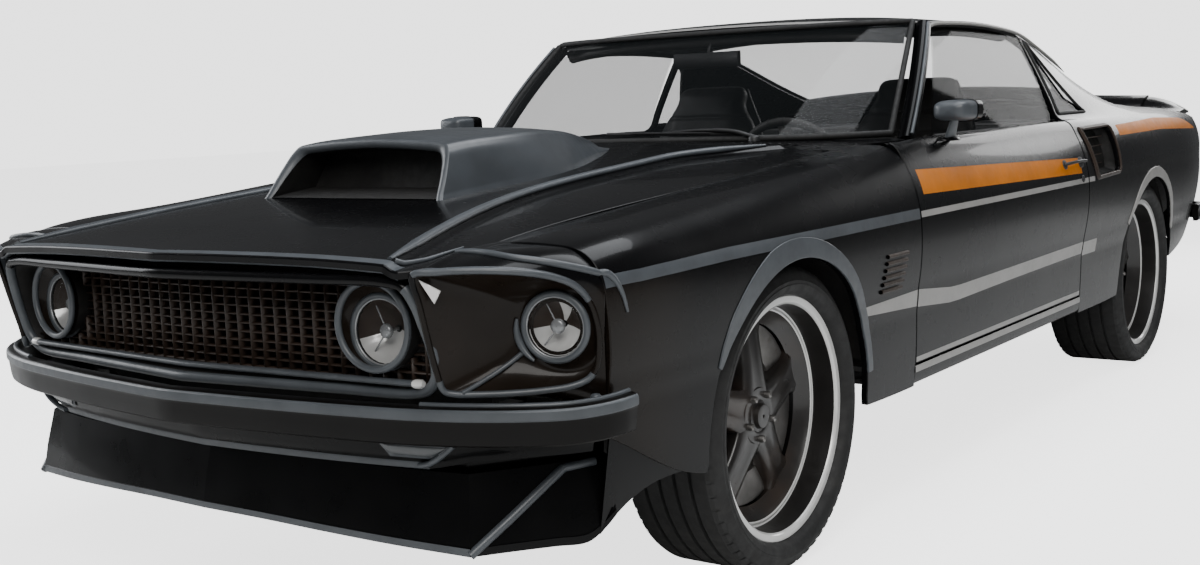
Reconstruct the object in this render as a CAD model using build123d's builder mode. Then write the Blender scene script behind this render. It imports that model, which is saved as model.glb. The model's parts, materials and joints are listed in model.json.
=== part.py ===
"""Two-door fastback muscle car, full size, as an assembly of separate parts.

Frame: +Z up, ground at Z = 0, the nose faces -Y, the car's left side is +X.
The origin is at the centre of the overall box, on the ground.
The tables give Y as the distance behind the front axle; yy() shifts it to the frame.
All sizes are in millimetres.
"""
from build123d import *
import math
import os

os.makedirs("parts", exist_ok=True)

# ---------------------------------------------------------------- driving sizes
WHEELBASE = 2743.0
Y0 = -1380.0                     # front axle in the frame
AXLE_Z = 337.0
TYRE_R, RIM_R = 337.0, 272.0
TYRE_W_F, TYRE_W_R = 245.0, 275.0
WHEEL_X = 741.0                  # wheel centre planes
ARCH_R = 358.0                   # wheel opening in the panels
LINER_F, LINER_R = 404.0, 384.0  # wheelhouse radii
SKIN = 10.0                      # panel wall
KINGPIN_X, KINGPIN_R = 668.0, 10.0
SPINDLE_R = 20.0
RUN = 0.05                       # running clearance of pins and spindles
FENDER_END = 631.5               # rear edge of the fender
DOOR_F, DOOR_R = 640.0, 1953.5   # door front and rear edges
QUARTER_F = 1963.0               # front edge of the quarter panel
SILL_TOP, DOOR_BOTTOM, BELT = 347.0, 355.0, 910.0
DOOR_INNER = 775.0               # inner face of the door
HOOD_REAR, COWL_F = 518.0, 528.5
DECK_F, DECK_R = 3030.0, 3688.0  # trunk lid front and rear edges
HINGE_PIN_R = 6.0
DOOR_HINGE_X, DOOR_HINGE_Y = 862.0, 718.5
DOOR_ARMS = (520.0, 690.0)       # bottoms of the two hinge arms
ARM_H = 25.0
HOOD_HINGE_Y, HOOD_HINGE_Z, HOOD_HINGE_X = 440.0, 867.0, 596.0
TRUNK_HINGE_Y, TRUNK_HINGE_Z, TRUNK_HINGE_X = 3110.0, 934.0, 560.0

# ---------------------------------------------------------------- body side
# Y: then X,Z of bottom edge, low crease lower, low crease upper, shoulder, top roll, top inner edge
SIDE = {
    -700: ((842, 455), (850, 500), (856, 545), (872, 728), (806, 788), (634, 792)),
    -450: ((858, 330), (866, 496), (872, 545), (884, 733), (812, 812), (644, 816)),
    0:    ((866, 303), (873, 492), (879, 545), (888, 735), (818, 846), (660, 852)),
    450:  ((868, 298), (876, 490), (881, 545), (890, 735), (820, 884), (676, 890)),
    632:  ((868, 296), (876, 488), (881, 545), (890, 735), (820, 902), (682, 906)),
    1200: ((869, 296), (878, 488), (885, 545), (898, 735), (822, 910), (790, 912)),
    1963: ((870, 296), (880, 488), (889, 545), (905, 735), (838, 918), (806, 926)),
    2350: ((872, 298), (885, 490), (893, 545), (907, 735), (866, 906), (800, 934)),
    2743: ((873, 320), (887, 490), (895, 545), (908, 735), (868, 904), (792, 936)),
    3022: ((870, 350), (882, 490), (891, 545), (902, 735), (864, 902), (782, 936)),
    3350: ((856, 400), (870, 490), (878, 545), (889, 735), (850, 900), (770, 926)),
    3700: ((800, 480), (815, 505), (824, 545), (838, 735), (806, 890), (742, 904)),
}
# greenhouse behind the door: Y; rail X,Z; edge of the rear glass X,Z; centre Z
GREEN = {
    1963: ((664, 1214), (588, 1240), 1262),
    2180: ((660, 1165), (584, 1196), 1220),
    2450: ((656, 1088), (578, 1122), 1152),
    2750: ((652, 1008), (572, 1040), 1072),
    3022: ((648, 950), (566, 978), 998),
}
# hood, roof and trunk lid: Y; edge X,Z; mid X,Z; centre Z
HOOD = {
    -940: ((626, 764), (400, 776), 782),
    -700: ((626, 792), (410, 808), 812),
    0:    ((652, 852), (410, 872), 874),
    518:  ((672, 896), (410, 914), 920),
    900:  ((672, 930), (410, 948), 954),
}
ROOF = {
    1110: ((640, 1222), (400, 1244), 1254),
    1300: ((658, 1236), (400, 1266), 1278),
    1560: ((666, 1238), (400, 1270), 1286),
    1800: ((667, 1228), (400, 1262), 1276),
    1961: ((664, 1214), (400, 1250), 1262),
}
DECK = {
    3030: ((556, 974), (300, 986), 992),
    3400: ((620, 944), (300, 956), 962),
    3688: ((640, 922), (300, 934), 940),
}
DECK_EDGE = {3022: (566, 978), 3350: (620, 944), 3700: (648, 918)}   # gutter beside the trunk lid
# front bumper and air dam: X, front Y, bottom Z, top Z
BUMPER_F = ((0, -1000, 448, 520), (300, -968, 448, 520), (580, -925, 450, 520), (780, -846, 456, 520))
BUMPER_TIP = ((780, -846), (884, -762), (906, -650))
BUMPER_R = ((0, 3760, 455, 525), (500, 3756, 455, 525), (760, 3742, 457, 525))
DAM = ((0, -915, 236), (340, -898, 236), (660, -850, 236), (790, -640, 200))
VALANCE = ((0, -930), (330, -900), (640, -850), (834, -706))
# lamps: X, Y of the back, Z, radius
LAMP_OUT, LAMP_IN = (786.0, -735.0, 652.0, 84.0), (490.0, -842.0, 652.0, 82.0)
# nose opening: bottom and top of the surround
SURR_BOT, SURR_TOP, SURR_X = 532.0, 746.0, 622.0


def yy(v):
    return v + Y0


def between(table, y):
    """A row of a table at y, along a straight line between its neighbours."""
    keys = sorted(table)
    lo = max([k for k in keys if k <= y] or [keys[0]])
    hi = min([k for k in keys if k >= y] or [keys[-1]])
    t = 0 if hi == lo else (y - lo) / (hi - lo)

    def mix(a, b):
        return tuple(mix(p, q) for p, q in zip(a, b)) if isinstance(a, tuple) else a + (b - a) * t

    return mix(table[lo], table[hi])


def inward(pts, t):
    """Offset of an open outline, which runs upwards on +X, to its inner side by t."""
    out = []
    for i, (x, z) in enumerate(pts):
        normals = []
        for a, b in ((i - 1, i), (i, i + 1)):
            if a >= 0 and b < len(pts):
                dx, dz = pts[b][0] - pts[a][0], pts[b][1] - pts[a][1]
                l = math.hypot(dx, dz)
                normals.append((-dz / l, dx / l))
        nx, nz = sum(n[0] for n in normals), sum(n[1] for n in normals)
        l = math.hypot(nx, nz)
        nx, nz = nx / l, nz / l
        k = t / max(0.4, nx * normals[0][0] + nz * normals[0][1])
        out.append((x + nx * k, z + nz * k))
    return out


def band(outer, t=SKIN):
    """Closed outline of a wall of thickness t inside an outer outline."""
    return list(outer) + list(reversed(inward(outer, t)))


def side(y, z_from=None, last=6):
    """The body side's outline at y, from z_from upwards."""
    pts = list(between(SIDE, y))[:last]
    if z_from is not None:
        low = [p for p in pts if p[1] <= z_from][-1]
        high = [p for p in pts if p[1] > z_from][0]
        t = (z_from - low[1]) / (high[1] - low[1])
        pts = [(low[0] + (high[0] - low[0]) * t, z_from)] + [p for p in pts if p[1] > z_from]
    return pts


def crown(row, inset=0.0):
    """Outline of a crowned panel across the car."""
    (xe, ze), (xm, zm), zc = row
    xe -= inset
    return [(-xe, ze), (-xm, zm), (0, zc), (xm, zm), (xe, ze)]


def slab(row, t, inset=0.0):
    top = crown(row, inset)
    return top + [(x, z - t) for x, z in reversed(top)]


def across(y):
    """The plane across the car at y behind the front axle: local X is X, local Y is Z."""
    return Plane.XZ.offset(-yy(y))


def along(x):
    """The plane along the car at x: local X is Y, local Y is Z."""
    return Plane.YZ.offset(x)


def face_on(plane, pts):
    with BuildSketch(plane) as s:
        with BuildLine():
            Polyline(*pts, close=True)
        make_face()
    return s.sketch.faces()[0]


def disc_on(plane, centres, r):
    with BuildSketch(plane) as s:
        with Locations(*centres):
            Circle(r)
    return s.sketch.faces()


def prism(plane, pts, amount, mode=Mode.ADD, both=False):
    extrude(face_on(plane, pts), amount=amount, dir=plane.z_dir, mode=mode, both=both)


def rod(plane, centres, r, amount, mode=Mode.ADD, both=False):
    for f in disc_on(plane, centres, r):
        extrude(f, amount=amount, dir=plane.z_dir, mode=mode, both=both)


def ruled(stations, plane_of):
    loft([face_on(plane_of(s), pts) for s, pts in stations], ruled=True)


def block(x0, x1, y0, y1, z0, z1, mode=Mode.ADD):
    """A box between two corners, Y behind the front axle."""
    with Locations(((x0 + x1) / 2, yy((y0 + y1) / 2), (z0 + z1) / 2)):
        Box(abs(x1 - x0), y1 - y0, z1 - z0, mode=mode)


def save(part, label):
    part.label = label
    export_step(part, f"parts/{label}.step")


def save_pair(part, name):
    """Writes the left piece and its mirror image on the right."""
    save(part, f"left_{name}")
    with BuildPart() as other:
        mirror(part, about=Plane.YZ)
    save(other.part, f"right_{name}")


def save_both_sides(part, label):
    """Writes the left piece and its mirror image as one node of separate solids."""
    with BuildPart() as pair:
        add(part)
        mirror(part, about=Plane.YZ)
    save(pair.part, label)


# ---------------------------------------------------------------- front fenders
with BuildPart() as fender:
    ruled([(y, band(side(y))) for y in (-700, -450, 0, 450, FENDER_END)], across)
    rod(along(700), [(yy(0), AXLE_Z)], ARCH_R, 300, Mode.SUBTRACT)
save_pair(fender.part, "front_fender")

# ---------------------------------------------------------------- lamp pods at the ends of the fenders
POD = {-930: ((632, 545), (820, 548), (828, 600), (838, 716), (790, 772), (632, 765)),
       -703: ((632, 505), (848, 505), (855, 545), (872, 728), (806, 788), (632, 792))}
POD_FACE = Plane(origin=(615, yy(-925), 765), x_dir=Vector(245, 125, 0), z_dir=Vector(-29375, 57575, 13475))
with BuildPart() as pod:
    ruled(sorted(POD.items()), across)
    split(bisect_by=POD_FACE, keep=Keep.TOP)
    rod(across(-700), [(LAMP_OUT[0], LAMP_OUT[2])], 72, 300, Mode.SUBTRACT)
    rod(across(LAMP_OUT[1]), [(LAMP_OUT[0], LAMP_OUT[2])], 86, 260, Mode.SUBTRACT)
save_both_sides(pod.part, "fender_extensions")

with BuildPart() as headlamps:
    for x, y, z, r in (LAMP_OUT, LAMP_IN):
        for f in disc_on(across(y), [(x, z), (-x, z)], r):
            extrude(f, amount=52, dir=(0, -1, 0))
save(headlamps.part, "headlamps")


# ---------------------------------------------------------------- grille surround and grille
def nose_y(x, z):
    """Front of the nose: a shallow V in plan, leaning forward at the top."""
    return -1000 + abs(x) * 0.118 + (SURR_TOP - z) * 0.27


SURR_BACK = -848
with BuildPart() as surround:
    for s in (1, -1):
        for z0, z1 in ((738, SURR_TOP), (SURR_BOT, 542)):
            ruled([(s * x, [(yy(nose_y(x, z0)), z0), (yy(nose_y(x, z1)), z1), (yy(SURR_BACK), z1), (yy(SURR_BACK), z0)])
                   for x in (0, SURR_X)], along)
        prism(along(s * 604), [(yy(nose_y(613, 543)), 543), (yy(nose_y(613, 737)), 737),
                               (yy(SURR_BACK), 737), (yy(SURR_BACK), 543)], s * 18)
save(surround.part, "grille_surround")

with BuildPart() as grille:
    block(-622, 622, -840, -832, SURR_BOT, SURR_TOP)
    with BuildSketch(across(-836)) as cells:
        with Locations((0, 648)):
            with GridLocations(40, 34, 30, 5):
                Rectangle(30, 24)
    extrude(cells.sketch, amount=20, dir=(0, -1, 0), both=True, mode=Mode.SUBTRACT)
save(grille.part, "grille")

with BuildPart() as radiator:
    block(-616, 616, -720, -700, 340, 740)
    block(-340, 340, -700, -640, 350, 700)
    for s in (1, -1):
        block(s * 376, s * 444, -760, -640, 320, 404, Mode.SUBTRACT)
save(radiator.part, "radiator_support")


# ---------------------------------------------------------------- bumpers
def blade(rows, s, back, depth=26):
    """A bumper blade between rows of X, outer Y, bottom Z, top Z; back is +1 where the car is behind it."""
    ruled([(s * x, [(yy(yf + back * 8), z0), (yy(yf), z0 + 16), (yy(yf), z1 - 14), (yy(yf + back * 8), z1),
                    (yy(yf + back * depth), z1), (yy(yf + back * depth), z0)]) for x, yf, z0, z1 in rows], along)


with BuildPart() as bumper_f:
    for s in (1, -1):
        blade(BUMPER_F, s, 1)
        (xa, ya), (xb, yb), (xc, yc) = BUMPER_TIP
        prism(Plane.XY.offset(464), [(s * xa, yy(ya)), (s * xb, yy(yb)), (s * xc, yy(yc)), (s * (xc - 26), yy(yc)),
                                     (s * (xb - 26), yy(yb + 14)), (s * xa, yy(ya + 26))], 54)
        block(s * 380, s * 420, -928, -843, 462, 498)
save(bumper_f.part, "front_bumper")

with BuildPart() as bumper_r:
    for s in (1, -1):
        blade(BUMPER_R, s, -1)
        prism(Plane.XY.offset(462), [(s * 760, yy(3742)), (s * 846, yy(3720)), (s * 868, yy(3560)),
                                     (s * 852, yy(3560)), (s * 828, yy(3702)), (s * 826, yy(3713)), (s * 760, yy(3716))], 58)
        block(s * 380, s * 420, 3712.5, 3731, 482, 518)
save(bumper_r.part, "rear_bumper")

# ---------------------------------------------------------------- front valance and air dam
with BuildPart() as valance:
    for s in (1, -1):
        ruled([(s * x, [(yy(y + 24), 385), (yy(y), 442), (yy(y + 14), 442), (yy(y + 38), 385)]) for x, y in VALANCE], along)
save(valance.part, "front_valance")

with BuildPart() as dam:
    for s in (1, -1):
        ruled([(s * x, [(yy(y - 6), z), (yy(y + 26), 384), (yy(y + 38), 384), (yy(y + 8), z)]) for x, y, z in DAM], along)
save(dam.part, "front_air_dam")

# ---------------------------------------------------------------- hood
with BuildPart() as hood:
    ruled([(y, slab(between(HOOD, y), 12)) for y in (-940, -700, 0, HOOD_REAR)], across)
    for s in (1, -1):
        # front lip, a shallow V in plan
        ruled([(s * x, [(yy(yf), 768), (yy(yf), 780), (yy(-939), zt), (yy(-939), zt - 12)])
               for x, yf, zt in ((0, -1000, 782), (410, -956, 775.5), (624, -941, 764.1))], along)
        # hinge lug under the rear corner
        prism(along(s * (HOOD_HINGE_X - 7)), [(yy(HOOD_HINGE_Y - 14), HOOD_HINGE_Z - 13), (yy(HOOD_HINGE_Y + 14), HOOD_HINGE_Z - 13),
              (yy(HOOD_HINGE_Y + 14), HOOD_HINGE_Z + 22), (yy(HOOD_HINGE_Y - 14), HOOD_HINGE_Z + 20)], s * 14)
        rod(along(s * (HOOD_HINGE_X - 10)), [(yy(HOOD_HINGE_Y), HOOD_HINGE_Z)], HINGE_PIN_R + RUN, s * 20, Mode.SUBTRACT)
save(hood.part, "hood")


def hood_z(x, y):
    (xe, ze), (xm, zm), zc = between(HOOD, y)
    return zc + (zm - zc) * abs(x) / xm


# scoop: Y, half width at the foot, half width at the top, top Z
SCOOP = ((-400, 300, 222, 958), (-330, 306, 232, 976), (-100, 318, 236, 984), (0, 300, 220, 980), (300, 170, 130, 948), (428, 96, 70, 922))
with BuildPart() as scoop:
    ruled([(y, [(-w, hood_z(w, y) + .3), (0, hood_z(0, y) + .3), (w, hood_z(w, y) + .3), (t, z), (0, z + 6), (-t, z)])
           for y, w, t, z in SCOOP], across)
    prism(across(-330), [(-262, 872), (262, 872), (200, 948), (-200, 948)], 90, Mode.SUBTRACT)
save(scoop.part, "hood_scoop")

# ---------------------------------------------------------------- cowl, firewall, dashboard
GLASS_FOOT = ((0, 600), (400, 648), (620, 760), (700, 885))    # windshield base, X and Y
GLASS_HEAD = ((0, 1084), (400, 1100), (560, 1140), (632, 1196))
with BuildPart() as cowl:
    ruled([(y, slab(((x, z), (410, z1), z2), 8)) for y, x, z, z1, z2 in
           ((COWL_F, 674, 897, 915, 921), (632, 681, 904, 922, 928), (888, 764, 912, 940, 948))], across)
    keep = [(x, yy(y + 6)) for x, y in GLASS_FOOT] + [(708, yy(920)), (-708, yy(920))] + [(-x, yy(y + 6)) for x, y in reversed(GLASS_FOOT[1:])]
    prism(Plane.XY.offset(850), keep, 150, Mode.SUBTRACT)
save(cowl.part, "cowl_panel")

with BuildPart() as firewall:
    block(-714, 714, 560, 572, 325, 880)
    block(-145, 145, 550, 580, 320, 478, Mode.SUBTRACT)
    for s in (1, -1):
        # bracket that carries the hood's hinge pin
        prism(along(s * (HOOD_HINGE_X + 10)), [(yy(432), 867), (yy(448), 867), (yy(452), 790), (yy(560), 790), (yy(560), 740), (yy(428), 740)], s * 12)
        rod(along(s * (HOOD_HINGE_X + 10)), [(yy(HOOD_HINGE_Y), HOOD_HINGE_Z)], 8, s * 12)
        rod(along(s * (HOOD_HINGE_X - 7)), [(yy(HOOD_HINGE_Y), HOOD_HINGE_Z)], HINGE_PIN_R, s * 20)
save(firewall.part, "firewall")

with BuildPart() as dash:
    prism(along(-690), [(yy(574), 690), (yy(574), 880), (yy(700), 886), (yy(800), 872), (yy(836), 840), (yy(826), 700)], 1380)
    # column bracket and bearing sleeve for the steering shaft
    with BuildSketch(Plane(origin=(370, yy(820), 742), x_dir=(1, 0, 0), z_dir=(0, math.cos(math.radians(22)), math.sin(math.radians(22))))) as sleeve:
        Circle(26)
    extrude(sleeve.sketch, amount=110)
    extrude(sleeve.sketch, amount=-60)
    with BuildSketch(Plane(origin=(370, yy(820), 742), x_dir=(1, 0, 0), z_dir=(0, math.cos(math.radians(22)), math.sin(math.radians(22))))) as shaft_hole:
        Circle(10 + RUN)
    extrude(shaft_hole.sketch, amount=111, mode=Mode.SUBTRACT)
    extrude(shaft_hole.sketch, amount=-20, mode=Mode.SUBTRACT)
save(dash.part, "dashboard")

COLUMN = Plane(origin=(370, yy(820), 742), x_dir=(1, 0, 0), z_dir=(0, math.cos(math.radians(22)), math.sin(math.radians(22))))
with BuildPart() as wheel:
    with BuildSketch(COLUMN) as shaft:
        Circle(10)
    extrude(shaft.sketch, amount=170)
    with BuildSketch(COLUMN.offset(130)) as hub:
        Circle(34)
    extrude(hub.sketch, amount=40)
    with BuildSketch(COLUMN.offset(150)) as spokes:
        with PolarLocations(0, 3, start_angle=90):
            with Locations((92, 0)):
                Rectangle(190, 30)
    extrude(spokes.sketch, amount=8)
    with BuildSketch(COLUMN.offset(142)) as rim_ring:
        Circle(192)
        Circle(168, mode=Mode.SUBTRACT)
    extrude(rim_ring.sketch, amount=24)
save(wheel.part, "steering_wheel")

# ---------------------------------------------------------------- hinge pillars with the door hinges
with BuildPart() as pillar:
    prism(across(560), [(722, 348), (850, 348), (862, 545), (868, 725), (800, 868), (722, 868)], -67)
    for z in DOOR_ARMS:
        px, py = DOOR_HINGE_X, DOOR_HINGE_Y
        prism(Plane.XY.offset(z), [(742, yy(600)), (764, yy(600)), (764, yy(py - 9)), (px, yy(py - 9)), (px, yy(py + 9)), (742, yy(py + 9))], ARM_H)
        rod(Plane.XY.offset(z), [(px, yy(py))], 11, ARM_H)
        rod(Plane.XY.offset(z - 18), [(px, yy(py))], HINGE_PIN_R, ARM_H + 36)
save_both_sides(pillar.part, "hinge_pillars")

# ---------------------------------------------------------------- doors with glass and mirrors
with BuildPart() as door:
    def door_outline(y, inner):
        pts = [p for p in side(y, DOOR_BOTTOM, 5)][:-1]
        top = between(SIDE, y)[4]
        return pts + [(top[0] - 2, BELT), (inner, BELT), (inner, DOOR_BOTTOM)]
    ruled([(y, door_outline(y, DOOR_INNER)) for y in (DOOR_F, 1200, DOOR_R)], across)
    prism(Plane.XY.offset(300), [(740, yy(DOOR_R - 5)), (930, yy(DOOR_R + 4)), (930, yy(DOOR_R + 30)), (740, yy(DOOR_R + 30))], 700, Mode.SUBTRACT)
    for z in DOOR_ARMS:
        block(740, DOOR_HINGE_X + 16, 620, 745, z - 6, z + ARM_H + 6, Mode.SUBTRACT)
        rod(Plane.XY.offset(z - 26), [(DOOR_HINGE_X, yy(DOOR_HINGE_Y))], HINGE_PIN_R + RUN, ARM_H + 52, Mode.SUBTRACT)
    # hollow between the skins, open to the cabin side
    block(DOOR_INNER - 10, DOOR_INNER + 70, 830, 1880, 430, 820, Mode.SUBTRACT)
save_pair(door.part, "door")

GLASS_LEAN = Plane(origin=(797, 0, BELT), x_dir=(0, 1, 0), z_dir=Vector(300, 0, 129))
with BuildPart() as door_glass:
    prism(GLASS_LEAN, [(yy(936), 4), (yy(1946), 4), (yy(1946), 318), (yy(1560), 330), (yy(1300), 326), (yy(1222), 318)], -5)
save_pair(door_glass.part, "door_glass")

with BuildPart() as mirror_cup:
    rod(across(900), [(884, 985)], 44, -110)
    prism(along(838), [(yy(905), 905), (yy(945), 905), (yy(955), 965), (yy(915), 965)], 30)
    prism(across(915), [(806, 911), (862, 911), (868, 925), (806, 921)], -36)
save_pair(mirror_cup.part, "mirror")

# ---------------------------------------------------------------- windshield, its frame and the roof
with BuildPart() as windshield:
    def ring(pts, t):
        front = [(-x, yy(y)) for x, y in reversed(pts[1:])] + [(x, yy(y)) for x, y in pts]
        return front + [(x * 0.988, y + t) for x, y in reversed(front)]
    loft([face_on(Plane.XY.offset(932), ring(GLASS_FOOT, 9)), face_on(Plane.XY.offset(1238), ring(GLASS_HEAD, 9))], ruled=True)
save(windshield.part, "windshield")

with BuildPart() as frame_l:
    loft([face_on(Plane.XY.offset(916), [(712, yy(900)), (746, yy(900)), (746, yy(930)), (712, yy(930))]),
          face_on(Plane.XY.offset(1204), [(632, yy(1210)), (660, yy(1210)), (660, yy(1236)), (632, yy(1236))])], ruled=True)
with BuildPart() as ws_frame:
    add(frame_l.part)
    mirror(frame_l.part, about=Plane.YZ)
    block(-560, 560, 1124, 1160, 1194, 1210)
save(ws_frame.part, "windshield_frame")

with BuildPart() as roof:
    ruled([(y, slab(ROOF[y], 14)) for y in sorted(ROOF)], across)
    head = [(x, yy(y + 13)) for x, y in GLASS_HEAD] + [(700, yy(1260)), (700, yy(1000)), (-700, yy(1000)), (-700, yy(1260))]
    prism(Plane.XY.offset(1150), head + [(-x, yy(y + 13)) for x, y in reversed(GLASS_HEAD[1:])], 200, Mode.SUBTRACT)
save(roof.part, "roof_panel")

with BuildPart() as rear_glass:
    def back_row(y):
        rail, edge, zc = between(GREEN, y)
        return ((edge[0] - 8, edge[1]), (300, edge[1] + (zc - edge[1]) * 0.75), zc)
    ruled([(y, slab(back_row(y), 6)) for y in (1968, 2180, 2450, 2750, 2850)], across)
save(rear_glass.part, "rear_glass")

with BuildPart() as filler:
    ruled([(y, slab(back_row(y), 8)) for y in (2856, 3019)], across)
    block(-556, 556, 2440, 3000, 890, 900)
    block(-556, 556, 3000, 3010, 850, 960)
    for s in (1, -1):
        # bracket that carries the trunk lid's hinge pin
        prism(along(s * (TRUNK_HINGE_X - 39)), [(yy(3102), 934), (yy(3118), 934), (yy(3122), 850), (yy(3010), 850), (yy(3010), 872), (yy(3098), 872)], s * 12)
        rod(along(s * (TRUNK_HINGE_X - 39)), [(yy(TRUNK_HINGE_Y), TRUNK_HINGE_Z)], 10, s * 12)
        rod(along(s * (TRUNK_HINGE_X - 55)), [(yy(TRUNK_HINGE_Y), TRUNK_HINGE_Z)], HINGE_PIN_R, s * 20)
save(filler.part, "rear_shelf")

# ---------------------------------------------------------------- quarter panels with the sail panels
with BuildPart() as quarter:
    def quarter_outline(y):
        return band(list(between(SIDE, y)) + [between(GREEN, y)[0], between(GREEN, y)[1]])
    ruled([(y, quarter_outline(y)) for y in (QUARTER_F, 2180, 2450, 2750, 3022)], across)
    ruled([(y, band(list(between(SIDE, y)) + [between(DECK_EDGE, y)])) for y in (3022, 3350, 3700)], across)
    rod(along(700), [(yy(WHEELBASE), AXLE_Z)], ARCH_R, 300, Mode.SUBTRACT)
    # quarter window
    prism(along(600), [(yy(1985), 944), (yy(2256), 944), (yy(2236), 966), (yy(1995), 1186), (yy(1985), 1190)], 215, Mode.SUBTRACT)
    # closed front edge behind the door
    prism(across(QUARTER_F + 10), [(DOOR_INNER, SILL_TOP + 3), (868, SILL_TOP + 3), (876, 488), (885, 545), (900, 735), (830, 912), (DOOR_INNER, 920)], 10)
    # air scoop behind the door, a shallow recess
    prism(along(893), [(yy(2010), 890), (yy(2040), 745), (yy(2290), 750), (yy(2275), 892)], 40, Mode.SUBTRACT)
save_pair(quarter.part, "quarter_panel")

with BuildPart() as quarter_glass:
    def sail_x(y, z):
        belt, rail = between(SIDE, y)[5], between(GREEN, y)[0]
        return belt[0] + (rail[0] - belt[0]) * (z - belt[1]) / (rail[1] - belt[1]) - 3
    ruled([(y, [(sail_x(y, z0), z0), (sail_x(y, z1), z1), (sail_x(y, z1) - 5, z1 - 2), (sail_x(y, z0) - 5, z0 - 2)])
           for y, z0, z1 in ((1987, 948, 1186), (2238, 948, 962))], across)
save_both_sides(quarter_glass.part, "quarter_glass")

# ---------------------------------------------------------------- trunk lid and spoiler
with BuildPart() as trunk:
    ruled([(y, slab(DECK[y], 14)) for y in sorted(DECK)], across)
    block(-630, 630, 3670, 3686, 760, 925)
    for s in (1, -1):
        prism(along(s * (TRUNK_HINGE_X - 55)), [(yy(TRUNK_HINGE_Y - 14), TRUNK_HINGE_Z - 13), (yy(TRUNK_HINGE_Y + 14), TRUNK_HINGE_Z - 13),
              (yy(TRUNK_HINGE_Y + 14), TRUNK_HINGE_Z + 30), (yy(TRUNK_HINGE_Y - 14), TRUNK_HINGE_Z + 30)], s * 14)
        rod(along(s * (TRUNK_HINGE_X - 58)), [(yy(TRUNK_HINGE_Y), TRUNK_HINGE_Z)], HINGE_PIN_R + RUN, s * 20, Mode.SUBTRACT)
save(trunk.part, "trunk_lid")

def deck_z(x, y):
    (xe, ze), (xm, zm), zc = between(DECK, y)
    return zc + (zm - zc) * x / xm if x <= xm else zm + (ze - zm) * (x - xm) / (xe - xm)


with BuildPart() as spoiler:
    for s in (1, -1):
        ruled([(s * x, [(yy(3560), deck_z(x, 3560) + 2), (yy(3668), deck_z(x, 3668) + 56), (yy(3714), deck_z(x, 3668) + 58),
                        (yy(3714), deck_z(x, 3668) + 44), (yy(3684), deck_z(x, 3684) + 2)]) for x in (0, 300, 628)], along)
save(spoiler.part, "rear_spoiler")

# ---------------------------------------------------------------- tail
with BuildPart() as tail:
    prism(across(3712), [(-806, 480), (806, 480), (820, 545), (832, 735), (806, 890), (742, 904), (652, 914), (640, 752), (-640, 752),
                         (-652, 914), (-742, 904), (-806, 890), (-832, 735), (-820, 545)], 11)
    # lower panel under the bumper
    prism(across(3712), [(-760, 380), (760, 380), (806, 480), (-806, 480)], 11)
save(tail.part, "tail_panel")

with BuildPart() as lamps_r:
    with BuildSketch(across(3713)) as lens:
        with Locations((0, 650)):
            with GridLocations(1200, 0, 2, 1):
                with GridLocations(170, 0, 2, 1):
                    Rectangle(150, 100)
    extrude(lens.sketch, amount=12, dir=(0, 1, 0))
save(lamps_r.part, "tail_lamps")


# ---------------------------------------------------------------- rockers, floors and wheelhouses
with BuildPart() as rocker:
    def rocker_outline(y):
        x = side(y, SILL_TOP)[0][0]
        return [(766, 296), (between(SIDE, y)[0][0], 296), (x, SILL_TOP), (766, SILL_TOP)]
    ruled([(y, rocker_outline(y)) for y in (FENDER_END + 1, 1200, 1962)], across)
save_both_sides(rocker.part, "rocker_panels")

FLOOR_SECTION = [(-764, 300), (-764, 312), (-160, 312), (-126, 470), (126, 470), (160, 312), (764, 312), (764, 300),
                 (148, 300), (116, 458), (-116, 458), (-148, 300)]
with BuildPart() as floor:
    prism(across(2330), FLOOR_SECTION, 1757)
save(floor.part, "floor_pan")

with BuildPart() as trunk_floor:
    prism(along(-575), [(yy(2331), 300), (yy(2341), 300), (yy(2371), 560), (yy(2990), 560), (yy(3040), 430), (yy(3678), 430),
                        (yy(3678), 440), (yy(3047), 440), (yy(2997), 570), (yy(2361), 570)], 1150)
    block(-130, 130, 2320, 2380, 280, 466, Mode.SUBTRACT)
    block(394, 406, 3590, 3650, 372, 431)
    rod(along(380), [(yy(3620), 396)], 12, 40, Mode.SUBTRACT)
save(trunk_floor.part, "trunk_floor")


def wheelhouse(y, r, x0, x1, z0, z_wall):
    """Half ring of wall over a wheel with an inner side wall."""
    rod(along(x0), [(yy(y), AXLE_Z)], r + 8, x1 - x0)
    rod(along(x0 + 8), [(yy(y), AXLE_Z)], r, x1 - x0, Mode.SUBTRACT)
    block(x0 - 5, x1 + 5, y - r - 20, y + r + 20, -200, z0, Mode.SUBTRACT)
    block(x0 - 5, x0 + 9, y - r + 30, y + r - 30, z0 - 1, z_wall, Mode.SUBTRACT)


with BuildPart() as house_f:
    wheelhouse(0, LINER_F, 441, 848, 402, 402)
with BuildPart() as house_r:
    wheelhouse(WHEELBASE, LINER_R, 577, 852, 380, 400)
with BuildPart() as houses:
    add(house_f.part)
    add(house_r.part)
save_both_sides(houses.part, "wheelhouses")

# ---------------------------------------------------------------- front rails, crossmember, engine and drive line
with BuildPart() as rail:
    block(380, 440, -843, 559, 325, 400)
    prism(along(380), [(yy(-843), 380), (yy(-843), 498), (yy(-831), 498), (yy(-760), 400), (yy(-760), 380)], 40)
    block(394, 406, -800, -740, 262, 326)
    rod(along(380), [(yy(-770), 290)], 12, 40, Mode.SUBTRACT)
with BuildPart() as front_frame:
    add(rail.part)
    mirror(rail.part, about=Plane.YZ)
    # crossmember under the engine
    block(-440, 440, -55, 55, 205, 324.5)
save(front_frame.part, "front_frame")

with BuildPart() as engine:
    prism(across(400), [(-130, 330), (130, 330), (300, 600), (230, 700), (150, 770), (-150, 770), (-230, 700), (-300, 600)], 640)
save(engine.part, "engine_block")

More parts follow.
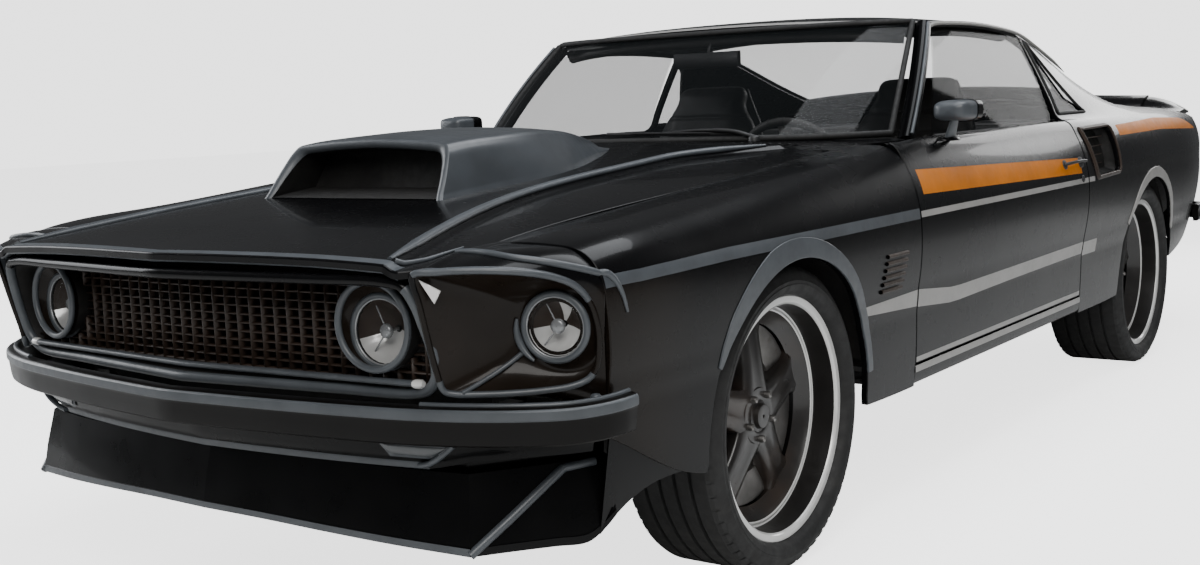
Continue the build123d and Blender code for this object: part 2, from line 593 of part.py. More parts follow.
with BuildPart() as drive:
    rod(across(1100), [(0, 370)], 74, 400)
    rod(across(401), [(0, 385)], 60, -300)
    rod(across(1100), [(0, 355)], 30, -1515)
save(drive.part, "gearbox_and_shaft")

# ---------------------------------------------------------------- front suspension arms and knuckles
with BuildPart() as arm:
    for z0, z1, half, x0 in ((205, 227, 52, 441), (455, 475, 70, 450)):
        prism(Plane.XY.offset(z0), [(x0, yy(-half)), (KINGPIN_X, yy(-28)), (KINGPIN_X, yy(28)), (x0, yy(half))], z1 - z0)
        rod(Plane.XY.offset(z0), [(KINGPIN_X, yy(0))], 28, z1 - z0)
        rod(Plane.XY.offset(z0 - 1), [(KINGPIN_X, yy(0))], KINGPIN_R + RUN, z1 - z0 + 2, Mode.SUBTRACT)

with BuildPart() as knuckle:
    block(KINGPIN_X - 20, KINGPIN_X + 22, -30, 30, 232, 450)
    rod(Plane.XY.offset(203), [(KINGPIN_X, yy(0))], KINGPIN_R, 274)
    rod(along(KINGPIN_X + 20), [(yy(0), AXLE_Z)], SPINDLE_R, 84)
save_pair(knuckle.part, "knuckle")

# ---------------------------------------------------------------- rear axle, springs, exhaust, tank
with BuildPart() as axle:
    rod(along(-600), [(yy(WHEELBASE), AXLE_Z)], 38, 1200)
    rod(along(-772), [(yy(WHEELBASE), AXLE_Z)], SPINDLE_R, 1544)
    with Locations((0, yy(WHEELBASE), AXLE_Z)):
        Sphere(120)
    rod(across(2640), [(0, 350)], 45, 24)
save(axle.part, "rear_axle")

with BuildPart() as spring:
    prism(along(492), [(yy(2090), 286), (yy(2400), 262), (yy(2700), 258), (yy(2786), 258), (yy(3080), 290), (yy(3400), 352),
                       (yy(3400), 372), (yy(3080), 312), (yy(2786), 296), (yy(2700), 296), (yy(2400), 284), (yy(2090), 299)], 60)
    block(502, 542, 3370, 3400, 360, 429)
with BuildPart() as suspension:
    add(arm.part)
    add(spring.part)
save_both_sides(suspension.part, "suspension")

with BuildPart() as exhaust:
    rod(across(760), [(0 + 250, 262)], 27, -2970)
    rod(across(1650), [(250, 232)], 62, -480)
save_both_sides(exhaust.part, "exhaust")

with BuildPart() as tank:
    block(-190, 190, 3080, 3560, 300, 429)
    fillet(tank.edges().filter_by(Axis.Z), 40)
save(tank.part, "fuel_tank")

# ---------------------------------------------------------------- seats
SEAT = [(1180, 420), (1170, 540), (1260, 560), (1560, 520), (1640, 640), (1740, 1060), (1790, 1100), (1860, 1080), (1850, 1000), (1740, 560), (1700, 420)]
with BuildPart() as seat:
    prism(along(160), [(yy(y), z) for y, z in SEAT], 470)
    block(200, 600, 1260, 1660, 312, 421)
save_both_sides(seat.part, "front_seats")

with BuildPart() as rear_seat:
    for s in (1, -1):
        prism(along(s * 165), [(yy(2000), 313), (yy(1990), 450), (yy(2050), 500), (yy(2260), 480), (yy(2330), 560), (yy(2400), 830), (yy(2438), 885),
                               (yy(2438), 600), (yy(2356), 572), (yy(2322), 313)], s * 405)
save(rear_seat.part, "rear_seat")


# ---------------------------------------------------------------- wheels
def tyre_profile(w):
    h = w / 2
    return [(-h + 22, RIM_R), (-h + 4, 286), (-h, 306), (-h + 12, 329), (-h + 26, TYRE_R),
            (h - 26, TYRE_R), (h - 12, 329), (h, 306), (h - 4, 286), (h - 22, RIM_R)]


def rim_profile(w):
    """Half section of the rim in X (outboard +) and radius, hub to flange."""
    h = w / 2 - 22
    return [(-34, SPINDLE_R + RUN), (22, SPINDLE_R + RUN), (22, 62), (4, 70), (2, 200), (20, 248), (h - 8, 252), (h, 262), (h, RIM_R),
            (-h, RIM_R), (-h, 258), (0, 256), (-14, 244), (-12, 76), (-34, 62)]


def turned(profile, x, y, s):
    spin = Plane(origin=(x, yy(y), AXLE_Z), x_dir=(s, 0, 0), z_dir=(0, -s, 0))
    revolve(face_on(spin, profile), axis=Axis((x, yy(y), AXLE_Z), (1, 0, 0)))


for end, y, w in (("front", 0, TYRE_W_F), ("rear", WHEELBASE, TYRE_W_R)):
    for hand, s in (("left", 1), ("right", -1)):
        with BuildPart() as tyre:
            turned(tyre_profile(w), s * WHEEL_X, y, s)
        save(tyre.part, f"{end}_{hand}_tyre")
        with BuildPart() as rim:
            turned(rim_profile(w), s * WHEEL_X, y, s)
        save(rim.part, f"{end}_{hand}_wheel")
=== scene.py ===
"""Muscle car: the looks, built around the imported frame. Metres, row frame: nose -Y, car's left +X, +Z up.
Section tables give Y behind the front axle; Y0 shifts them to the frame."""
import bpy
import json
import math
import numpy as np
from mathutils import Vector, Matrix
from mathutils.geometry import delaunay_2d_cdt


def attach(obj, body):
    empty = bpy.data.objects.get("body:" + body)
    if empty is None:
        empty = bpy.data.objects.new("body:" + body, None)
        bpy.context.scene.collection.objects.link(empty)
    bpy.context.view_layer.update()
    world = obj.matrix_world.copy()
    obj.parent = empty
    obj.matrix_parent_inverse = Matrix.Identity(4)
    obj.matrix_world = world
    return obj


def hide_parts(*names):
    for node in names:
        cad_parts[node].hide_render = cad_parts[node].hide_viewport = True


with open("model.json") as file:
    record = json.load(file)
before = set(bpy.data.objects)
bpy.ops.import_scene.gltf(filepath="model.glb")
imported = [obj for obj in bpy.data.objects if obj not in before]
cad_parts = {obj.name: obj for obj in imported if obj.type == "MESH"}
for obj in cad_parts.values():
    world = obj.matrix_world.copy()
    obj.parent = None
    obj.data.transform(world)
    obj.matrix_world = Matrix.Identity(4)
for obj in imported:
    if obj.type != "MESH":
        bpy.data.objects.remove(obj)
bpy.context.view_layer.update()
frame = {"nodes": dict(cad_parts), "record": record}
NODES = frame["nodes"]
Y0 = -1.380
WHEELBASE, AXLE_Z, TYRE_R = 2.743, 0.337, 0.337
V = np.array

# =====================================================================================================
# numbers: splines, profiles, surfaces
# =====================================================================================================


def natural(xs, ys):
    """Natural cubic spline through the rows of ys at xs."""
    xs = V(xs, float)
    ys = V(ys, float).reshape(len(xs), -1)
    n, h = len(xs), np.diff(xs)
    A, r = np.zeros((n, n)), np.zeros((n, ys.shape[1]))
    A[0, 0] = A[-1, -1] = 1
    for i in range(1, n - 1):
        A[i, i - 1], A[i, i], A[i, i + 1] = h[i - 1], 2 * (h[i - 1] + h[i]), h[i]
        r[i] = 3 * ((ys[i + 1] - ys[i]) / h[i] - (ys[i] - ys[i - 1]) / h[i - 1])
    c = np.linalg.solve(A, r)
    b = (ys[1:] - ys[:-1]) / h[:, None] - h[:, None] * (2 * c[:-1] + c[1:]) / 3
    d = (c[1:] - c[:-1]) / (3 * h[:, None])

    def f(x):
        x = np.atleast_1d(V(x, float))
        i = np.clip(np.searchsorted(xs, x) - 1, 0, n - 2)
        t = (x - xs[i])[:, None]
        return ys[i] + t * (b[i] + t * (c[i] + t * d[i]))
    return f


def rounded(pts, soft, bulge, seg=10, arc=8):
    """A profile through pts, its corners eased over the distance soft[i], its segments crowned by bulge[i]."""
    pts = V(pts, float)
    n = len(pts)

    def chord(i, t):
        a, b = pts[i], pts[i + 1]
        d = b - a
        l = np.linalg.norm(d)
        nrm = V([-d[1], d[0]]) / max(l, 1e-9)
        p = a + d * t - nrm * bulge[i] * 4 * t * (1 - t)
        v = d - nrm * bulge[i] * 4 * (1 - 2 * t)
        return p, v / np.linalg.norm(v)

    out = []
    cuts = []
    for i in range(n - 1):
        l = np.linalg.norm(pts[i + 1] - pts[i])
        t0 = 0 if i == 0 else min(0.48, soft[i] / l)
        t1 = 1 if i == n - 2 else 1 - min(0.48, soft[i + 1] / l)
        cuts.append((t0, t1))
    for i in range(n - 1):
        t0, t1 = cuts[i]
        for k in range(seg + 1):
            out.append(chord(i, t0 + (t1 - t0) * k / seg)[0])
        if i < n - 2:
            p0, v0 = chord(i, t1)
            p3, v3 = chord(i + 1, cuts[i + 1][0])
            d = np.linalg.norm(p3 - p0) * 0.39
            p1, p2 = p0 + v0 * d, p3 - v3 * d
            for k in range(1, arc):
                t = k / arc
                out.append(p0 * (1 - t) ** 3 + 3 * p1 * t * (1 - t) ** 2 + 3 * p2 * t * t * (1 - t) + p3 * t ** 3)
    return V(out)


class Skin:
    """A smooth surface: P[u, v] on a grid of u (Y behind the axle, or any) and v (running length across)."""

    def __init__(self, us, P, flip=False):
        self.u, self.P = V(us, float), V(P, float)
        mid = self.P[len(us) // 2]
        self.v = np.concatenate([[0], np.cumsum(np.linalg.norm(np.diff(mid, axis=0), axis=1))])
        du = np.gradient(self.P, self.u, axis=0)
        dv = np.gradient(self.P, self.v, axis=1)
        N = np.cross(du, dv)
        N /= np.maximum(np.linalg.norm(N, axis=2, keepdims=True), 1e-12)
        self.N = -N if flip else N

    def _mix(self, A, uv):
        u, v = uv[:, 0], uv[:, 1]
        i = np.clip(np.searchsorted(self.u, u) - 1, 0, len(self.u) - 2)
        j = np.clip(np.searchsorted(self.v, v) - 1, 0, len(self.v) - 2)
        a = np.clip((u - self.u[i]) / (self.u[i + 1] - self.u[i]), 0, 1)[:, None]
        b = np.clip((v - self.v[j]) / (self.v[j + 1] - self.v[j]), 0, 1)[:, None]
        return (A[i, j] * (1 - a) + A[i + 1, j] * a) * (1 - b) + (A[i, j + 1] * (1 - a) + A[i + 1, j + 1] * a) * b

    def at(self, uv):
        uv = np.atleast_2d(V(uv, float))
        P = self._mix(self.P, uv)
        N = self._mix(self.N, uv)
        return P, N / np.maximum(np.linalg.norm(N, axis=1, keepdims=True), 1e-12)

    def row(self, u):
        i = int(np.clip(np.searchsorted(self.u, u) - 1, 0, len(self.u) - 2))
        a = min(max((u - self.u[i]) / (self.u[i + 1] - self.u[i]), 0), 1)
        return self.P[i] * (1 - a) + self.P[i + 1] * a

    def v_of(self, u, axis, value, last=False):
        """v where the row at u has that coordinate, the first such place, or the last."""
        c = self.row(u)[:, axis] - value
        k = np.where(c[:-1] * c[1:] <= 0)[0]
        if len(k) == 0:
            return self.v[0] if abs(c[0]) < abs(c[-1]) else self.v[-1]
        k = k[-1] if last else k[0]
        t = c[k] / (c[k] - c[k + 1]) if c[k] != c[k + 1] else 0
        return self.v[k] + (self.v[k + 1] - self.v[k]) * t


def resample(loop, step, closed=True):
    """Points along a polyline at about that spacing, keeping its corners."""
    loop = [V(p, float) for p in loop]
    out = []
    n = len(loop)
    for i in range(n if closed else n - 1):
        a, b = loop[i], loop[(i + 1) % n]
        k = max(1, int(math.ceil(np.linalg.norm(b - a) / step)))
        out += [a + (b - a) * j / k for j in range(k)]
    if not closed:
        out.append(loop[-1])
    return V(out)


def inside(poly, pts):
    """Even-odd test of points in a polygon."""
    poly, pts = V(poly, float), np.atleast_2d(V(pts, float))
    x, y = pts[:, 0], pts[:, 1]
    res = np.zeros(len(pts), bool)
    a, b = poly, np.roll(poly, -1, axis=0)
    for (x0, y0), (x1, y1) in zip(a, b):
        if y0 == y1:
            continue
        cond = ((y0 <= y) & (y < y1)) | ((y1 <= y) & (y < y0))
        res ^= cond & (x < x0 + (y - y0) * (x1 - x0) / (y1 - y0))
    return res


def far_from(loops, pts, d):
    """Which points are further than d from every loop's segments."""
    keep = np.ones(len(pts), bool)
    for loop in loops:
        a, b = V(loop), np.roll(V(loop), -1, axis=0)
        for p, q in zip(a, b):
            w = q - p
            l2 = max(float(w @ w), 1e-12)
            t = np.clip(((pts - p) @ w) / l2, 0, 1)
            keep &= np.hypot(*(pts - p - t[:, None] * w).T) > d
    return keep


def area2(loop):
    x, y = V(loop).T
    return 0.5 * float(np.sum(x * np.roll(y, -1) - np.roll(x, -1) * y))


# =====================================================================================================
# meshes
# =====================================================================================================
PIECES = {}


class Build:
    """Collects faces with their own corner normals, and makes one mesh object."""

    def __init__(self):
        self.v, self.f, self.n, self.m = [], [], [], []
        self.count = 0

    def add(self, verts, faces, normals=None, mat=0, corner=None):
        """faces index verts; normals is per vertex; corner, if given, is per face corner."""
        base = self.count
        self.v.append(V(verts, float).reshape(-1, 3))
        self.count += len(self.v[-1])
        mats = mat if hasattr(mat, "__len__") else [mat] * len(faces)
        for k, f in enumerate(faces):
            self.f.append(tuple(int(i) + base for i in f))
            self.m.append(int(mats[k]))
            if corner is not None:
                self.n.append([tuple(c) for c in corner[k]])
            elif normals is not None:
                self.n.append([tuple(normals[i]) for i in f])
            else:
                self.n.append(None)
        return base

    def mirrored(self):
        other = Build()
        other.v = [a * V([-1, 1, 1]) for a in self.v]
        other.count = self.count
        other.f = [tuple(reversed(f)) for f in self.f]
        other.m = list(self.m)
        other.n = [None if c is None else [(-x, y, z) for x, y, z in reversed(c)] for c in self.n]
        return other

    def join(self, other):
        base = self.count
        self.v += other.v
        self.count += other.count
        self.f += [tuple(i + base for i in f) for f in other.f]
        self.m += other.m
        self.n += other.n
        return self

    def object(self, name, mats, body, slot, replaces=(), smooth_angle=None):
        verts = np.array(np.concatenate(self.v), float)
        # the foremost and rearmost few millimetres are eased back inside the car's length
        y = verts[:, 1]
        verts[:, 1] = np.where(y < -2.370, -2.370 + (y + 2.370) * .55, np.where(y > 2.3750, 2.3750 + (y - 2.3750) * .72, y))
        me = bpy.data.meshes.new(name)
        me.from_pydata([tuple(p) for p in verts], [], self.f)
        for m in mats:
            me.materials.append(m)
        me.polygons.foreach_set("material_index", self.m)
        me.polygons.foreach_set("use_smooth", [True] * len(self.f))
        me.update()
        if smooth_angle is not None:
            me.set_sharp_from_angle(angle=math.radians(smooth_angle))
        elif any(c is not None for c in self.n):
            flat = []
            for poly, c in zip(me.polygons, self.n):
                if c is None:
                    flat += [tuple(poly.normal)] * poly.loop_total
                else:
                    flat += c
            me.normals_split_custom_set(flat)
        ob = bpy.data.objects.new(name, me)
        bpy.context.scene.collection.objects.link(ob)
        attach(ob, body)
        if replaces:
            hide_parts(*replaces)
        PIECES[name] = ob
        return ob


def unit(a):
    a = V(a, float)
    return a / np.maximum(np.linalg.norm(a, axis=-1, keepdims=True), 1e-12)


def sheet_mesh(b, skin, outline, holes=(), step=0.03, vstep=None, r=0.003, flange=0.012, thick=None, mat=0, regions=(), loft=0.0,
               back=True, loop_step=0.012, keep_v=True, edge_mat=None, bend=None):
    """A panel cut from a skin: its outer face, a rounded edge of radius r, a flange and a back face.
    outline and holes are loops in (u, v). regions is (loop, material) for painted areas."""
    outline = V(outline, float)
    if area2(outline) < 0:
        outline = outline[::-1]
    loops = [resample(outline, loop_step)] + [resample(h if area2(h) < 0 else V(h)[::-1], loop_step) for h in holes]
    paint = [(resample(lp, loop_step * 1.5), m) for lp, m in regions]
    vs = skin.v
    if vstep is not None:
        vs = [skin.v[0]]
        for x in skin.v[1:]:
            if x - vs[-1] >= vstep:
                vs.append(x)
    (u0, v0), (u1, v1) = loops[0].min(0), loops[0].max(0)
    us = np.linspace(u0, u1, max(2, int((u1 - u0) / step) + 1))[1:-1]
    vs = V([x for x in vs if v0 < x < v1])
    grid = V([(x, y) for x in us for y in vs]).reshape(-1, 2)
    if len(grid):
        grid = grid[inside(loops[0], grid)]
        for h in loops[1:]:
            grid = grid[~inside(h, grid)]
        grid = grid[far_from(loops, grid, loop_step * 0.35)]
        if paint:
            grid = grid[far_from([p for p, _ in paint], grid, 0.002)]
    pts, edges = [], []
    spans = []
    for lp in loops + [p for p, _ in paint]:
        i0 = len(pts)
        pts += [tuple(p) for p in lp]
        edges += [(i0 + k, i0 + (k + 1) % len(lp)) for k in range(len(lp))]
        spans.append((i0, len(lp)))
    pts += [tuple(p) for p in grid]
    ov, oe, of, origin, _, _ = delaunay_2d_cdt([Vector(p) for p in pts], edges, [], 0, 1e-7)
    ov = V([tuple(p) for p in ov])
    tri = V([f for f in of if len(f) == 3])
    mid = ov[tri].mean(1)
    ok = inside(loops[0], mid)
    for h in loops[1:]:
        ok &= ~inside(h, mid)
    tri, mid = tri[ok], mid[ok]
    tmat = np.full(len(tri), mat)
    for lp, m in paint:
        tmat[inside(lp, mid)] = m
    where = {}
    for new, olds in enumerate(origin):
        for o in olds:
            where[o] = new
    P, N = skin.at(ov)
    if bend is not None:
        P, N = bend(P, N)
    if loft:
        P = P + N * loft
    # orientation of the triangles against the surface normal
    a, c, d = P[tri[:, 0]], P[tri[:, 1]], P[tri[:, 2]]
    turn = np.einsum("ij,ij->i", np.cross(c - a, d - a), N[tri[:, 0]]) < 0
    tri[turn] = tri[turn][:, ::-1]
    b.add(P, tri, N, tmat)
    if r <= 0 and not back:
        return
    em = mat if edge_mat is None else edge_mat
    depth = flange if thick is None else thick
    back_p = P - N * depth
    moved = {}
    for (i0, n), hole in zip(spans[:len(loops)], [False] + [True] * len(holes)):
        idx = V([where[i0 + k] for k in range(n)])
        L = P[np.roll(idx, -1)] - P[np.roll(idx, 1)]
        T = unit(np.cross(L, N[idx]))
        # outward side: away from the panel in (u, v)
        lp = ov[idx]
        t2 = np.roll(lp, -1, axis=0) - np.roll(lp, 1, axis=0)
        out2 = unit(np.stack([t2[:, 1], -t2[:, 0]], 1)) * 1e-3
        Q, _ = skin.at(lp + out2)
        Q0, _ = skin.at(lp)
        s = np.sign(np.einsum("ij,ij->i", T, Q - Q0))
        s[s == 0] = 1
        T = T * s[:, None]
        rows, norms = [P[idx]], [N[idx]]
        for k in (1, 2, 3):
            phi = math.pi / 2 * k / 3
            rows.append(P[idx] + T * r * math.sin(phi) - N[idx] * r * (1 - math.cos(phi)))
            norms.append(N[idx] * math.cos(phi) + T * math.sin(phi))
        rows.append(P[idx] + T * r - N[idx] * depth)
        norms.append(T)
        for q in range(4):
            quads, corners = [], []
            for k in range(n):
                k2 = (k + 1) % n
                f = (k, k2, n + k2, n + k)
                nn = (norms[q][k], norms[q][k2], norms[q + 1][k2], norms[q + 1][k])
                fn = np.cross(rows[q][k2] - rows[q][k], rows[q + 1][k] - rows[q][k])
                if fn @ (norms[q][k] + norms[q + 1][k]) < 0:
                    f, nn = f[::-1], nn[::-1]
                quads.append(f)
                corners.append(nn)
            b.add(np.concatenate([rows[q], rows[q + 1]]), quads, mat=em, corner=corners)
        for k in range(n):
            moved[int(idx[k])] = rows[4][k]
    if back:
        for i, p in moved.items():
            back_p[i] = p
        b.add(back_p, tri[:, ::-1], -N, em)


def tube(b, path, radius, sides=10, closed=False, mat=0, caps=True, squash=None):
    """A round (or flattened) bar along points."""
    path = V(path, float)
    n = len(path)
    T = unit(np.roll(path, -1, 0) - np.roll(path, 1, 0)) if closed else unit(np.gradient(path, axis=0))
    up = V([0, 0, 1.0]) if abs(T[0][2]) < 0.9 else V([1.0, 0, 0])
    X = unit(np.cross(up, T[0]))
    rows, norms = [], []
    rad = radius if hasattr(radius, "__len__") else [radius] * n
    for i in range(n):
        X = unit(X - T[i] * (X @ T[i]))
        Y = np.cross(T[i], X)
        ang = np.arange(sides) / sides * 2 * math.pi
        sx, sy = (1, 1) if squash is None else squash
        d = np.outer(np.cos(ang) * sx, X) + np.outer(np.sin(ang) * sy, Y)
        nn = unit(np.outer(np.cos(ang) / sx, X) + np.outer(np.sin(ang) / sy, Y))
        rows.append(path[i] + d * rad[i])
        norms.append(nn)
    verts, nv = np.concatenate(rows), np.concatenate(norms)
    faces = []
    for i in range(n if closed else n - 1):
        j = (i + 1) % n
        for k in range(sides):
            k2 = (k + 1) % sides
            faces.append((i * sides + k, i * sides + k2, j * sides + k2, j * sides + k))
    b.add(verts, faces, nv, mat)
    if caps and not closed:
        b.add(rows[0], [tuple(range(sides))[::-1]], [tuple(-T[0])] * sides, mat)
        b.add(rows[-1], [tuple(range(sides))], [tuple(T[-1])] * sides, mat)


def grid_faces(n, m, wrap_n=False, wrap_m=False):
    return [(i * m + j, i * m + (j + 1) % m, ((i + 1) % n) * m + (j + 1) % m, ((i + 1) % n) * m + j)
            for i in range(n if wrap_n else n - 1) for j in range(m if wrap_m else m - 1)]


def rows_mesh(b, rows, wrap=False, mat=0, sharp=None, out=None, caps=False):
    """A surface through rows of points. out is a point inside, so that normals face away from it."""
    rows = [V(r, float) for r in rows]
    n, m = len(rows), len(rows[0])
    verts = np.concatenate(rows)
    faces = grid_faces(n, m, False, wrap)
    A = V(rows)
    du = np.gradient(A, axis=0)
    if wrap:
        dv = np.roll(A, -1, 1) - np.roll(A, 1, 1)
    else:
        dv = np.gradient(A, axis=1)
    N = unit(np.cross(dv, du)).reshape(-1, 3)
    if out is not None:
        s = np.sign(np.sum((verts - V(out)) * N))
        if s < 0:
            N = -N
    f0 = faces[len(faces) // 2]
    fn = np.cross(verts[f0[1]] - verts[f0[0]], verts[f0[3]] - verts[f0[0]])
    if fn @ N[f0[0]] < 0:
        faces = [f[::-1] for f in faces]
    b.add(verts, faces, N if sharp is None else None, mat)
    if caps:
        for k, r in ((0, rows[0]), (-1, rows[-1])):
            d = unit(r.mean(0) - verts.mean(0))
            f = tuple(range(m))
            nn = np.cross(r[1] - r[0], r[2] - r[1])
            if nn @ d < 0:
                f = f[::-1]
            b.add(r, [f], [tuple(d)] * m, mat)


def lathe(b, profile, centre, side=1, steps=96, mat=0, start=0.0, span=2 * math.pi, mats=None):
    """Turns (x outboard, radius) round an X axis through centre; side is +1 for the car's left."""
    prof = V(profile, float)
    d = np.diff(prof, axis=0)
    rows = []
    ang = start + np.arange(steps) / steps * span
    # corner normals: smooth unless the profile turns by more than 35 degrees
    nseg = unit(np.stack([-d[:, 1], d[:, 0]], 1))
    verts, faces, corner, fm = [], [], [], []
    m = len(prof)
    cs, sn = np.cos(ang), np.sin(ang)
    for k in range(steps):
        verts.append(np.stack([centre[0] + side * prof[:, 0], centre[1] + prof[:, 1] * cs[k], centre[2] + prof[:, 1] * sn[k]], 1))
    verts = np.concatenate(verts)

    def nrm(seg, end):
        other = seg + (1 if end else -1)
        a = nseg[seg]
        if 0 <= other < len(nseg) and a @ nseg[other] > 0.80:
            return unit(a + nseg[other])
        return a
    for k in range(steps):
        k2 = (k + 1) % steps
        for j in range(m - 1):
            n0, n1 = nrm(j, False), nrm(j, True)
            f = (k * m + j, k * m + j + 1, k2 * m + j + 1, k2 * m + j)
            c = [(side * n0[0], n0[1] * cs[k], n0[1] * sn[k]), (side * n1[0], n1[1] * cs[k], n1[1] * sn[k]),
                 (side * n1[0], n1[1] * cs[k2], n1[1] * sn[k2]), (side * n0[0], n0[1] * cs[k2], n0[1] * sn[k2])]
            fn = np.cross(verts[f[1]] - verts[f[0]], verts[f[3]] - verts[f[0]])
            if np.linalg.norm(fn) < 1e-14:
                fn = np.cross(verts[f[2]] - verts[f[1]], verts[f[3]] - verts[f[1]])
            if fn @ V(c[0]) < 0:
                f, c = f[::-1], c[::-1]
            faces.append(f)
            corner.append(c)
            fm.append(mat if mats is None else mats[j])
    b.add(verts, faces, mat=fm, corner=corner)


# =====================================================================================================
# materials
# =====================================================================================================


def shade(name, base, rough=0.4, metal=0.0, coat=0.0, coat_rough=0.03, vary=0.12, vary_scale=6.0, rough_vary=0.15, bump=0.0,
          bump_scale=400.0, bump_dist=0.0004, fine=None, spec=0.5, sheen=0.0, grain="noise", stretch=(1, 1, 1), dirt=None):
    """A surface whose colour and gloss drift a little over it, with a fine relief. All of it from procedural noise."""
    m = bpy.data.materials.new(name)
    m.use_nodes = True
    nt = m.node_tree
    ns, ln = nt.nodes, nt.links
    p = ns["Principled BSDF"]
    p.inputs["Metallic"].default_value = metal
    p.inputs["Coat Weight"].default_value = coat
    p.inputs["Coat Roughness"].default_value = coat_rough
    p.inputs["Specular IOR Level"].default_value = spec
    if sheen:
        p.inputs["Sheen Weight"].default_value = sheen
        p.inputs["Sheen Roughness"].default_value = 0.5
    co = ns.new("ShaderNodeTexCoord")
    mp = ns.new("ShaderNodeMapping")
    mp.inputs["Scale"].default_value = stretch
    ln.new(co.outputs["Object"], mp.inputs["Vector"])
    n1 = ns.new("ShaderNodeTexNoise")
    n1.inputs["Scale"].default_value = vary_scale
    n1.inputs["Detail"].default_value = 5
    ln.new(mp.outputs["Vector"], n1.inputs["Vector"])
    ramp = ns.new("ShaderNodeValToRGB")
    lo, hi = [max(0.0, c * (1 - vary)) for c in base], [min(1.0, c * (1 + vary) + 0.0006) for c in base]
    ramp.color_ramp.elements[0].position = 0.3
    ramp.color_ramp.elements[1].position = 0.7
    ramp.color_ramp.elements[0].color = (*lo, 1)
    ramp.color_ramp.elements[1].color = (*hi, 1)
    ln.new(n1.outputs["Fac"], ramp.inputs["Fac"])
    last = ramp.outputs["Color"]
    if fine is not None:
        n2 = ns.new("ShaderNodeTexNoise")
        n2.inputs["Scale"].default_value = fine[0]
        n2.inputs["Detail"].default_value = 2
        ln.new(co.outputs["Object"], n2.inputs["Vector"])
        mx = ns.new("ShaderNodeMix")
        mx.data_type = "RGBA"
        mx.blend_type = "MIX"
        r2 = ns.new("ShaderNodeMapRange")
        r2.inputs["From Min"].default_value = fine[2] if len(fine) > 2 else 0.55
        r2.inputs["From Max"].default_value = (fine[2] if len(fine) > 2 else 0.55) + 0.15
        r2.inputs["To Max"].default_value = fine[3] if len(fine) > 3 else 1.0
        ln.new(n2.outputs["Fac"], r2.inputs["Value"])
        ln.new(r2.outputs["Result"], mx.inputs["Factor"])
        ln.new(last, mx.inputs["A"])
        mx.inputs["B"].default_value = (*fine[1], 1)
        last = mx.outputs["Result"]
    ln.new(last, p.inputs["Base Color"])
    rr = ns.new("ShaderNodeMapRange")
    rr.inputs["From Min"].default_value = 0.3
    rr.inputs["From Max"].default_value = 0.7
    rr.inputs["To Min"].default_value = rough * (1 - rough_vary)
    rr.inputs["To Max"].default_value = min(1.0, rough * (1 + rough_vary))
    n3 = ns.new("ShaderNodeTexNoise")
    n3.inputs["Scale"].default_value = vary_scale * 4.3
    n3.inputs["Detail"].default_value = 4
    ln.new(mp.outputs["Vector"], n3.inputs["Vector"])
    ln.new(n3.outputs["Fac"], rr.inputs["Value"])
    ln.new(rr.outputs["Result"], p.inputs["Roughness"])
    if bump:
        b = ns.new("ShaderNodeBump")
        b.inputs["Strength"].default_value = bump
        b.inputs["Distance"].default_value = bump_dist
        if grain == "cells":
            t = ns.new("ShaderNodeTexVoronoi")
            t.inputs["Scale"].default_value = bump_scale
            out = t.outputs["Distance"]
        elif grain == "rings":
            t = ns.new("ShaderNodeTexWave")
            t.inputs["Scale"].default_value = bump_scale
            t.inputs["Distortion"].default_value = 0.6
            out = t.outputs["Fac"]
        else:
            t = ns.new("ShaderNodeTexNoise")
            t.inputs["Scale"].default_value = bump_scale
            t.inputs["Detail"].default_value = 3
            out = t.outputs["Fac"]
        ln.new(mp.outputs["Vector"], t.inputs["Vector"])
        ln.new(out, b.inputs["Height"])
        ln.new(b.outputs["Normal"], p.inputs["Normal"])
    return m


def glass(name, tint, rough=0.01, alpha=0.22, spec=0.5):
    """Thin glazing: mostly see-through, glossier where it is seen edge on."""
    m = shade(name, tint, rough=0.03, vary=0.1, vary_scale=1.5, spec=spec, rough_vary=0.4)
    p = m.node_tree.nodes["Principled BSDF"]
    ns, ln = m.node_tree.nodes, m.node_tree.links
    fr = ns.new("ShaderNodeFresnel")
    fr.inputs["IOR"].default_value = 1.5
    rr = ns.new("ShaderNodeMapRange")
    rr.inputs["From Min"].default_value = 0.04
    rr.inputs["From Max"].default_value = 0.90
    rr.inputs["To Min"].default_value = alpha
    rr.inputs["To Max"].default_value = 0.38
    ln.new(fr.outputs["Fac"], rr.inputs["Value"])
    ln.new(rr.outputs["Result"], p.inputs["Alpha"])
    return m


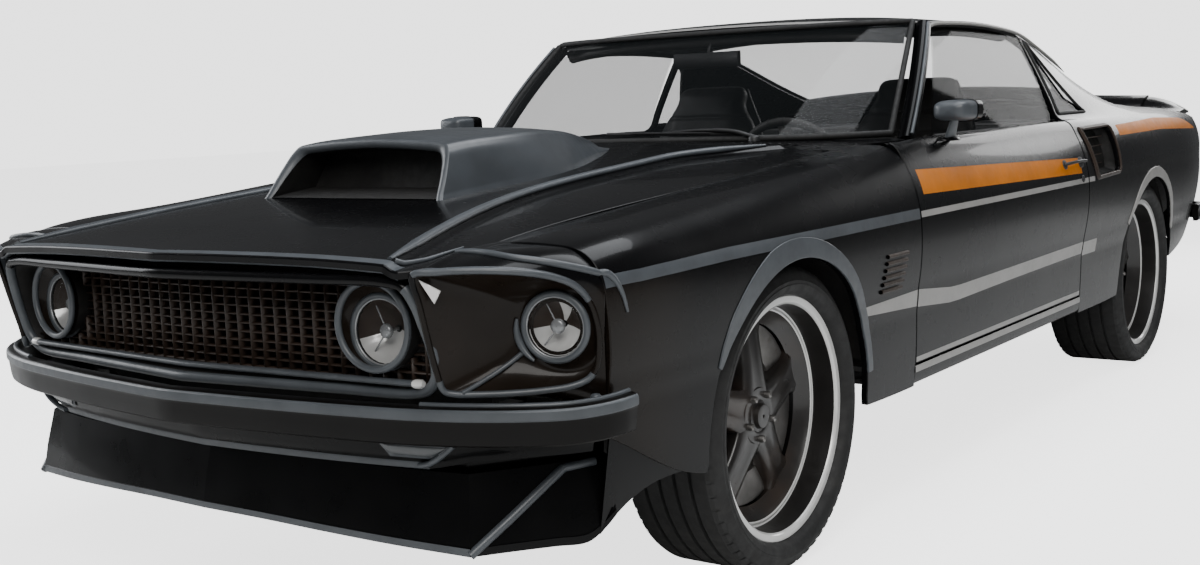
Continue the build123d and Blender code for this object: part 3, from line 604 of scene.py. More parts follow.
M_BODY = shade("body_black", (0.0020, 0.0020, 0.0024), rough=0.27, coat=0.20, coat_rough=0.04, vary=0.25, vary_scale=2.5, bump=0.0,
               spec=0.10, rough_vary=0.05)
def drift(m, colour, y_from, y_to, z_from, z_to):
    """Painted shade: the paint's colour drifts to another one, a shadow colour, between two heights and two lengths
    along the body.
    """
    ns, ln = m.node_tree.nodes, m.node_tree.links
    p = ns["Principled BSDF"]
    src = p.inputs["Base Color"].links[0].from_socket
    co, sep = ns.new("ShaderNodeTexCoord"), ns.new("ShaderNodeSeparateXYZ")
    ln.new(co.outputs["Object"], sep.inputs["Vector"])
    f = []
    for axis, a, b in (("Y", y_from, y_to), ("Z", z_from, z_to)):
        r = ns.new("ShaderNodeMapRange")
        r.interpolation_type = "SMOOTHSTEP"
        r.inputs["From Min"].default_value, r.inputs["From Max"].default_value = a, b
        ln.new(sep.outputs[axis], r.inputs["Value"])
        f.append(r.outputs["Result"])
    mul = ns.new("ShaderNodeMath")
    mul.operation = "MULTIPLY"
    ln.new(f[0], mul.inputs[0])
    ln.new(f[1], mul.inputs[1])
    mx = ns.new("ShaderNodeMix")
    mx.data_type = "RGBA"
    ln.new(mul.outputs["Value"], mx.inputs["Factor"])
    ln.new(src, mx.inputs["A"])
    mx.inputs["B"].default_value = (*colour, 1)
    ln.new(mx.outputs["Result"], p.inputs["Base Color"])


M_JET = shade("lower_black", (0.0020, 0.0020, 0.0022), rough=0.30, coat=0.15, coat_rough=0.06, vary=0.25, vary_scale=3, spec=.10)
# painted shade: ahead of the front wheels and below the shoulder crease, the body paint turns to a brown shadow colour
drift(M_BODY, (.0088, .0063, .0046), -1.76, -1.96, .735, .700)
# slate satin: the trims, and painted highlight lines along edges and creases of panels, lips and bumpers
M_SLATE = shade("slate_satin", (0.062, 0.070, 0.079), rough=0.42, coat=0.15, coat_rough=0.2, vary=0.16, vary_scale=14, bump=0.06,
                bump_scale=1500, bump_dist=0.0002)
M_SCOOP = shade("scoop_slate", (0.045, 0.051, 0.058), rough=0.36, coat=0.25, coat_rough=0.12, vary=0.18, vary_scale=9, bump=0.05,
                bump_scale=1200, bump_dist=0.0002)
# light grey: the drip rails, and painted highlight bands on the body sides, roof edges, rockers and rear wheel lips
M_GREY_TRIM_AND_HIGHLIGHT = shade("light_grey_trim_and_highlight", (0.33, 0.322, 0.31), rough=0.40, coat=0.15, coat_rough=0.12, vary=0.08, vary_scale=10)
# orange: a painted sky reflection above the shoulder crease, and the dial needles
M_ORANGE_REFLECTION_AND_NEEDLE = shade("orange_stripe", (0.52, 0.150, 0.001), rough=0.45, coat=0.0, vary=0.14, vary_scale=9, spec=.08)
# umber: a brown shadow colour, painted shade for the lamp recesses
M_UMBER_SHADE = shade("umber_painted_shade", (0.0125, 0.0088, 0.0064), rough=0.30, coat=0.20, coat_rough=0.05, vary=0.3, vary_scale=5, spec=.10)
M_BUMPER = shade("bumper_black", (0.0034, 0.0028, 0.0025), rough=0.34, coat=0.12, coat_rough=0.08, vary=0.3, vary_scale=3, spec=0.12)
M_MESH = shade("grille_brown", (0.030, 0.018, 0.012), rough=0.5, vary=0.25, vary_scale=20, bump=0.1, bump_scale=900)
M_POCKET = shade("pocket_black", (0.006, 0.0055, 0.005), rough=0.7, vary=0.3, vary_scale=12, bump=0.15, bump_scale=500)
M_CHASSIS = shade("chassis_black", (0.014, 0.013, 0.012), rough=0.62, vary=0.35, vary_scale=7, bump=0.3, bump_scale=160,
                  bump_dist=0.0006, fine=(9, (0.035, 0.028, 0.022), 0.58, 0.5))
M_PLASTIC = shade("black_plastic", (0.013, 0.013, 0.014), rough=0.5, vary=0.2, vary_scale=16, bump=0.18, bump_scale=1400, bump_dist=0.0003)
M_RUBBER = shade("seal_rubber", (0.010, 0.010, 0.010), rough=0.72, vary=0.25, vary_scale=22, bump=0.2, bump_scale=900, bump_dist=0.0003)
M_VINYL = shade("interior_vinyl", (0.012, 0.011, 0.0105), rough=0.55, vary=0.18, vary_scale=9, bump=0.35, bump_scale=620, bump_dist=0.0006,
                grain="cells")
M_SEAT = shade("seat_vinyl", (0.013, 0.012, 0.0115), rough=0.48, vary=0.2, vary_scale=8, bump=0.4, bump_scale=520, bump_dist=0.0007,
               grain="cells", sheen=0.1)
M_CARPET = shade("carpet", (0.013, 0.012, 0.0115), rough=0.95, vary=0.35, vary_scale=60, bump=0.7, bump_scale=700, bump_dist=0.002, sheen=0.3)
M_TYRE = shade("tyre_rubber", (0.013, 0.013, 0.013), rough=0.7, vary=0.28, vary_scale=11, bump=0.25, bump_scale=260, bump_dist=0.0006,
               fine=(26, (0.030, 0.028, 0.026), 0.6, 0.35))
M_WHITE = shade("wheel_lip_white", (0.80, 0.80, 0.785), rough=0.22, metal=0.15, coat=0.5, coat_rough=0.05, vary=0.04, vary_scale=16)
M_ALLOY = shade("wheel_alloy", (0.46, 0.47, 0.48), rough=0.26, metal=0.9, vary=0.1, vary_scale=14, bump=0.05, bump_scale=500)
M_WHEEL = shade("wheel_dark", (0.016, 0.014, 0.013), rough=0.32, coat=0.5, coat_rough=0.12, vary=0.3, vary_scale=10, bump=0.05, bump_scale=700,
                fine=(5, (0.050, 0.032, 0.022), 0.54, 0.7))
M_BARREL = shade("wheel_barrel", (0.010, 0.009, 0.0085), rough=0.42, coat=0.15, coat_rough=0.2, vary=0.25, vary_scale=8, spec=.3)
M_CHROME = shade("bright_metal", (0.62, 0.62, 0.63), rough=0.12, metal=1.0, vary=0.05, vary_scale=12)
M_STEEL = shade("bare_steel", (0.26, 0.25, 0.24), rough=0.42, metal=0.9, vary=0.22, vary_scale=18, bump=0.12, bump_scale=500,
                fine=(30, (0.12, 0.09, 0.07), 0.6, 0.5))
M_CAST = shade("cast_block", (0.060, 0.062, 0.066), rough=0.6, metal=0.35, vary=0.25, vary_scale=12, bump=0.5, bump_scale=240, bump_dist=0.001)
M_REFLECT = shade("lamp_reflector", (0.90, 0.90, 0.89), rough=0.22, metal=0.35, vary=0.04, vary_scale=30, bump=0.04, bump_scale=180)
M_BULB = shade("bulb_grey", (0.30, 0.31, 0.32), rough=0.25, metal=0.4, vary=0.1, vary_scale=40)
M_RED = shade("red_lens", (0.30, 0.006, 0.006), rough=0.12, coat=1.0, coat_rough=0.02, vary=0.2, vary_scale=25, bump=0.4, bump_scale=420,
              bump_dist=0.0006, grain="cells")
M_AMBER = shade("park_lens", (0.085, 0.092, 0.098), rough=0.18, coat=0.6, coat_rough=0.03, vary=0.12, vary_scale=30, bump=0.4, bump_scale=420,
                bump_dist=0.0006, grain="cells")
M_GLASS = glass("clear_glass", (0.012, 0.014, 0.015), alpha=0.018, spec=.5)
M_SIDEGLASS = glass("side_glass", (0.004, 0.0045, 0.005), alpha=0.30, spec=.035)
M_LAMPGLASS = glass("lamp_glass", (0.05, 0.055, 0.058), alpha=0.05)
M_DIAL = shade("dial_face", (0.30, 0.30, 0.29), rough=0.4, vary=0.1, vary_scale=30)
# panel paints: black, slate and light grey painted highlights, orange painted sky reflection, grille brown, seal
# rubber, umber painted shade
BODY = [M_BODY, M_SLATE, M_GREY_TRIM_AND_HIGHLIGHT, M_ORANGE_REFLECTION_AND_NEEDLE, M_MESH, M_RUBBER, M_UMBER_SHADE]
BLACK, SLATE_HIGHLIGHT, GREY_HIGHLIGHT, ORANGE_REFLECTION, BROWN, SEAL, UMBER_SHADE = range(7)

# =====================================================================================================
# body surfaces (Y behind the front axle, millimetres in the tables)
# =====================================================================================================
SIDE = {
    -740: ((836, 470), (845, 503), (852, 545), (866, 724), (798, 779), (632, 786)),
    -700: ((842, 455), (850, 500), (856, 545), (872, 728), (806, 788), (634, 792)),
    -450: ((858, 330), (866, 496), (872, 545), (884, 733), (812, 812), (644, 816)),
    0:    ((866, 303), (873, 492), (879, 545), (888, 735), (818, 846), (660, 852)),
    450:  ((868, 298), (876, 490), (881, 545), (890, 735), (820, 884), (676, 890)),
    632:  ((868, 296), (876, 488), (881, 545), (890, 735), (820, 902), (682, 906)),
    1200: ((869, 296), (878, 488), (885, 545), (898, 735), (822, 912), (790, 916)),
    1963: ((870, 296), (880, 488), (889, 545), (905, 735), (838, 918), (806, 926)),
    2350: ((872, 298), (885, 490), (893, 545), (907, 735), (866, 906), (800, 934)),
    2743: ((873, 320), (887, 490), (895, 545), (908, 735), (868, 904), (792, 936)),
    3022: ((870, 350), (882, 490), (891, 545), (902, 735), (864, 902), (782, 936)),
    3350: ((856, 400), (870, 490), (878, 545), (889, 735), (850, 900), (770, 926)),
    3705: ((800, 480), (815, 505), (824, 545), (838, 735), (806, 890), (742, 904)),
}
GREEN = {
    1940: ((664, 1217), (588, 1246), 1265),
    1963: ((664, 1214), (588, 1240), 1262),
    2180: ((660, 1165), (584, 1196), 1220),
    2450: ((656, 1088), (578, 1122), 1152),
    2750: ((652, 1008), (572, 1040), 1072),
    3022: ((648, 950), (566, 978), 998),
    3350: ((697, 935), (620, 944), 966),
    3705: ((695, 910), (648, 917), 940),
}
HOOD = {
    -1000: ((612, 757), (400, 768), 776),
    -940: ((626, 764), (400, 776), 782),
    -700: ((626, 792), (410, 808), 812),
    0:    ((652, 852), (410, 872), 874),
    518:  ((672, 896), (410, 914), 920),
    900:  ((672, 930), (410, 948), 954),
}
ROOF = {
    1090: ((638, 1219), (400, 1240), 1250),
    1110: ((640, 1222), (400, 1244), 1254),
    1300: ((658, 1236), (400, 1266), 1276),
    1560: ((666, 1238), (400, 1270), 1283),
    1800: ((667, 1228), (400, 1262), 1275),
    1965: ((664, 1214), (400, 1250), 1262),
}
DECK = {
    3030: ((556, 974), (300, 986), 992),
    3400: ((620, 944), (300, 956), 962),
    3690: ((640, 922), (300, 934), 940),
}
GLASS_FOOT = ((0, 600), (400, 648), (620, 760), (700, 885))
GLASS_HEAD = ((0, 1084), (400, 1100), (560, 1140), (632, 1196))


def table_spline(table, pick):
    ks = sorted(table)
    return natural([k / 1000 for k in ks], [[c / 1000 for c in np.ravel(pick(table[k]))] for k in ks])


def side_skin(us, last=6, inner=None, rails=False):
    """The body side as a surface, running up from its bottom edge and over its top roll."""
    f = table_spline(SIDE, lambda r: r)
    g = table_spline(GREEN, lambda r: (r[0], r[1]))
    rows = []
    for u in us:
        p = f(u).reshape(6, 2)[:last]
        soft, bulge = [0, .014, .014, .020, .050, 0][:last], [.002, .001, .007, .012, .004][:last - 1]
        if inner is not None:
            p = np.vstack([p[:5], [[inner, max(p[4][1] + .004, .9115)]]])
        if rails:
            p = np.vstack([p, g(u).reshape(2, 2)])
            soft, bulge = [0, .014, .014, .020, .050, .075, .035, 0], [.002, .001, .007, .012, .004, .004, .002]
        xz = rounded(p, soft, bulge)
        rows.append(np.stack([xz[:, 0], np.full(len(xz), u + Y0), xz[:, 1]], 1))
    return Skin(us, rows)


def crown_skin(us, table, lines=None, raise_by=0.0, cols=40, edge_soft=True, edge_drop=0.0):
    """A crowned top panel from its left edge (+X) to its right edge. lines is a crease (y, x) mirrored about the middle."""
    f = table_spline(table, lambda r: (*r[0], *r[1], r[2]))
    if lines is not None:
        ly = natural([p[0] for p in lines], [[p[1]] for p in lines])
    rows = []
    for u in us:
        xe, ze, xm, zm, zc = f(u)[0]
        # even polynomial through centre, middle and edge
        A = V([[xm ** 2, xm ** 4], [xe ** 2, xe ** 4]])
        a, b = np.linalg.solve(A, V([zm - zc, ze - zc]))
        if lines is not None:
            uu = min(max(u, lines[0][0]), lines[-1][0])
            xl = float(ly(uu)[0][0])
            half = np.concatenate([np.linspace(0, xl, cols // 2, endpoint=False), xl + (xe - xl) * np.linspace(0, 1, cols // 2) ** 1.0])
            w = .030
            k = np.clip((xl - half) / w, -1, 1)
            lift = np.where(half < xl, 1.0, 1 - np.clip((half - xl) / w, 0, 1) ** 1.0)
            lift = raise_by * np.where(half <= xl, 1.0, (1 + np.cos(np.pi * np.clip((half - xl) / w, 0, 1))) / 2)
        else:
            half = xe * np.sin(np.linspace(0, 1, cols) * math.pi / 2 * .985) / math.sin(math.pi / 2 * .985)
            lift = 0
        z = zc + a * half ** 2 + b * half ** 4 + lift
        if edge_drop:
            t = np.clip((half - (xe - .028)) / .028, 0, 1)
            z = z - edge_drop * t * t
        x = np.concatenate([half[::-1], -half[1:]])
        z = np.concatenate([z[::-1], z[1:]])
        rows.append(np.stack([x, np.full(len(x), u + Y0), z], 1))
    return Skin(us, rows)


def on_side(skin, pts):
    """(y, z) places on a side skin as its (u, v)."""
    return [(y, skin.v_of(y, 2, z)) for y, z in pts]


def on_top(skin, pts):
    """(y, x) places on a top skin as its (u, v)."""
    return [(y, skin.v_of(y, 0, x)) for y, x in pts]


def arc(cy, cz, r, a0, a1, n=40):
    return [(cy + r * math.cos(math.radians(a0 + (a1 - a0) * k / n)), cz + r * math.sin(math.radians(a0 + (a1 - a0) * k / n)))
            for k in range(n + 1)]


US = np.unique(np.round(np.concatenate([np.linspace(-.74, 3.705, 150), [-.70, .6315, .640, 1.9535, 1.963, 3.022]]), 4))
SIDE_SKIN = side_skin(US[US <= 1.3])
DOOR_SKIN = side_skin(US[(US >= .6) & (US <= 2.0)], inner=.798)
REAR_SKIN = side_skin(US[US >= 1.94], rails=True)
END = SIDE_SKIN.v[-1]


def bottom_path(skin, y0, y1, z=None, n=12):
    """Along the skin's lower edge, or at height z."""
    ys = np.linspace(y0, y1, n)
    return [(y, skin.v[0] if z is None else skin.v_of(y, 2, z)) for y in ys]


def band_between(skin, ys, lo, hi):
    """A stripe as a loop: lo and hi give z at each y."""
    a = [(y, skin.v_of(y, 2, z)) for y, z in zip(ys, lo)]
    b = [(y, skin.v_of(y, 2, z)) for y, z in zip(ys, hi)]
    return a + b[::-1]


def interp(y, table):
    return float(np.interp(y, [p[0] for p in table], [p[1] for p in table]))


def pair(b, name, mats, body, slot, node, smooth_angle=None):
    """The left piece, and its mirror image on the right."""
    lb = body if isinstance(body, tuple) else (body, body)
    nodes = (f"left_{node}", f"right_{node}") if node else (None, None)
    b.mirrored().object(f"right_{name}", mats, lb[1], slot, [nodes[1]] if node else [], smooth_angle)
    b.object(f"left_{name}", mats, lb[0], slot, [nodes[0]] if node else [], smooth_angle)


def both(b, name, mats, body, slot, nodes=(), smooth_angle=None):
    """The piece and its mirror image as one object."""
    other = b.mirrored()
    b.join(other)
    return b.object(name, mats, body, slot, nodes, smooth_angle)


# ---- front fenders
ARCH_R, AXLE_R = .358, WHEELBASE
arch_f = arc(0, AXLE_Z, ARCH_R, 187, -7)
fender = Build()
front_edge = [(-.700, END), (-.702, SIDE_SKIN.v_of(-.70, 2, .74)), (-.695, SIDE_SKIN.v_of(-.695, 2, .68)),
              (-.680, SIDE_SKIN.v_of(-.68, 2, .58)), (-.672, SIDE_SKIN.v_of(-.672, 2, .50)), (-.672, 0)]
outline = front_edge + bottom_path(SIDE_SKIN, -.66, -.362, n=8) + on_side(SIDE_SKIN, arch_f[1:-1]) + \
    bottom_path(SIDE_SKIN, .362, .6315, n=6) + [(.6315, SIDE_SKIN.v_of(.6315, 2, z)) for z in (.4, .5, .6, .7, .8)] + [(.6315, END)] + \
    [(y, END) for y in np.linspace(.6, -.68, 12)]
# painted highlights: a slate band along the shoulder crease and a light grey band low on the panel
ys = np.linspace(-.70, .6315, 14)
shoulder = band_between(SIDE_SKIN, ys, [interp(y, ((-.7, .716), (-.3, .722), (.64, .722))) for y in ys],
                        [interp(y, ((-.7, .738), (-.3, .747), (.64, .748))) for y in ys])
ys = np.linspace(.28, .6315, 6)
low = band_between(SIDE_SKIN, ys, [interp(y, ((.28, .520), (.64, .500))) for y in ys], [interp(y, ((.28, .538), (.64, .543))) for y in ys])
# the band ahead of the front wheel is a painted brown shade patch; it is not used
ys = np.linspace(-.655, -.335, 8)
umber_shade_band = band_between(SIDE_SKIN, ys, [interp(y, ((-.66, .455), (-.46, .455), (-.335, .665))) for y in ys], [interp(y, ((-.66, .708), (-.3, .712))) for y in ys])
sheet_mesh(fender, SIDE_SKIN, outline, step=.028, vstep=.012, r=.003, flange=.016, regions=[(shoulder, SLATE_HIGHLIGHT), (low, GREY_HIGHLIGHT)])
pair(fender, "fender_panel", BODY, "car_body", "body_paint", "front_fender")

# ---- doors
DS = DOOR_SKIN
door = Build()
DF, DR = .640, 1.9535
outline = bottom_path(DS, DF, DR, z=.355) + [(DR, DS.v_of(DR, 2, z)) for z in (.45, .6, .75, .85)] + [(DR, DS.v[-1])] + \
    [(y, DS.v[-1]) for y in np.linspace(DR - .05, DF + .02, 14)] + [(DF, DS.v[-1])] + [(DF, DS.v_of(DF, 2, z)) for z in (.85, .75, .6, .45)]
# painted highlights in light grey along the shoulder crease, low on the door and along the sill, and a painted orange
# sky reflection above the crease
ys = np.linspace(DF, DR, 20)
shoulder = band_between(DS, ys, [.7245] * 20, [.7405] * 20)
ylow = np.linspace(DF, DR, 20)
low = band_between(DS, ylow, [interp(y, ((.64, .498), (.87, .479), (1.3, .486), (1.95, .492))) for y in ylow],
                   [interp(y, ((.64, .543), (.87, .520), (1.3, .524), (1.95, .530))) for y in ylow])
yo = np.linspace(.676, 1.90, 18)
orange = band_between(DS, yo, [interp(y, ((.676, .780), (1.9, .757))) for y in yo], [interp(y, ((.676, .842), (1.9, .806))) for y in yo])
sill = band_between(DS, np.linspace(DF, DR, 12), [.3555] * 12, [.3685] * 12)
sheet_mesh(door, DS, outline, step=.03, vstep=.012, r=.003, flange=.018, regions=[(shoulder, GREY_HIGHLIGHT), (low, GREY_HIGHLIGHT), (orange, ORANGE_REFLECTION), (sill, GREY_HIGHLIGHT)])


def door_shell(b):
    """The door's jamb faces: a ring from the outer skin's flange to the inner face."""
    xin, z0, z1 = .776, .358, .906
    y0, y1 = DF + .006, DR - .006
    # jamb faces: from the outer skin's flange to the inner face
    ring_o, ring_i = [], []
    zs = np.linspace(z0, .86, 10)
    for y, zz in [(y0, z) for z in zs] + [(y, .9) for y in np.linspace(y0 + .03, y1 - .03, 12)] + [(y1, z) for z in zs[::-1]] + \
            [(y, z0) for y in np.linspace(y1 - .03, y0 + .03, 12)]:
        v = DS.v_of(y, 2, zz)
        P, N = DS.at([(y, v)])
        ring_o.append(P[0] - N[0] * .012)
        ring_i.append(V([xin + .004, y + Y0, zz]))
    n = len(ring_o)
    fs = [(k, (k + 1) % n, n + (k + 1) % n, n + k) for k in range(n)]
    b.add(np.concatenate([ring_o, ring_i]), fs, mat=0)


inner = Build()
door_shell(inner)
pair(door, "door_skin", BODY, ("left_door", "right_door"), "body_paint", "door")

# ---- quarter panels
RS = REAR_SKIN
VE = RS.v[-1]
quarter = Build()
arch_r = arc(AXLE_R, AXLE_Z, ARCH_R, 187, -4)
window = [(1.987, .946), (2.252, .946), (2.252, .952), (2.232, .968), (1.998, 1.184), (1.987, 1.188)]


def on_sail(pts):
    return [(y, RS.v_of(y, 2, z)) for y, z in pts]


scoop_hole = [(2.010, .892), (2.030, .80), (2.048, .745), (2.060, .736), (2.285, .742), (2.296, .752), (2.284, .888), (2.270, .896)]
QF = 1.963
outline = bottom_path(RS, QF, 2.382, n=8) + on_side(RS, arch_r[1:-1]) + bottom_path(RS, 3.105, 3.700, n=10) + \
    [(3.700, RS.v_of(3.7, 2, z)) for z in (.55, .65, .75, .85)] + [(3.700, VE)] + \
    [(y, VE) for y in np.linspace(3.66, 2.0, 26)] + [(QF, VE)] + \
    [(QF, RS.v_of(QF, 2, z)) for z in (1.15, 1.05, .96, .85, .75, .65, .55, .45, .35)]
ys = np.linspace(QF, 3.7, 22)
# painted highlights in light grey low on the panel, at the shoulder crease and along the sail's edge, and a painted
# orange sky reflection along the quarter top
ylow = np.linspace(QF, 2.10, 5)
low = band_between(RS, ylow, [.484] * 5, [.528] * 5)
shoulder = band_between(RS, np.linspace(QF, 2.02, 3), [.7245] * 3, [.7405] * 3)
yq = np.linspace(2.36, 3.55, 18)
orange_q = band_between(RS, yq, [interp(y, ((2.36, .860), (2.9, .862), (3.55, .842))) for y in yq],
                        [interp(y, ((2.36, .896), (2.9, .906), (3.3, .893), (3.55, .848))) for y in yq])
ROLL_Z = ((1.963, 1.214), (2.180, 1.165), (2.450, 1.088), (2.750, 1.008), (3.022, .950))
yq = np.linspace(1.9645, 2.86, 24)
sail_band = [(y, RS.v_of(y, 2, interp(y, ROLL_Z) - interp(y, ((1.963, .010), (2.3, .006), (2.86, -.0005))))) for y in yq] + [(y, RS.v_of(y, 2, interp(y, ROLL_Z) + interp(y, ((1.963, .0085), (2.3, .0075), (2.86, .0015))))) for y in yq[::-1]]
sheet_mesh(quarter, RS, outline, [on_sail(window), on_side(RS, scoop_hole)], step=.032, vstep=.012, r=.003, flange=.014,
           regions=[(low, GREY_HIGHLIGHT), (shoulder, GREY_HIGHLIGHT), (orange_q, ORANGE_REFLECTION), (sail_band, GREY_HIGHLIGHT)])
pair(quarter, "quarter_skin", BODY, "car_body", "body_paint", "quarter_panel")

# ---- wheel opening lips: a raised band on the panels, slate at the front and light grey at the rear; the colours are painted highlights where the lips catch the light
lips = Build()
for skin, cy, a0, a1, wide, m in ((SIDE_SKIN, 0, 152, 7, ((0, .010), (.10, .036), (.30, .046), (.60, .034), (1, .020)), 0),
                                  (REAR_SKIN, AXLE_R, 145, 22, ((0, .012), (.2, .030), (.5, .034), (1, .014)), 1)):
    n = 44
    inner_l, outer_l = [], []
    for k in range(n + 1):
        t = k / n
        a = math.radians(a0 + (a1 - a0) * t)
        w = interp(t, wide)
        for r, lst in ((ARCH_R - .0005, inner_l), (ARCH_R + w, outer_l)):
            y, z = cy + r * math.cos(a), AXLE_Z + r * math.sin(a)
            lst.append((y, skin.v_of(y, 2, z)))
    sheet_mesh(lips, skin, inner_l + outer_l[::-1], step=.02, vstep=.010, r=.0022, flange=.006, loft=.0032, mat=m, loop_step=.010)
both(lips, "wheel_opening_lips", [M_SLATE, M_GREY_TRIM_AND_HIGHLIGHT], "car_body", "slate_trim")

# ---- hood, its lip, and the ridges that run back round the scoop
RIDGE = ((-1.0, .586), (-.967, .578), (-.756, .514), (-.450, .431), (-.200, .398), (-.040, .394), (.150, .398), (.280, .412), (.390, .470), (.530, .560))
us = np.unique(np.round(np.concatenate([np.linspace(-1.0, .518, 60), [-.94]]), 4))
HOOD_SKIN = crown_skin(us, HOOD, RIDGE, raise_by=.010, cols=44)
HS = HOOD_SKIN


def hood_front(x):
    return float(np.interp(abs(x), [0, .410, .612], [-.998, -.9555, -.941]))


hood = Build()
hl = [(hood_front(x), x) for x in np.linspace(.606, -.606, 31)]
back = [(.518, x) for x in np.linspace(-.665, .665, 21)]
outline = [(y, HS.v_of(y, 0, x)) for y, x in hl] + [(y, HS.v[-1]) for y in np.linspace(-.92, .50, 20)] + \
    [(.518, HS.v_of(.518, 0, x)) for x in np.linspace(-.668, .668, 25)] + [(y, HS.v[0]) for y in np.linspace(.50, -.92, 20)]


def strip_on_top(skin, line, half, side):
    """A painted strip of that half width along (y, x) points, on the side +1 or -1."""
    p = V([(y, side * x) for y, x in line])
    t = unit(np.gradient(p, axis=0))
    n = np.stack([t[:, 1], -t[:, 0]], 1)
    a, b = p + n * half, p - n * half
    return [(y, skin.v_of(y, 0, x)) for y, x in a] + [(y, skin.v_of(y, 0, x)) for y, x in b[::-1]]


rl = natural([p[0] for p in RIDGE], [[p[1]] for p in RIDGE])
rpts = [(y, float(rl(y)[0][0])) for y in np.linspace(-.915, .490, 40)]
regions = []
# the slate band along the hood's front lip and its turned-down face: a lip trim colour that also paints the edge's
# highlight
lip_in = [(hood_front(x) + .026, x) for x in np.linspace(.600, -.600, 31)]
lip_out = [(hood_front(x) + .0005, x) for x in np.linspace(.600, -.600, 31)]
regions.append(([(y, HS.v_of(y, 0, x)) for y, x in lip_in] + [(y, HS.v_of(y, 0, x)) for y, x in lip_out[::-1]], SLATE_HIGHLIGHT))
sheet_mesh(hood, HS, outline, step=.026, r=.004, flange=.014, regions=regions, edge_mat=None)
# the lip's turned-down front face
lip = [[(x, hood_front(x) + d + Y0, float(HS.at([(max(hood_front(x), -.999), HS.v_of(hood_front(x), 0, x))])[0][0][2]) + dz)
        for x in np.linspace(.604, -.604, 41)] for d, dz in ((.0000, -.004), (-.0010, -.010), (.0015, -.017), (.010, -.019), (.030, -.014))]
rows_mesh(hood, lip, mat=SLATE_HIGHLIGHT, out=(0, -.5 + Y0, .70))
hood.object("hood_skin", BODY, "hood", "body_paint", ["hood"])

# ---- inner panels of the hood and, later, the trunk lid: a pressed sheet with ribs
def inner_panel(b, skin, y0, y1, edge, ribs_x, ribs_y, shallow, deep, half=.028, nx=61, ny=61, mat=0):
    rows = []
    for y in np.linspace(y0, y1, ny):
        xe = min(abs(skin.at([(y, skin.v[0])])[0][0][0]), abs(skin.at([(y, skin.v[-1])])[0][0][0])) - edge
        row = []
        for x in np.linspace(-xe, xe, nx):
            P, N = skin.at([(y, skin.v_of(y, 0, x))])
            d = min([abs(abs(x) - q) for q in ribs_x] + [abs(y - q) for q in ribs_y] + [abs(abs(x) - xe) - .012, y - y0 - .012, y1 - y - .012])
            k = 1 / (1 + math.exp((d - half) / .0045))
            row.append(P[0] - N[0] * (shallow + (deep - shallow) * k))
        rows.append(row)
    R = V(rows)
    rows_mesh(b, R, mat=mat, out=tuple(R.mean(axis=(0, 1)) + V([0, 0, 3])))
    for ring in (R[0], R[-1], R[:, 0], R[:, -1]):
        c_ = R.mean(axis=(0, 1))
        up_ = ring + V([0, 0, deep - .003])
        rows_mesh(b, [ring, up_], mat=mat, out=tuple(c_))


hi = Build()
inner_panel(hi, HS, -.900, .490, .016, (.0, .335), (-.40, .05), .0075, .021)
for s in (1, -1):
    arm_l = rounded([(.425, .856), (.455, .856), (.458, .8870), (.418, .8830), (.425, .856)], [.010] * 5, [0] * 4, seg=3, arc=4)[:-1]
    rows_mesh(hi, [[(x, y + Y0, z) for y, z in arm_l] for x in (s * .590, s * .602)], wrap=True, mat=0, out=(s * .596, .44 + Y0, .88), caps=True)
hi.object("hood_inner_panel", [M_CHASSIS], "hood", "chassis_black")

# ---- hood scoop: closed sides, open mouth with a dark throat, raised rim
SCOOP = ((-.385, .279, .232, .968), (-.330, .286, .238, .974), (-.220, .296, .242, .980), (-.100, .298, .238, .984), (0, .284, .222, .982),
         (.120, .246, .188, .973), (.220, .206, .152, .960), (.300, .170, .120, .946), (.370, .132, .090, .931), (.420, .098, .064, .921), (.455, .062, .038, .9165), (.475, .026, .014, .9150))
sf = natural([r[0] for r in SCOOP], [r[1:] for r in SCOOP])
MOUTH_TOP, MOUTH_FOOT = -.378, -.455


def hood_top(x, y):
    return float(HS.at([(y, HS.v_of(y, 0, x))])[0][0][2])


def scoop_row(y, shrink=0.0, drop=0.0, rake=0.0):
    """A section of the scoop; rake moves its foot forward, so that the mouth leans back."""
    w, t, z = sf(max(y, -.385))[0]
    w, t, z = w - shrink, t - shrink, z - drop
    zf = hood_top(w, y - rake) - .002
    h = max(z - zf, .002)
    g = min(1.0, h / .060)
    b1, b2, e = .014 * g, .022 * g, min(.016 * g, (w - t) * .45)
    pts = [(w, zf), (w - .006 * g, zf + b1), (t + e, z - b2), (t, z - .002 * g), (t * .55, z + .006 * g), (0, z + .010 * g), (-t * .55, z + .006 * g), (-t, z - .002 * g),
           (-t - e, z - b2), (-w + .006 * g, zf + b1), (-w, zf)]
    prof = rounded(pts, [0, .004 * g, .014 * g, .020 * g, .05 * g, .05 * g, .05 * g, .020 * g, .014 * g, .004 * g, 0], [0, .002 * g, 0, 0, 0, 0, 0, 0, .002 * g, 0], seg=4, arc=6)
    k = np.clip((z - prof[:, 1]) / h, 0, 1)
    return np.stack([prof[:, 0], y - rake * k + Y0, prof[:, 1]], 1)


scoop = Build()
ysc = np.concatenate([np.linspace(MOUTH_TOP, -.26, 9), np.linspace(-.22, .44, 24), [.452, .462, .469, .473]])
rake_at = lambda y: (MOUTH_TOP - MOUTH_FOOT) * float(np.clip((-.20 - y) / (-.20 - MOUTH_TOP), 0, 1)) ** 1.3
rows_mesh(scoop, [scoop_row(y, rake=rake_at(y)) for y in ysc], mat=0, out=(0, 0 + Y0, .88))
# tail end closed down to the hood
last = scoop_row(.473)
tip = last.copy()
tip[:, 0] *= .1
tip[:, 1] = .481 + Y0
tip[:, 2] = hood_top(0, .481) - .001
rows_mesh(scoop, [last, (last + tip) / 2 + V([0, 0, .0006]), tip], mat=0, out=(0, .40 + Y0, .88))
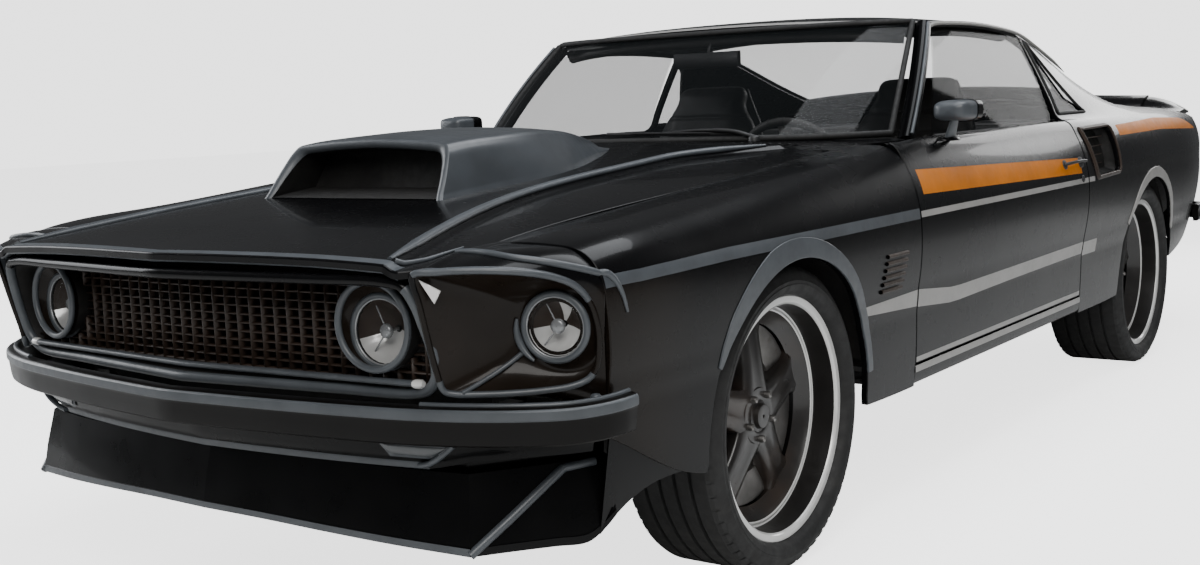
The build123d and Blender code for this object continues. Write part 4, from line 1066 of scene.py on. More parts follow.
# mouth: a thick rolled rim, and a throat that narrows and darkens
rk0 = MOUTH_TOP - MOUTH_FOOT
rim0 = scoop_row(MOUTH_TOP, rake=rk0)
rim1 = scoop_row(MOUTH_TOP, .020, .020, rake=rk0)
rim_h = scoop_row(MOUTH_TOP, .010, .010, rake=rk0)
rim_h[:, 1] -= .007
rows_mesh(scoop, [rim0, rim0 * .6 + rim_h * .4 + V([0, -.003, .001]), rim_h, rim1 * .6 + rim_h * .4 + V([0, -.002, -.001]), rim1], mat=1, out=(0, -.30 + Y0, .90))
deep = scoop_row(-.300, .034, .034, rake=.02)
d1 = rim1 * .5 + deep * .5
rows_mesh(scoop, [rim1, d1, deep], mat=2, out=(0, -.40 + Y0, 1.4))
c = deep.mean(0)
n = len(deep)
scoop.add(np.vstack([deep, [c]]), [(k, (k + 1) % n, n) for k in range(n)], mat=2)
floor_row = [(float(x), -.452 + Y0, hood_top(float(x), -.452) + .0015) for x in np.linspace(.262, -.262, 15)]
floor_m = [(float(x), -.40 + Y0, hood_top(float(x), -.40) + .004) for x in np.linspace(.258, -.258, 15)]
floor_b = [(float(x), -.300 + Y0, hood_top(float(x), -.300) + .006) for x in np.linspace(.250, -.250, 15)]
rows_mesh(scoop, [floor_row, floor_m, floor_b], mat=2, out=(0, -.38 + Y0, .5))
scoop.object("hood_scoop_cover", [M_SCOOP, M_SLATE, M_POCKET, M_MESH], "hood", "body_paint", ["hood_scoop"])

# ---- raised mouldings along the hood's ridges
mould = Build()
for s_ in (1, -1):
    line = []
    for y, x in rpts:
        P, N = HS.at([(y, HS.v_of(y, 0, s_ * x))])
        line.append(P[0] + N[0] * .0015)
    L_ = V(line)
    k_ = np.minimum(1, np.minimum(np.arange(len(L_)) / 3, (len(L_) - 1 - np.arange(len(L_))) / 3))
    tube(mould, L_, list(.0040 + .0060 * k_), 10, mat=0, squash=(1.25, .85))
for s_ in (1, -1):
    line = []
    for q in np.linspace(0, 1, 13):
        y = -.915 + .150 * q
        x = .575 + (.6035 - .575) * min(1, q / .35) ** .7
        P, N = HS.at([(y, HS.v_of(y, 0, s_ * x))])
        line.append(P[0] + N[0] * .001)
    tube(mould, line, [.0062 - .0042 * q for q in np.linspace(0, 1, 13)], 10, mat=0)
mould.object("hood_ridge_mouldings", [M_SLATE], "hood", "slate_trim")

# ---- roof
us = np.linspace(1.09, 1.965, 44)
ROOF_SKIN = crown_skin(us, ROOF, cols=36)
TS = ROOF_SKIN
gh = natural([0, .4, .56, .632], [[1.084], [1.100], [1.140], [1.196]])


def head_y(x):
    return float(np.interp(abs(x), [0, .2, .4, .48, .56, .60, .632, .66], [1.084, 1.0885, 1.100, 1.115, 1.140, 1.162, 1.196, 1.235]))


roof = Build()
front = [(head_y(x) + .015, x) for x in np.linspace(.655, -.655, 41)]
outline = [(y, TS.v_of(y, 0, x)) for y, x in front] + [(y, TS.v[-1]) for y in np.linspace(1.28, 1.94, 14)] + \
    [(1.9615, TS.v_of(1.9615, 0, x)) for x in np.linspace(-.66, .66, 21)] + [(y, TS.v[0]) for y in np.linspace(1.94, 1.28, 14)]
def roof_rim(y, s_):
    return TS.v[-1 if s_ < 0 else 0] * .995 + .005 * TS.v_of(y, 0, s_ * .5)


# painted highlight: light grey bands along the roof's edges
band_y = np.linspace(1.945, 1.275, 14)
front_x = np.linspace(.628, -.628, 41)
band_front = lambda x: 1.152 + .108 * (abs(x) / .628) ** 5
edge_bands = [([(y, roof_rim(y, 1)) for y in band_y] + [(head_y(x) + .0165, TS.v_of(head_y(x) + .0165, 0, x)) for x in np.linspace(.645, -.645, 41)] +
               [(y, roof_rim(y, -1)) for y in band_y[::-1]] + [(y, TS.v_of(y, 0, -.632)) for y in band_y] +
               [(band_front(x), TS.v_of(band_front(x), 0, x)) for x in front_x[::-1]] +
               [(y, TS.v_of(y, 0, .632)) for y in band_y[::-1]], GREY_HIGHLIGHT)]
sheet_mesh(roof, TS, outline, step=.03, r=.003, flange=.014, regions=edge_bands)
roof.object("roof_skin", BODY, "car_body", "body_paint", ["roof_panel"])

# ---- trunk lid
us = np.linspace(3.03, 3.69, 34)
DECK_SKIN = crown_skin(us, DECK, cols=36)
KS = DECK_SKIN
lid = Build()
outline = [(3.032, KS.v_of(3.032, 0, x)) for x in np.linspace(.553, -.553, 21)] + [(y, KS.v[-1]) for y in np.linspace(3.05, 3.67, 16)] + \
    [(3.688, KS.v_of(3.688, 0, x)) for x in np.linspace(-.638, .638, 21)] + [(y, KS.v[0]) for y in np.linspace(3.67, 3.05, 16)]
sheet_mesh(lid, KS, outline, step=.03, r=.004, flange=.014)
# its face, which drops into the tail panel
face = []
for t, z in enumerate((.936, .925, .90, .86, .82, .78, .762)):
    row = []
    for x in np.linspace(.632, -.632, 31):
        zt = float(KS.at([(3.686, KS.v_of(3.686, 0, x))])[0][0][2]) - .004
        zz = min(z, zt)
        yb = 3.690 + (.004 if 0 < t < 6 else 0) - .010 * max(0, (zz - .90) / .05)
        row.append((x, yb + Y0, zz))
    face.append(row)
rows_mesh(lid, face, mat=BLACK, out=(0, 3.0 + Y0, .85))
lid.object("trunk_lid_skin", BODY, "trunk_lid", "body_paint", ["trunk_lid"])
li = Build()
inner_panel(li, KS, 3.046, 3.664, .016, (.0, .30), (3.34,), .0075, .021)
face_in = []
for t, z in enumerate((.895, .87, .84, .80, .775, .7665)):
    face_in.append([(x, 3.678 - .010 * max(0, (min(z, .95) - .90) / .05) + Y0, z) for x in np.linspace(.618, -.618, 31)])
rows_mesh(li, face_in, mat=0, out=(0, 3.9 + Y0, .85))
rows_mesh(li, [face_in[-1], V(face_in[-1]) + V([0, .010, -.0015])], mat=0, out=(0, 3.68 + Y0, .90))
for s in (1, -1):
    arm_l = rounded([(3.098, .922), (3.122, .922), (3.160, .935), (3.160, .965), (3.090, .968), (3.098, .922)], [.008] * 6, [0] * 5, seg=3, arc=4)[:-1]
    rows_mesh(li, [[(x, y + Y0, z) for y, z in arm_l] for x in (s * .541, s * .550)], wrap=True, mat=0, out=(s * .545, 3.12 + Y0, .94), caps=True)
latch = [[(r * math.cos(a) * 1.8, 3.672 + Y0 - d, .800 + r * math.sin(a)) for a in np.linspace(0, 2 * math.pi, 25)[:-1]] for r, d in ((.016, -.002), (.0155, .012), (.012, .015), (.0006, .0155))]
rows_mesh(li, latch, wrap=True, mat=0, out=(0, 3.70 + Y0, .800))
li.object("trunk_lid_inner", [M_CHASSIS], "trunk_lid", "chassis_black")

# ---- windshield with its rubber
def glass_row(t, off=0.0, n=41):
    xs = np.linspace(-1, 1, n)
    foot_x, head_x = .700, .632
    rows = []
    for s in xs:
        xf, xh = foot_x * s, head_x * s
        fy = float(np.interp(abs(xf), [0, .2, .4, .52, .62, .665, .70], [.600, .611, .648, .690, .760, .812, .885]))
        hy = head_y(xh)
        bow = .010 * 4 * t * (1 - t)
        p0, p1 = V([xf, fy, .932]), V([xh, hy, 1.238])
        p = p0 + (p1 - p0) * t
        nrm = unit(V([p[0] * .5, -.55, .45]))
        rows.append(p + nrm * (bow + off) + V([0, Y0, 0]))
    return V(rows)


ws = Build()
tt = np.linspace(-.02, 1.0, 16)
rows_mesh(ws, [glass_row(t) for t in tt], out=(0, 1.2 + Y0, .9))
rows_mesh(ws, [glass_row(t, -.005) for t in tt], out=(0, .4 + Y0, 1.4))
ws.object("windshield_glass", [M_GLASS], "car_body", "clear_glass", ["windshield"])
gasket = Build()
for t, r in ((-.012, .0095), (1.0, .0085)):
    tube(gasket, glass_row(t, .001), r, 8, mat=0)
for s in (0, 40):
    tube(gasket, [glass_row(t, .002)[s] for t in np.linspace(-.012, 1.0, 18)], .0085, 8, mat=0)
gasket.object("windshield_seal", [M_RUBBER, M_SLATE], "car_body", "black_plastic")

# ---- windshield pillars and header rail
pil = Build()
rows = []
for t in np.linspace(0, 1, 20):
    c = V([.729, .915, .905]) * (1 - t) + V([.652, 1.222, 1.226]) * t + V([.010, -.006, .004]) * 4 * t * (1 - t)
    T = unit(V([.652 - .729, 1.222 - .915, 1.226 - .905]))
    X = unit(V([.93, -.25, .25]) - T * (T @ V([.93, -.25, .25])))
    Yv = np.cross(T, X)
    w, h = .021 + .002 * (1 - t), .020
    ang = np.linspace(0, 2 * math.pi, 25)[:-1]
    sq = [np.sign(math.cos(a)) * abs(math.cos(a)) ** .7 for a in ang], [np.sign(math.sin(a)) * abs(math.sin(a)) ** .7 for a in ang]
    rows.append([c + X * w * p + Yv * h * q + V([0, Y0, 0]) for p, q in zip(*sq)])
rows_mesh(pil, rows, wrap=True, mat=0, out=rows_mesh and tuple(V(rows).reshape(-1, 3).mean(0)), caps=True)
tube(pil, [tuple(V([.729, .915, .905]) * (1 - t) + V([.652, 1.222, 1.226]) * t + V([.010, -.006, .004]) * 4 * t * (1 - t)
                 + V([.021, -.012, .010]) + V([0, Y0, 0])) for t in np.linspace(.03, .985, 16)], .0052, 8, mat=1)
both(pil, "windshield_pillars", [M_BODY, M_SLATE], "car_body", "body_paint", ["windshield_frame"])
rail = Build()
tube(rail, [(x, head_y(x) + .045 + Y0, 1.212 - .02 * (abs(x) / .6) ** 3) for x in np.linspace(-.60, .60, 25)], .016, 10, mat=0)
rail.object("windshield_header", [M_VINYL], "car_body", "interior_vinyl")

# ---- drip rail over the door and along the roof
drip = Build()
line = [(.660, 1.205, 1.214), (.668, 1.26, 1.229), (.671, 1.34, 1.2345), (.674, 1.56, 1.236), (.674, 1.80, 1.226), (.671, 1.96, 1.212), (.668, 2.10, 1.183),
        (.667, 2.30, 1.130), (.664, 2.45, 1.0865)]
dl = natural(np.linspace(0, 1, len(line)), line)
pts = dl(np.linspace(0, 1, 60)) + V([0, Y0, 0])
tube(drip, pts, [.0062] * 52 + [.0062 - .0007 * k for k in range(8)], 8, mat=0)
both(drip, "drip_rails", [M_GREY_TRIM_AND_HIGHLIGHT], "car_body", "slate_trim")

# ---- door glass and its belt seals
LEAN = unit(V([-.129, 0, .300]))


def door_glass_point(y, s, off=0.0):
    """y behind the axle, s up the leaning glass from its foot at belt height."""
    nrm = unit(V([.300, 0, .129]))
    return V([.797, y + Y0, .910]) + LEAN * s + nrm * (off + .006 * math.sin(math.pi * min(max(s / .33, 0), 1)))


dg = Build()
top = [(1.232, .312), (1.300, .3245), (1.42, .3285), (1.560, .3285), (1.70, .3255), (1.85, .3205), (1.944, .3165)]
ft = natural([p[0] for p in top], [[p[1]] for p in top])


def glass_top(y):
    if y < 1.232:
        return .006 + (y - .938) / (1.232 - .938) * (.312 - .006)
    return float(ft(y)[0][0])


for off, fl in ((0, 1), (-.0045, -1)):
    rows = []
    for y in np.concatenate([np.linspace(.940, 1.232, 22), np.linspace(1.25, 1.944, 26)]):
        h = glass_top(y)
        rows.append([door_glass_point(y, h * q + .0, off) for q in np.linspace(0, 1, 12)])
    rows_mesh(dg, rows, out=(0, 1.4 + Y0, 1.0) if fl > 0 else (1.6, 1.4 + Y0, 1.2))
pair(dg, "door_window", [M_SIDEGLASS], ("left_door", "right_door"), "clear_glass", "door_glass")
seal = Build()
tube(seal, [door_glass_point(y, .004, .006) for y in np.linspace(.935, 1.948, 30)], .006, 8, mat=0)
tube(seal, [door_glass_point(y, .004, -.011) for y in np.linspace(.935, 1.948, 30)], .006, 8, mat=0)
pts = [door_glass_point(y, .012, .012) for y in np.linspace(.93, 1.950, 30)]
pair(seal, "door_belt_seal", [M_RUBBER], ("left_door", "right_door"), "black_plastic", None)

# =====================================================================================================
# nose
# =====================================================================================================


def nose_y(x, z):
    return -1.000 + abs(x) * .118 + (.746 - z) * .27


SURROUND = [(0, .7455), (.20, .7455), (.40, .7450), (.560, .7435), (.597, .735), (.614, .705), (.623, .660), (.628, .610), (.622, .570), (.600, .545),
            (.565, .5345), (.40, .5325), (.20, .5320), (0, .5320)]


def smooth_path(pts, n, tension=None):
    pts = V(pts, float)
    d = np.concatenate([[0], np.cumsum(np.linalg.norm(np.diff(pts, axis=0), axis=1))])
    return natural(d, pts)(np.linspace(0, d[-1], n))


def catmull(pts, per=8, closed=False):
    """A smooth line through points without overshoot."""
    pts = V(pts, float)
    n = len(pts)
    out = []
    for i in range(n if closed else n - 1):
        p0 = pts[i - 1] if (i > 0 or closed) else 2 * pts[0] - pts[1]
        p1, p2 = pts[i], pts[(i + 1) % n]
        p3 = pts[(i + 2) % n] if (i + 2 < n or closed) else 2 * pts[-1] - pts[-2]
        t01, t12, t23 = [max(np.linalg.norm(b - a), 1e-6) ** .5 for a, b in ((p0, p1), (p1, p2), (p2, p3))]
        m1 = (p2 - p1) + t12 * ((p1 - p0) / t01 - (p2 - p0) / (t01 + t12))
        m2 = (p2 - p1) + t12 * ((p3 - p2) / t23 - (p3 - p1) / (t12 + t23))
        for k in range(per):
            t = k / per
            out.append((2 * t ** 3 - 3 * t ** 2 + 1) * p1 + (t ** 3 - 2 * t ** 2 + t) * m1 + (-2 * t ** 3 + 3 * t ** 2) * p2 + (t ** 3 - t ** 2) * m2)
    if not closed:
        out.append(pts[-1])
    return V(out)


half = catmull(SURROUND, 8)
ring2d = np.vstack([half, half[1:-1][::-1] * V([-1, 1])])


def ring3(scale_x, dz, dy, r=ring2d):
    c = V([0, .639])
    q = (r - c) * V([scale_x, 1]) + c
    q[:, 1] = c[1] + (r[:, 1] - c[1]) * (1 - dz / .107)
    return V([(x, nose_y(x, z) + dy + Y0, z) for x, z in q])


sur = Build()
r0 = ring3(1.0, 0, 0)
n_r = len(r0)
tube(sur, r0[33:n_r - 32] + V([0, .004, 0]), .0105, 12, mat=0)
tube(sur, np.vstack([r0[n_r - 33:], r0[:34]]) + V([0, .004, 0]), .0105, 12, mat=2)
rows = [ring3(.998, .001, .004), ring3(.990, .010, .018), ring3(.984, .016, .045)]
back = ring3(.982, .018, .0)
back[:, 1] = -.858 + np.abs(back[:, 0]) * .03 + Y0
rows.append(back)
rows_mesh(sur, rows, wrap=True, mat=1, out=None)
# the funnel is seen from inside the opening
sur.object("grille_surround_ring", [M_SLATE, M_POCKET, M_BODY], "car_body", "slate_trim", ["grille_surround"])

mesh = Build()


def mesh_y(x):
    return -.870 + abs(x) * .035


def bar(b, pts, w, h, mat=0, up=(0, 0, 1)):
    """A flat blade along points: w deep (Y), h tall (Z)."""
    pts = V(pts, float)
    rows = []
    for p in pts:
        rows.append([p + V([0, -w / 2, -h / 2]), p + V([0, w / 2, -h / 2]), p + V([0, w / 2, h / 2]), p + V([0, -w / 2, h / 2])])
    verts = np.concatenate(rows)
    f = []
    for i in range(len(pts) - 1):
        for k in range(4):
            f.append((i * 4 + k, i * 4 + (k + 1) % 4, (i + 1) * 4 + (k + 1) % 4, (i + 1) * 4 + k))
    f += [(3, 2, 1, 0), tuple(len(verts) - 4 + k for k in range(4))]
    b.add(verts, f, mat=mat)


def half_width(z):
    zs, xs = half[:, 1], half[:, 0]
    c = [x for (x, zz) in half if abs(zz - z) < .012 and x > .3]
    return (max(c) if c else .60) * .972


LAMP_X, LAMP_Z, LAMP_R = .490, .652, .0835


def clear_of_lamp(z):
    """Half width of the lamp's opening in the grille at that height."""
    return math.sqrt(max(LAMP_R ** 2 - (z - LAMP_Z) ** 2, 0))


for z in np.arange(.551, .734, .0172):
    hw, g = half_width(z), clear_of_lamp(z)
    spans = [(-hw, hw)] if not g else [(-hw, -LAMP_X - g), (-LAMP_X + g, LAMP_X - g), (LAMP_X + g, hw)]
    for a_, b_ in spans:
        if b_ - a_ < .006:
            continue
        xs = np.linspace(a_, b_, max(3, int((b_ - a_) / .09)))
        if a_ < 0 < b_:
            xs = np.unique(np.append(xs, 0.0))
        bar(mesh, [(x, mesh_y(x) + Y0 + .001, z) for x in xs], .022, .0034, 0)
for k in range(-17, 18):
    x = k * .0345
    if abs(x) > .60:
        continue
    zb, zt = .541 + max(0, abs(x) - .56) * .3, .737 - max(0, abs(x) - .56) * .6
    w = .0034
    y = mesh_y(x) + Y0
    g = math.sqrt(max(LAMP_R ** 2 - (abs(x) - LAMP_X) ** 2, 0))
    for z0_, z1_ in ([(zb, zt)] if not g else [(zb, LAMP_Z - g), (LAMP_Z + g, zt)]):
        if z1_ - z0_ < .004:
            continue
        v = [(x - w / 2, y - .0125, z0_), (x + w / 2, y - .0125, z0_), (x + w / 2, y + .0125, z0_), (x - w / 2, y + .0125, z0_)]
        v += [(a, b_, z1_) for a, b_, _ in v]
        mesh.add(v, [(0, 1, 5, 4), (1, 2, 6, 5), (2, 3, 7, 6), (3, 0, 4, 7), (3, 2, 1, 0), (4, 5, 6, 7)], mat=0)
# dark board behind the mesh, open behind the lamps
for x0_, x1_, z0_, z1_ in ((-.60, -.576, .540, .738), (-.404, .404, .540, .738), (.576, .60, .540, .738), (-.576, -.404, .540, .5675), (-.576, -.404, .7365, .738),
                           (.404, .576, .540, .5675), (.404, .576, .7365, .738)):
    mesh.add([(x0_, -.846 + Y0, z0_), (x1_, -.846 + Y0, z0_), (x1_, -.846 + Y0, z1_), (x0_, -.846 + Y0, z1_)], [(0, 1, 2, 3)], mat=1)
mesh.object("grille_mesh", [M_MESH, M_POCKET], "car_body", "dark_mesh", ["grille"])
low_bar = Build()
xs = np.linspace(-.575, .575, 41)
tube(low_bar, [(x, -.925 + abs(x) * .075 + Y0, .5545) for x in xs], .0062, 10, mat=0, squash=(1.5, 1))
for s in (1, -1):
    tube(low_bar, [(s * .573, -.8829 + Y0, .5546), (s * .578, -.8823 + Y0, .5547), (s * .591, -.8806 + Y0, .5549), (s * .595, -.8800 + Y0, .5550)], [.0060, .0085, .0085, .0055], 10, mat=1, squash=(1.3, 1))
low_bar.object("grille_lower_bar", [M_SLATE, M_WHITE], "car_body", "slate_trim")


# ---- lamps: a bezel ring, a bowl with a painted highlight on its lower part and painted shade on its upper part, a bulb shield and domed glass
def round_lamp(b, c, axis, ring_r, ring, lens_r, deep, bright=((188, 352),)):
    """A round lamp facing along axis at c. bright: arcs of the bowl, in degrees, painted bright as a highlight; the
    rest of the bowl is painted dark as shade. Gives its glass.
    """
    axis = unit(V(axis, float))
    X = unit(np.cross(V([0, 0, 1.0]), axis))
    Z = np.cross(axis, X)
    c = V(c)

    def point(a, r, d):
        return c + X * (math.cos(a) * r) + Z * (math.sin(a) * r) + axis * d

    def circle(r, d, n=64):
        return V([point(a, r, d) for a in np.arange(n) / n * 2 * math.pi])
    tube(b, circle(ring_r, 0), ring, 12, closed=True, mat=0)
    rows_mesh(b, [circle(ring_r - ring * .7, .003), circle(lens_r * 1.02, -.002), circle(lens_r, -.004)], wrap=True, mat=1, out=tuple(c - axis))
    tube(b, circle(lens_r + .0012, .0015), .0022, 8, closed=True, mat=3)
    # bowl, in arcs: reflector colour as painted highlight, dark brown as painted shade
    cuts = sorted({math.radians(x) for p in bright for x in p} | {0.0, 2 * math.pi})
    for a0, a1 in zip(cuts[:-1], cuts[1:]):
        mid = math.degrees((a0 + a1) / 2)
        m = 2 if any(p[0] < mid < p[1] for p in bright) else 4
        arcs = np.linspace(a0, a1, max(3, int((a1 - a0) / .11)))
        rows = []
        for t in np.linspace(0, 1, 12):
            r = lens_r * math.sqrt(max(1 - t * .985, .001)) * .99
            rows.append([point(a, r * (1 - .018 * abs(math.sin(a * 12))), -.004 - deep * t) for a in arcs])
        rows_mesh(b, rows, mat=m, out=tuple(c + axis * 5))
    # bulb shield on a stalk
    rows_mesh(b, [circle(r, d, 32) for r, d in ((.0005, -.006), (.009, -.0065), (.0132, -.009), (.0142, -.014), (.011, -.020), (.0035, -.022), (.0035, -.003 - deep * .98))],
              wrap=True, mat=3, out=tuple(c + axis * .5 * -deep))
    # two thin struts that hold the shield
    for a in (math.radians(118), math.radians(232)):
        tube(b, [point(a, .012, -.014), point(a, lens_r * .93, -.016)], .0016, 6, mat=3)
    g = Build()
    rows_mesh(g, [circle(lens_r * math.sin(q) * .99 + .0004, .010 * math.cos(q) ** 1.2 + .001) for q in np.linspace(math.pi / 2, .02, 10)], wrap=True,
              out=tuple(c - axis))
    return g


lamps = Build()
glass_l = Build()
lamp_in, axis_in = V([.488, -.868 + Y0, .641]), V([.10, -1, .02])
glass_l.join(round_lamp(lamps, lamp_in, axis_in, .0675, .0066, .0600, .045, bright=((196, 344),)))
# the deeper bezel in front of the inner lamp, and the tube between them, in umber as painted shade
big = V([(.490 + .0800 * math.cos(a), -.894 + .0800 * math.cos(a) * .10 + Y0, .656 + .0810 * math.sin(a)) for a in np.linspace(0, 2 * math.pi, 65)[:-1]])
tube(lamps, big, .0068, 12, closed=True, mat=0)
ax_ = unit(axis_in)
LX_, = [unit(np.cross(V([0, 0, 1.0]), ax_))]
LZ_ = np.cross(ax_, LX_)
small = []
for p in big:
    q = p - V([.490, -.894 + Y0, .656])
    a = math.atan2(q @ LZ_, q @ LX_)
    small.append(lamp_in + LX_ * math.cos(a) * .0690 + LZ_ * math.sin(a) * .0690)
small = V(small)
rows_mesh(lamps, [big, big * .6 + small * .4 + V([0, .004, 0]), small], wrap=True, mat=5, out=None)
# shell behind the inner lamp
sh = [[(.490 + r * math.cos(a), y + Y0, .654 + r * .98 * math.sin(a)) for a in np.linspace(0, 2 * math.pi, 49)[:-1]]
      for r, y in ((.0860, -.890), (.0850, -.868), (.0820, -.851))]
rows_mesh(lamps, sh, wrap=True, mat=1, out=(.490, -.86 + Y0, .654))
lamp_out, axis_out = V([.786, -.737 + Y0, .648]), V([.30, -1, .02])
glass_l.join(round_lamp(lamps, lamp_out, axis_out, .0600, .0064, .0535, .042, bright=((52, 88), (186, 348))))
# the bracket beside the outer lamp
ax_ = unit(axis_out)
LX_ = unit(np.cross(V([0, 0, 1.0]), ax_))
LZ_ = np.cross(ax_, LX_)
br = [lamp_out + LX_ * math.cos(math.radians(a)) * .0725 + LZ_ * math.sin(math.radians(a)) * .0725 + ax_ * .006 for a in np.linspace(168, 236, 12)]
br_side = 1 if br[0][0] < lamp_out[0] else -1
if br_side < 0:
    br = [lamp_out - LX_ * math.cos(math.radians(a)) * .0725 + LZ_ * math.sin(math.radians(a)) * .0725 + ax_ * .006 for a in np.linspace(168, 236, 12)]
tube(lamps, br, [.0030 + .0042 * math.sin(math.pi * k / 11) for k in range(12)], 10, mat=0)
both(lamps, "headlamp_units", [M_SLATE, M_POCKET, M_REFLECT, M_BULB, M_MESH, M_UMBER_SHADE], "car_body", "lamp_glass", ["headlamps"])
both(glass_l, "headlamp_lenses", [M_LAMPGLASS], "car_body", "lamp_glass")

# ---- lamp pods
RIM = [(.634, -.936, .7585), (.668, -.918, .7625), (.712, -.893, .7640), (.752, -.863, .7620), (.790, -.825, .7560), (.820, -.785, .7450),
       (.842, -.748, .7250), (.853, -.720, .690), (.857, -.708, .650), (.855, -.703, .610), (.849, -.704, .578), (.838, -.712, .556), (.815, -.732, .5435),
       (.775, -.768, .5380), (.730, -.808, .5365), (.685, -.842, .5370), (.655, -.865, .5390), (.640, -.878, .5460), (.6345, -.888, .580), (.6335, -.905, .640),
       (.6335, -.922, .705)]
REAR = [(.636, -.7005, .7915), (.672, -.7005, .7915), (.715, -.7005, .7910), (.760, -.7005, .7895), (.800, -.7005, .7850), (.832, -.7005, .7690),
        (.855, -.7005, .7480), (.869, -.7000, .7200), (.8665, -.698, .670), (.862, -.695, .620), (.858, -.690, .575), (.853, -.684, .540), (.845, -.678, .508),
        (.790, -.700, .506), (.735, -.700, .505), (.690, -.700, .505), (.660, -.700, .505), (.640, -.700, .520), (.636, -.700, .580), (.636, -.700, .640),
        (.636, -.700, .705)]
rim_s, rear_s = catmull(RIM, 5, True), catmull(REAR, 5, True)
pod = Build()
rows, mats = [], []
for t in (0, .02, .055, .10, .17, .26, .36, .48, .60, .74, .87, 1.0):
    w = t
    p = rim_s * (1 - w) + rear_s * w
    swell = .010 * math.sin(math.pi * min(1, t * 1.0)) ** 1.0
    c = V([.735, 0, .64])
    d = (p - c) * V([1, 0, 1])
    d = d / np.linalg.norm(d, axis=1, keepdims=True)
    p = p + d * swell * np.clip((p[:, 2:3] - .60) / .1, 0, 1)
    rows.append(p + V([0, Y0, 0]))
# the pod's front band next to the rim is slate: a painted highlight along the eyebrow
rows_mesh(pod, rows[:4], wrap=True, mat=1, out=(.735, -.8 + Y0, .64))
rows_mesh(pod, rows[3:], wrap=True, mat=0, out=(.735, -.75 + Y0, .64))
# rolled rim: slate along its top and bottom as a painted highlight, black at its sides
rim_t = rim_s + V([0, Y0 + .001, 0])
tube(pod, rim_t[0:35], .0062, 10, mat=1)
tube(pod, rim_t[34:54], .0058, 10, mat=0)
tube(pod, rim_t[53:89], .0062, 10, mat=1)
tube(pod, np.vstack([rim_t[88:], rim_t[:1]]), .0058, 10, mat=0)
# bucket from the rim back to the lamp, and the pocket's back, in umber as painted shadow in the recess
lamp_c, lamp_ax = lamp_out, unit(axis_out)
LX = unit(np.cross(V([0, 0, 1.0]), lamp_ax))
LZ = np.cross(lamp_ax, LX)
seat = []
for p in rim_s:
    q = p + V([0, Y0, 0]) - lamp_c
    a = math.atan2(q @ LZ, q @ LX)
    seat.append(lamp_c + LX * math.cos(a) * .0640 + LZ * math.sin(a) * .0640 - lamp_ax * .004)
seat = V(seat)
rim_w = rim_s + V([0, Y0, 0])
bucket = []
for t in (0, .06, .2, .4, .6, .8, .93, 1.0):
    p = rim_w * (1 - t) + seat * t
    p[:, 1] += .020 * math.sin(math.pi * t)
    bucket.append(p)
inner_c = tuple(V([.72, -1.6 + Y0, .65]))
rows_mesh(pod, bucket, wrap=True, mat=2)
pocket_back = [seat, lamp_c + (seat - lamp_c) * .7 - lamp_ax * .004]
rows_mesh(pod, pocket_back, wrap=True, mat=2)
def pod_point(jf, t, out=.0):
    """A point of the pod's outer surface: jf along its rim, t from the rim back to the fender."""
    k = int(jf)
    f_ = jf - k
    a = rim_s[k] * (1 - f_) + rim_s[k + 1] * f_
    b_ = rear_s[k] * (1 - f_) + rear_s[k + 1] * f_
    p = a * (1 - t) + b_ * t
    d = unit((p - V([.735, 0, .64])) * V([1, 0, 1]))
    return p + d * (.010 * math.sin(math.pi * min(1, t)) * float(np.clip((p[2] - .60) / .1, 0, 1)) + out) + V([0, Y0, 0])


# raised line over the eyebrow that runs on into the fender's shoulder
ridge = [pod_point(j, t, .001) for j, t in ((0, .53), (5, .49), (10, .40), (15, .31), (20, .29), (25, .36), (28, .50), (30, .72), (31, .97))]
for y, z in ((-.690, .742), (-.676, .730), (-.658, .702), (-.645, .668)):
    P, N = SIDE_SKIN.at([(y, SIDE_SKIN.v_of(y, 2, z))])
    ridge.append(P[0] + N[0] * .001)
ridge = catmull(ridge, 5)
tube(pod, ridge, [.0068 if k < len(ridge) - 14 else .0068 - .0003 * (k - len(ridge) + 14) for k in range(len(ridge))], 10, mat=1)
# crease from the lower corner of the pocket up to the lamp
gen = [bucket[t_][78] for t_ in (0, 1, 2, 3, 4, 5, 6)]
tube(pod, [p + V([.001, -.003, .003]) for p in gen], .0048, 8, mat=1)
# white marker in the pocket's upper corner
wedge = V([(.6370, -.9230, .7500), (.6680, -.9020, .7290), (.6560, -.9060, .7060)]) + V([0, Y0, 0])
lift = V([.002, -.004, 0])
wc = wedge.mean(0)
top_w = wc + (wedge - wc) * .86 + lift
rows_mesh(pod, [wedge, wedge + lift * .7, top_w], wrap=True, mat=3, out=tuple(wc + V([0, .05, 0])))
pod.add(top_w, [(0, 1, 2)] if np.cross(top_w[1] - top_w[0], top_w[2] - top_w[0])[1] < 0 else [(0, 2, 1)], mat=3)
both(pod, "lamp_pods", [M_BODY, M_SLATE, M_UMBER_SHADE, M_WHITE], "car_body", "body_paint", ["fender_extensions"])


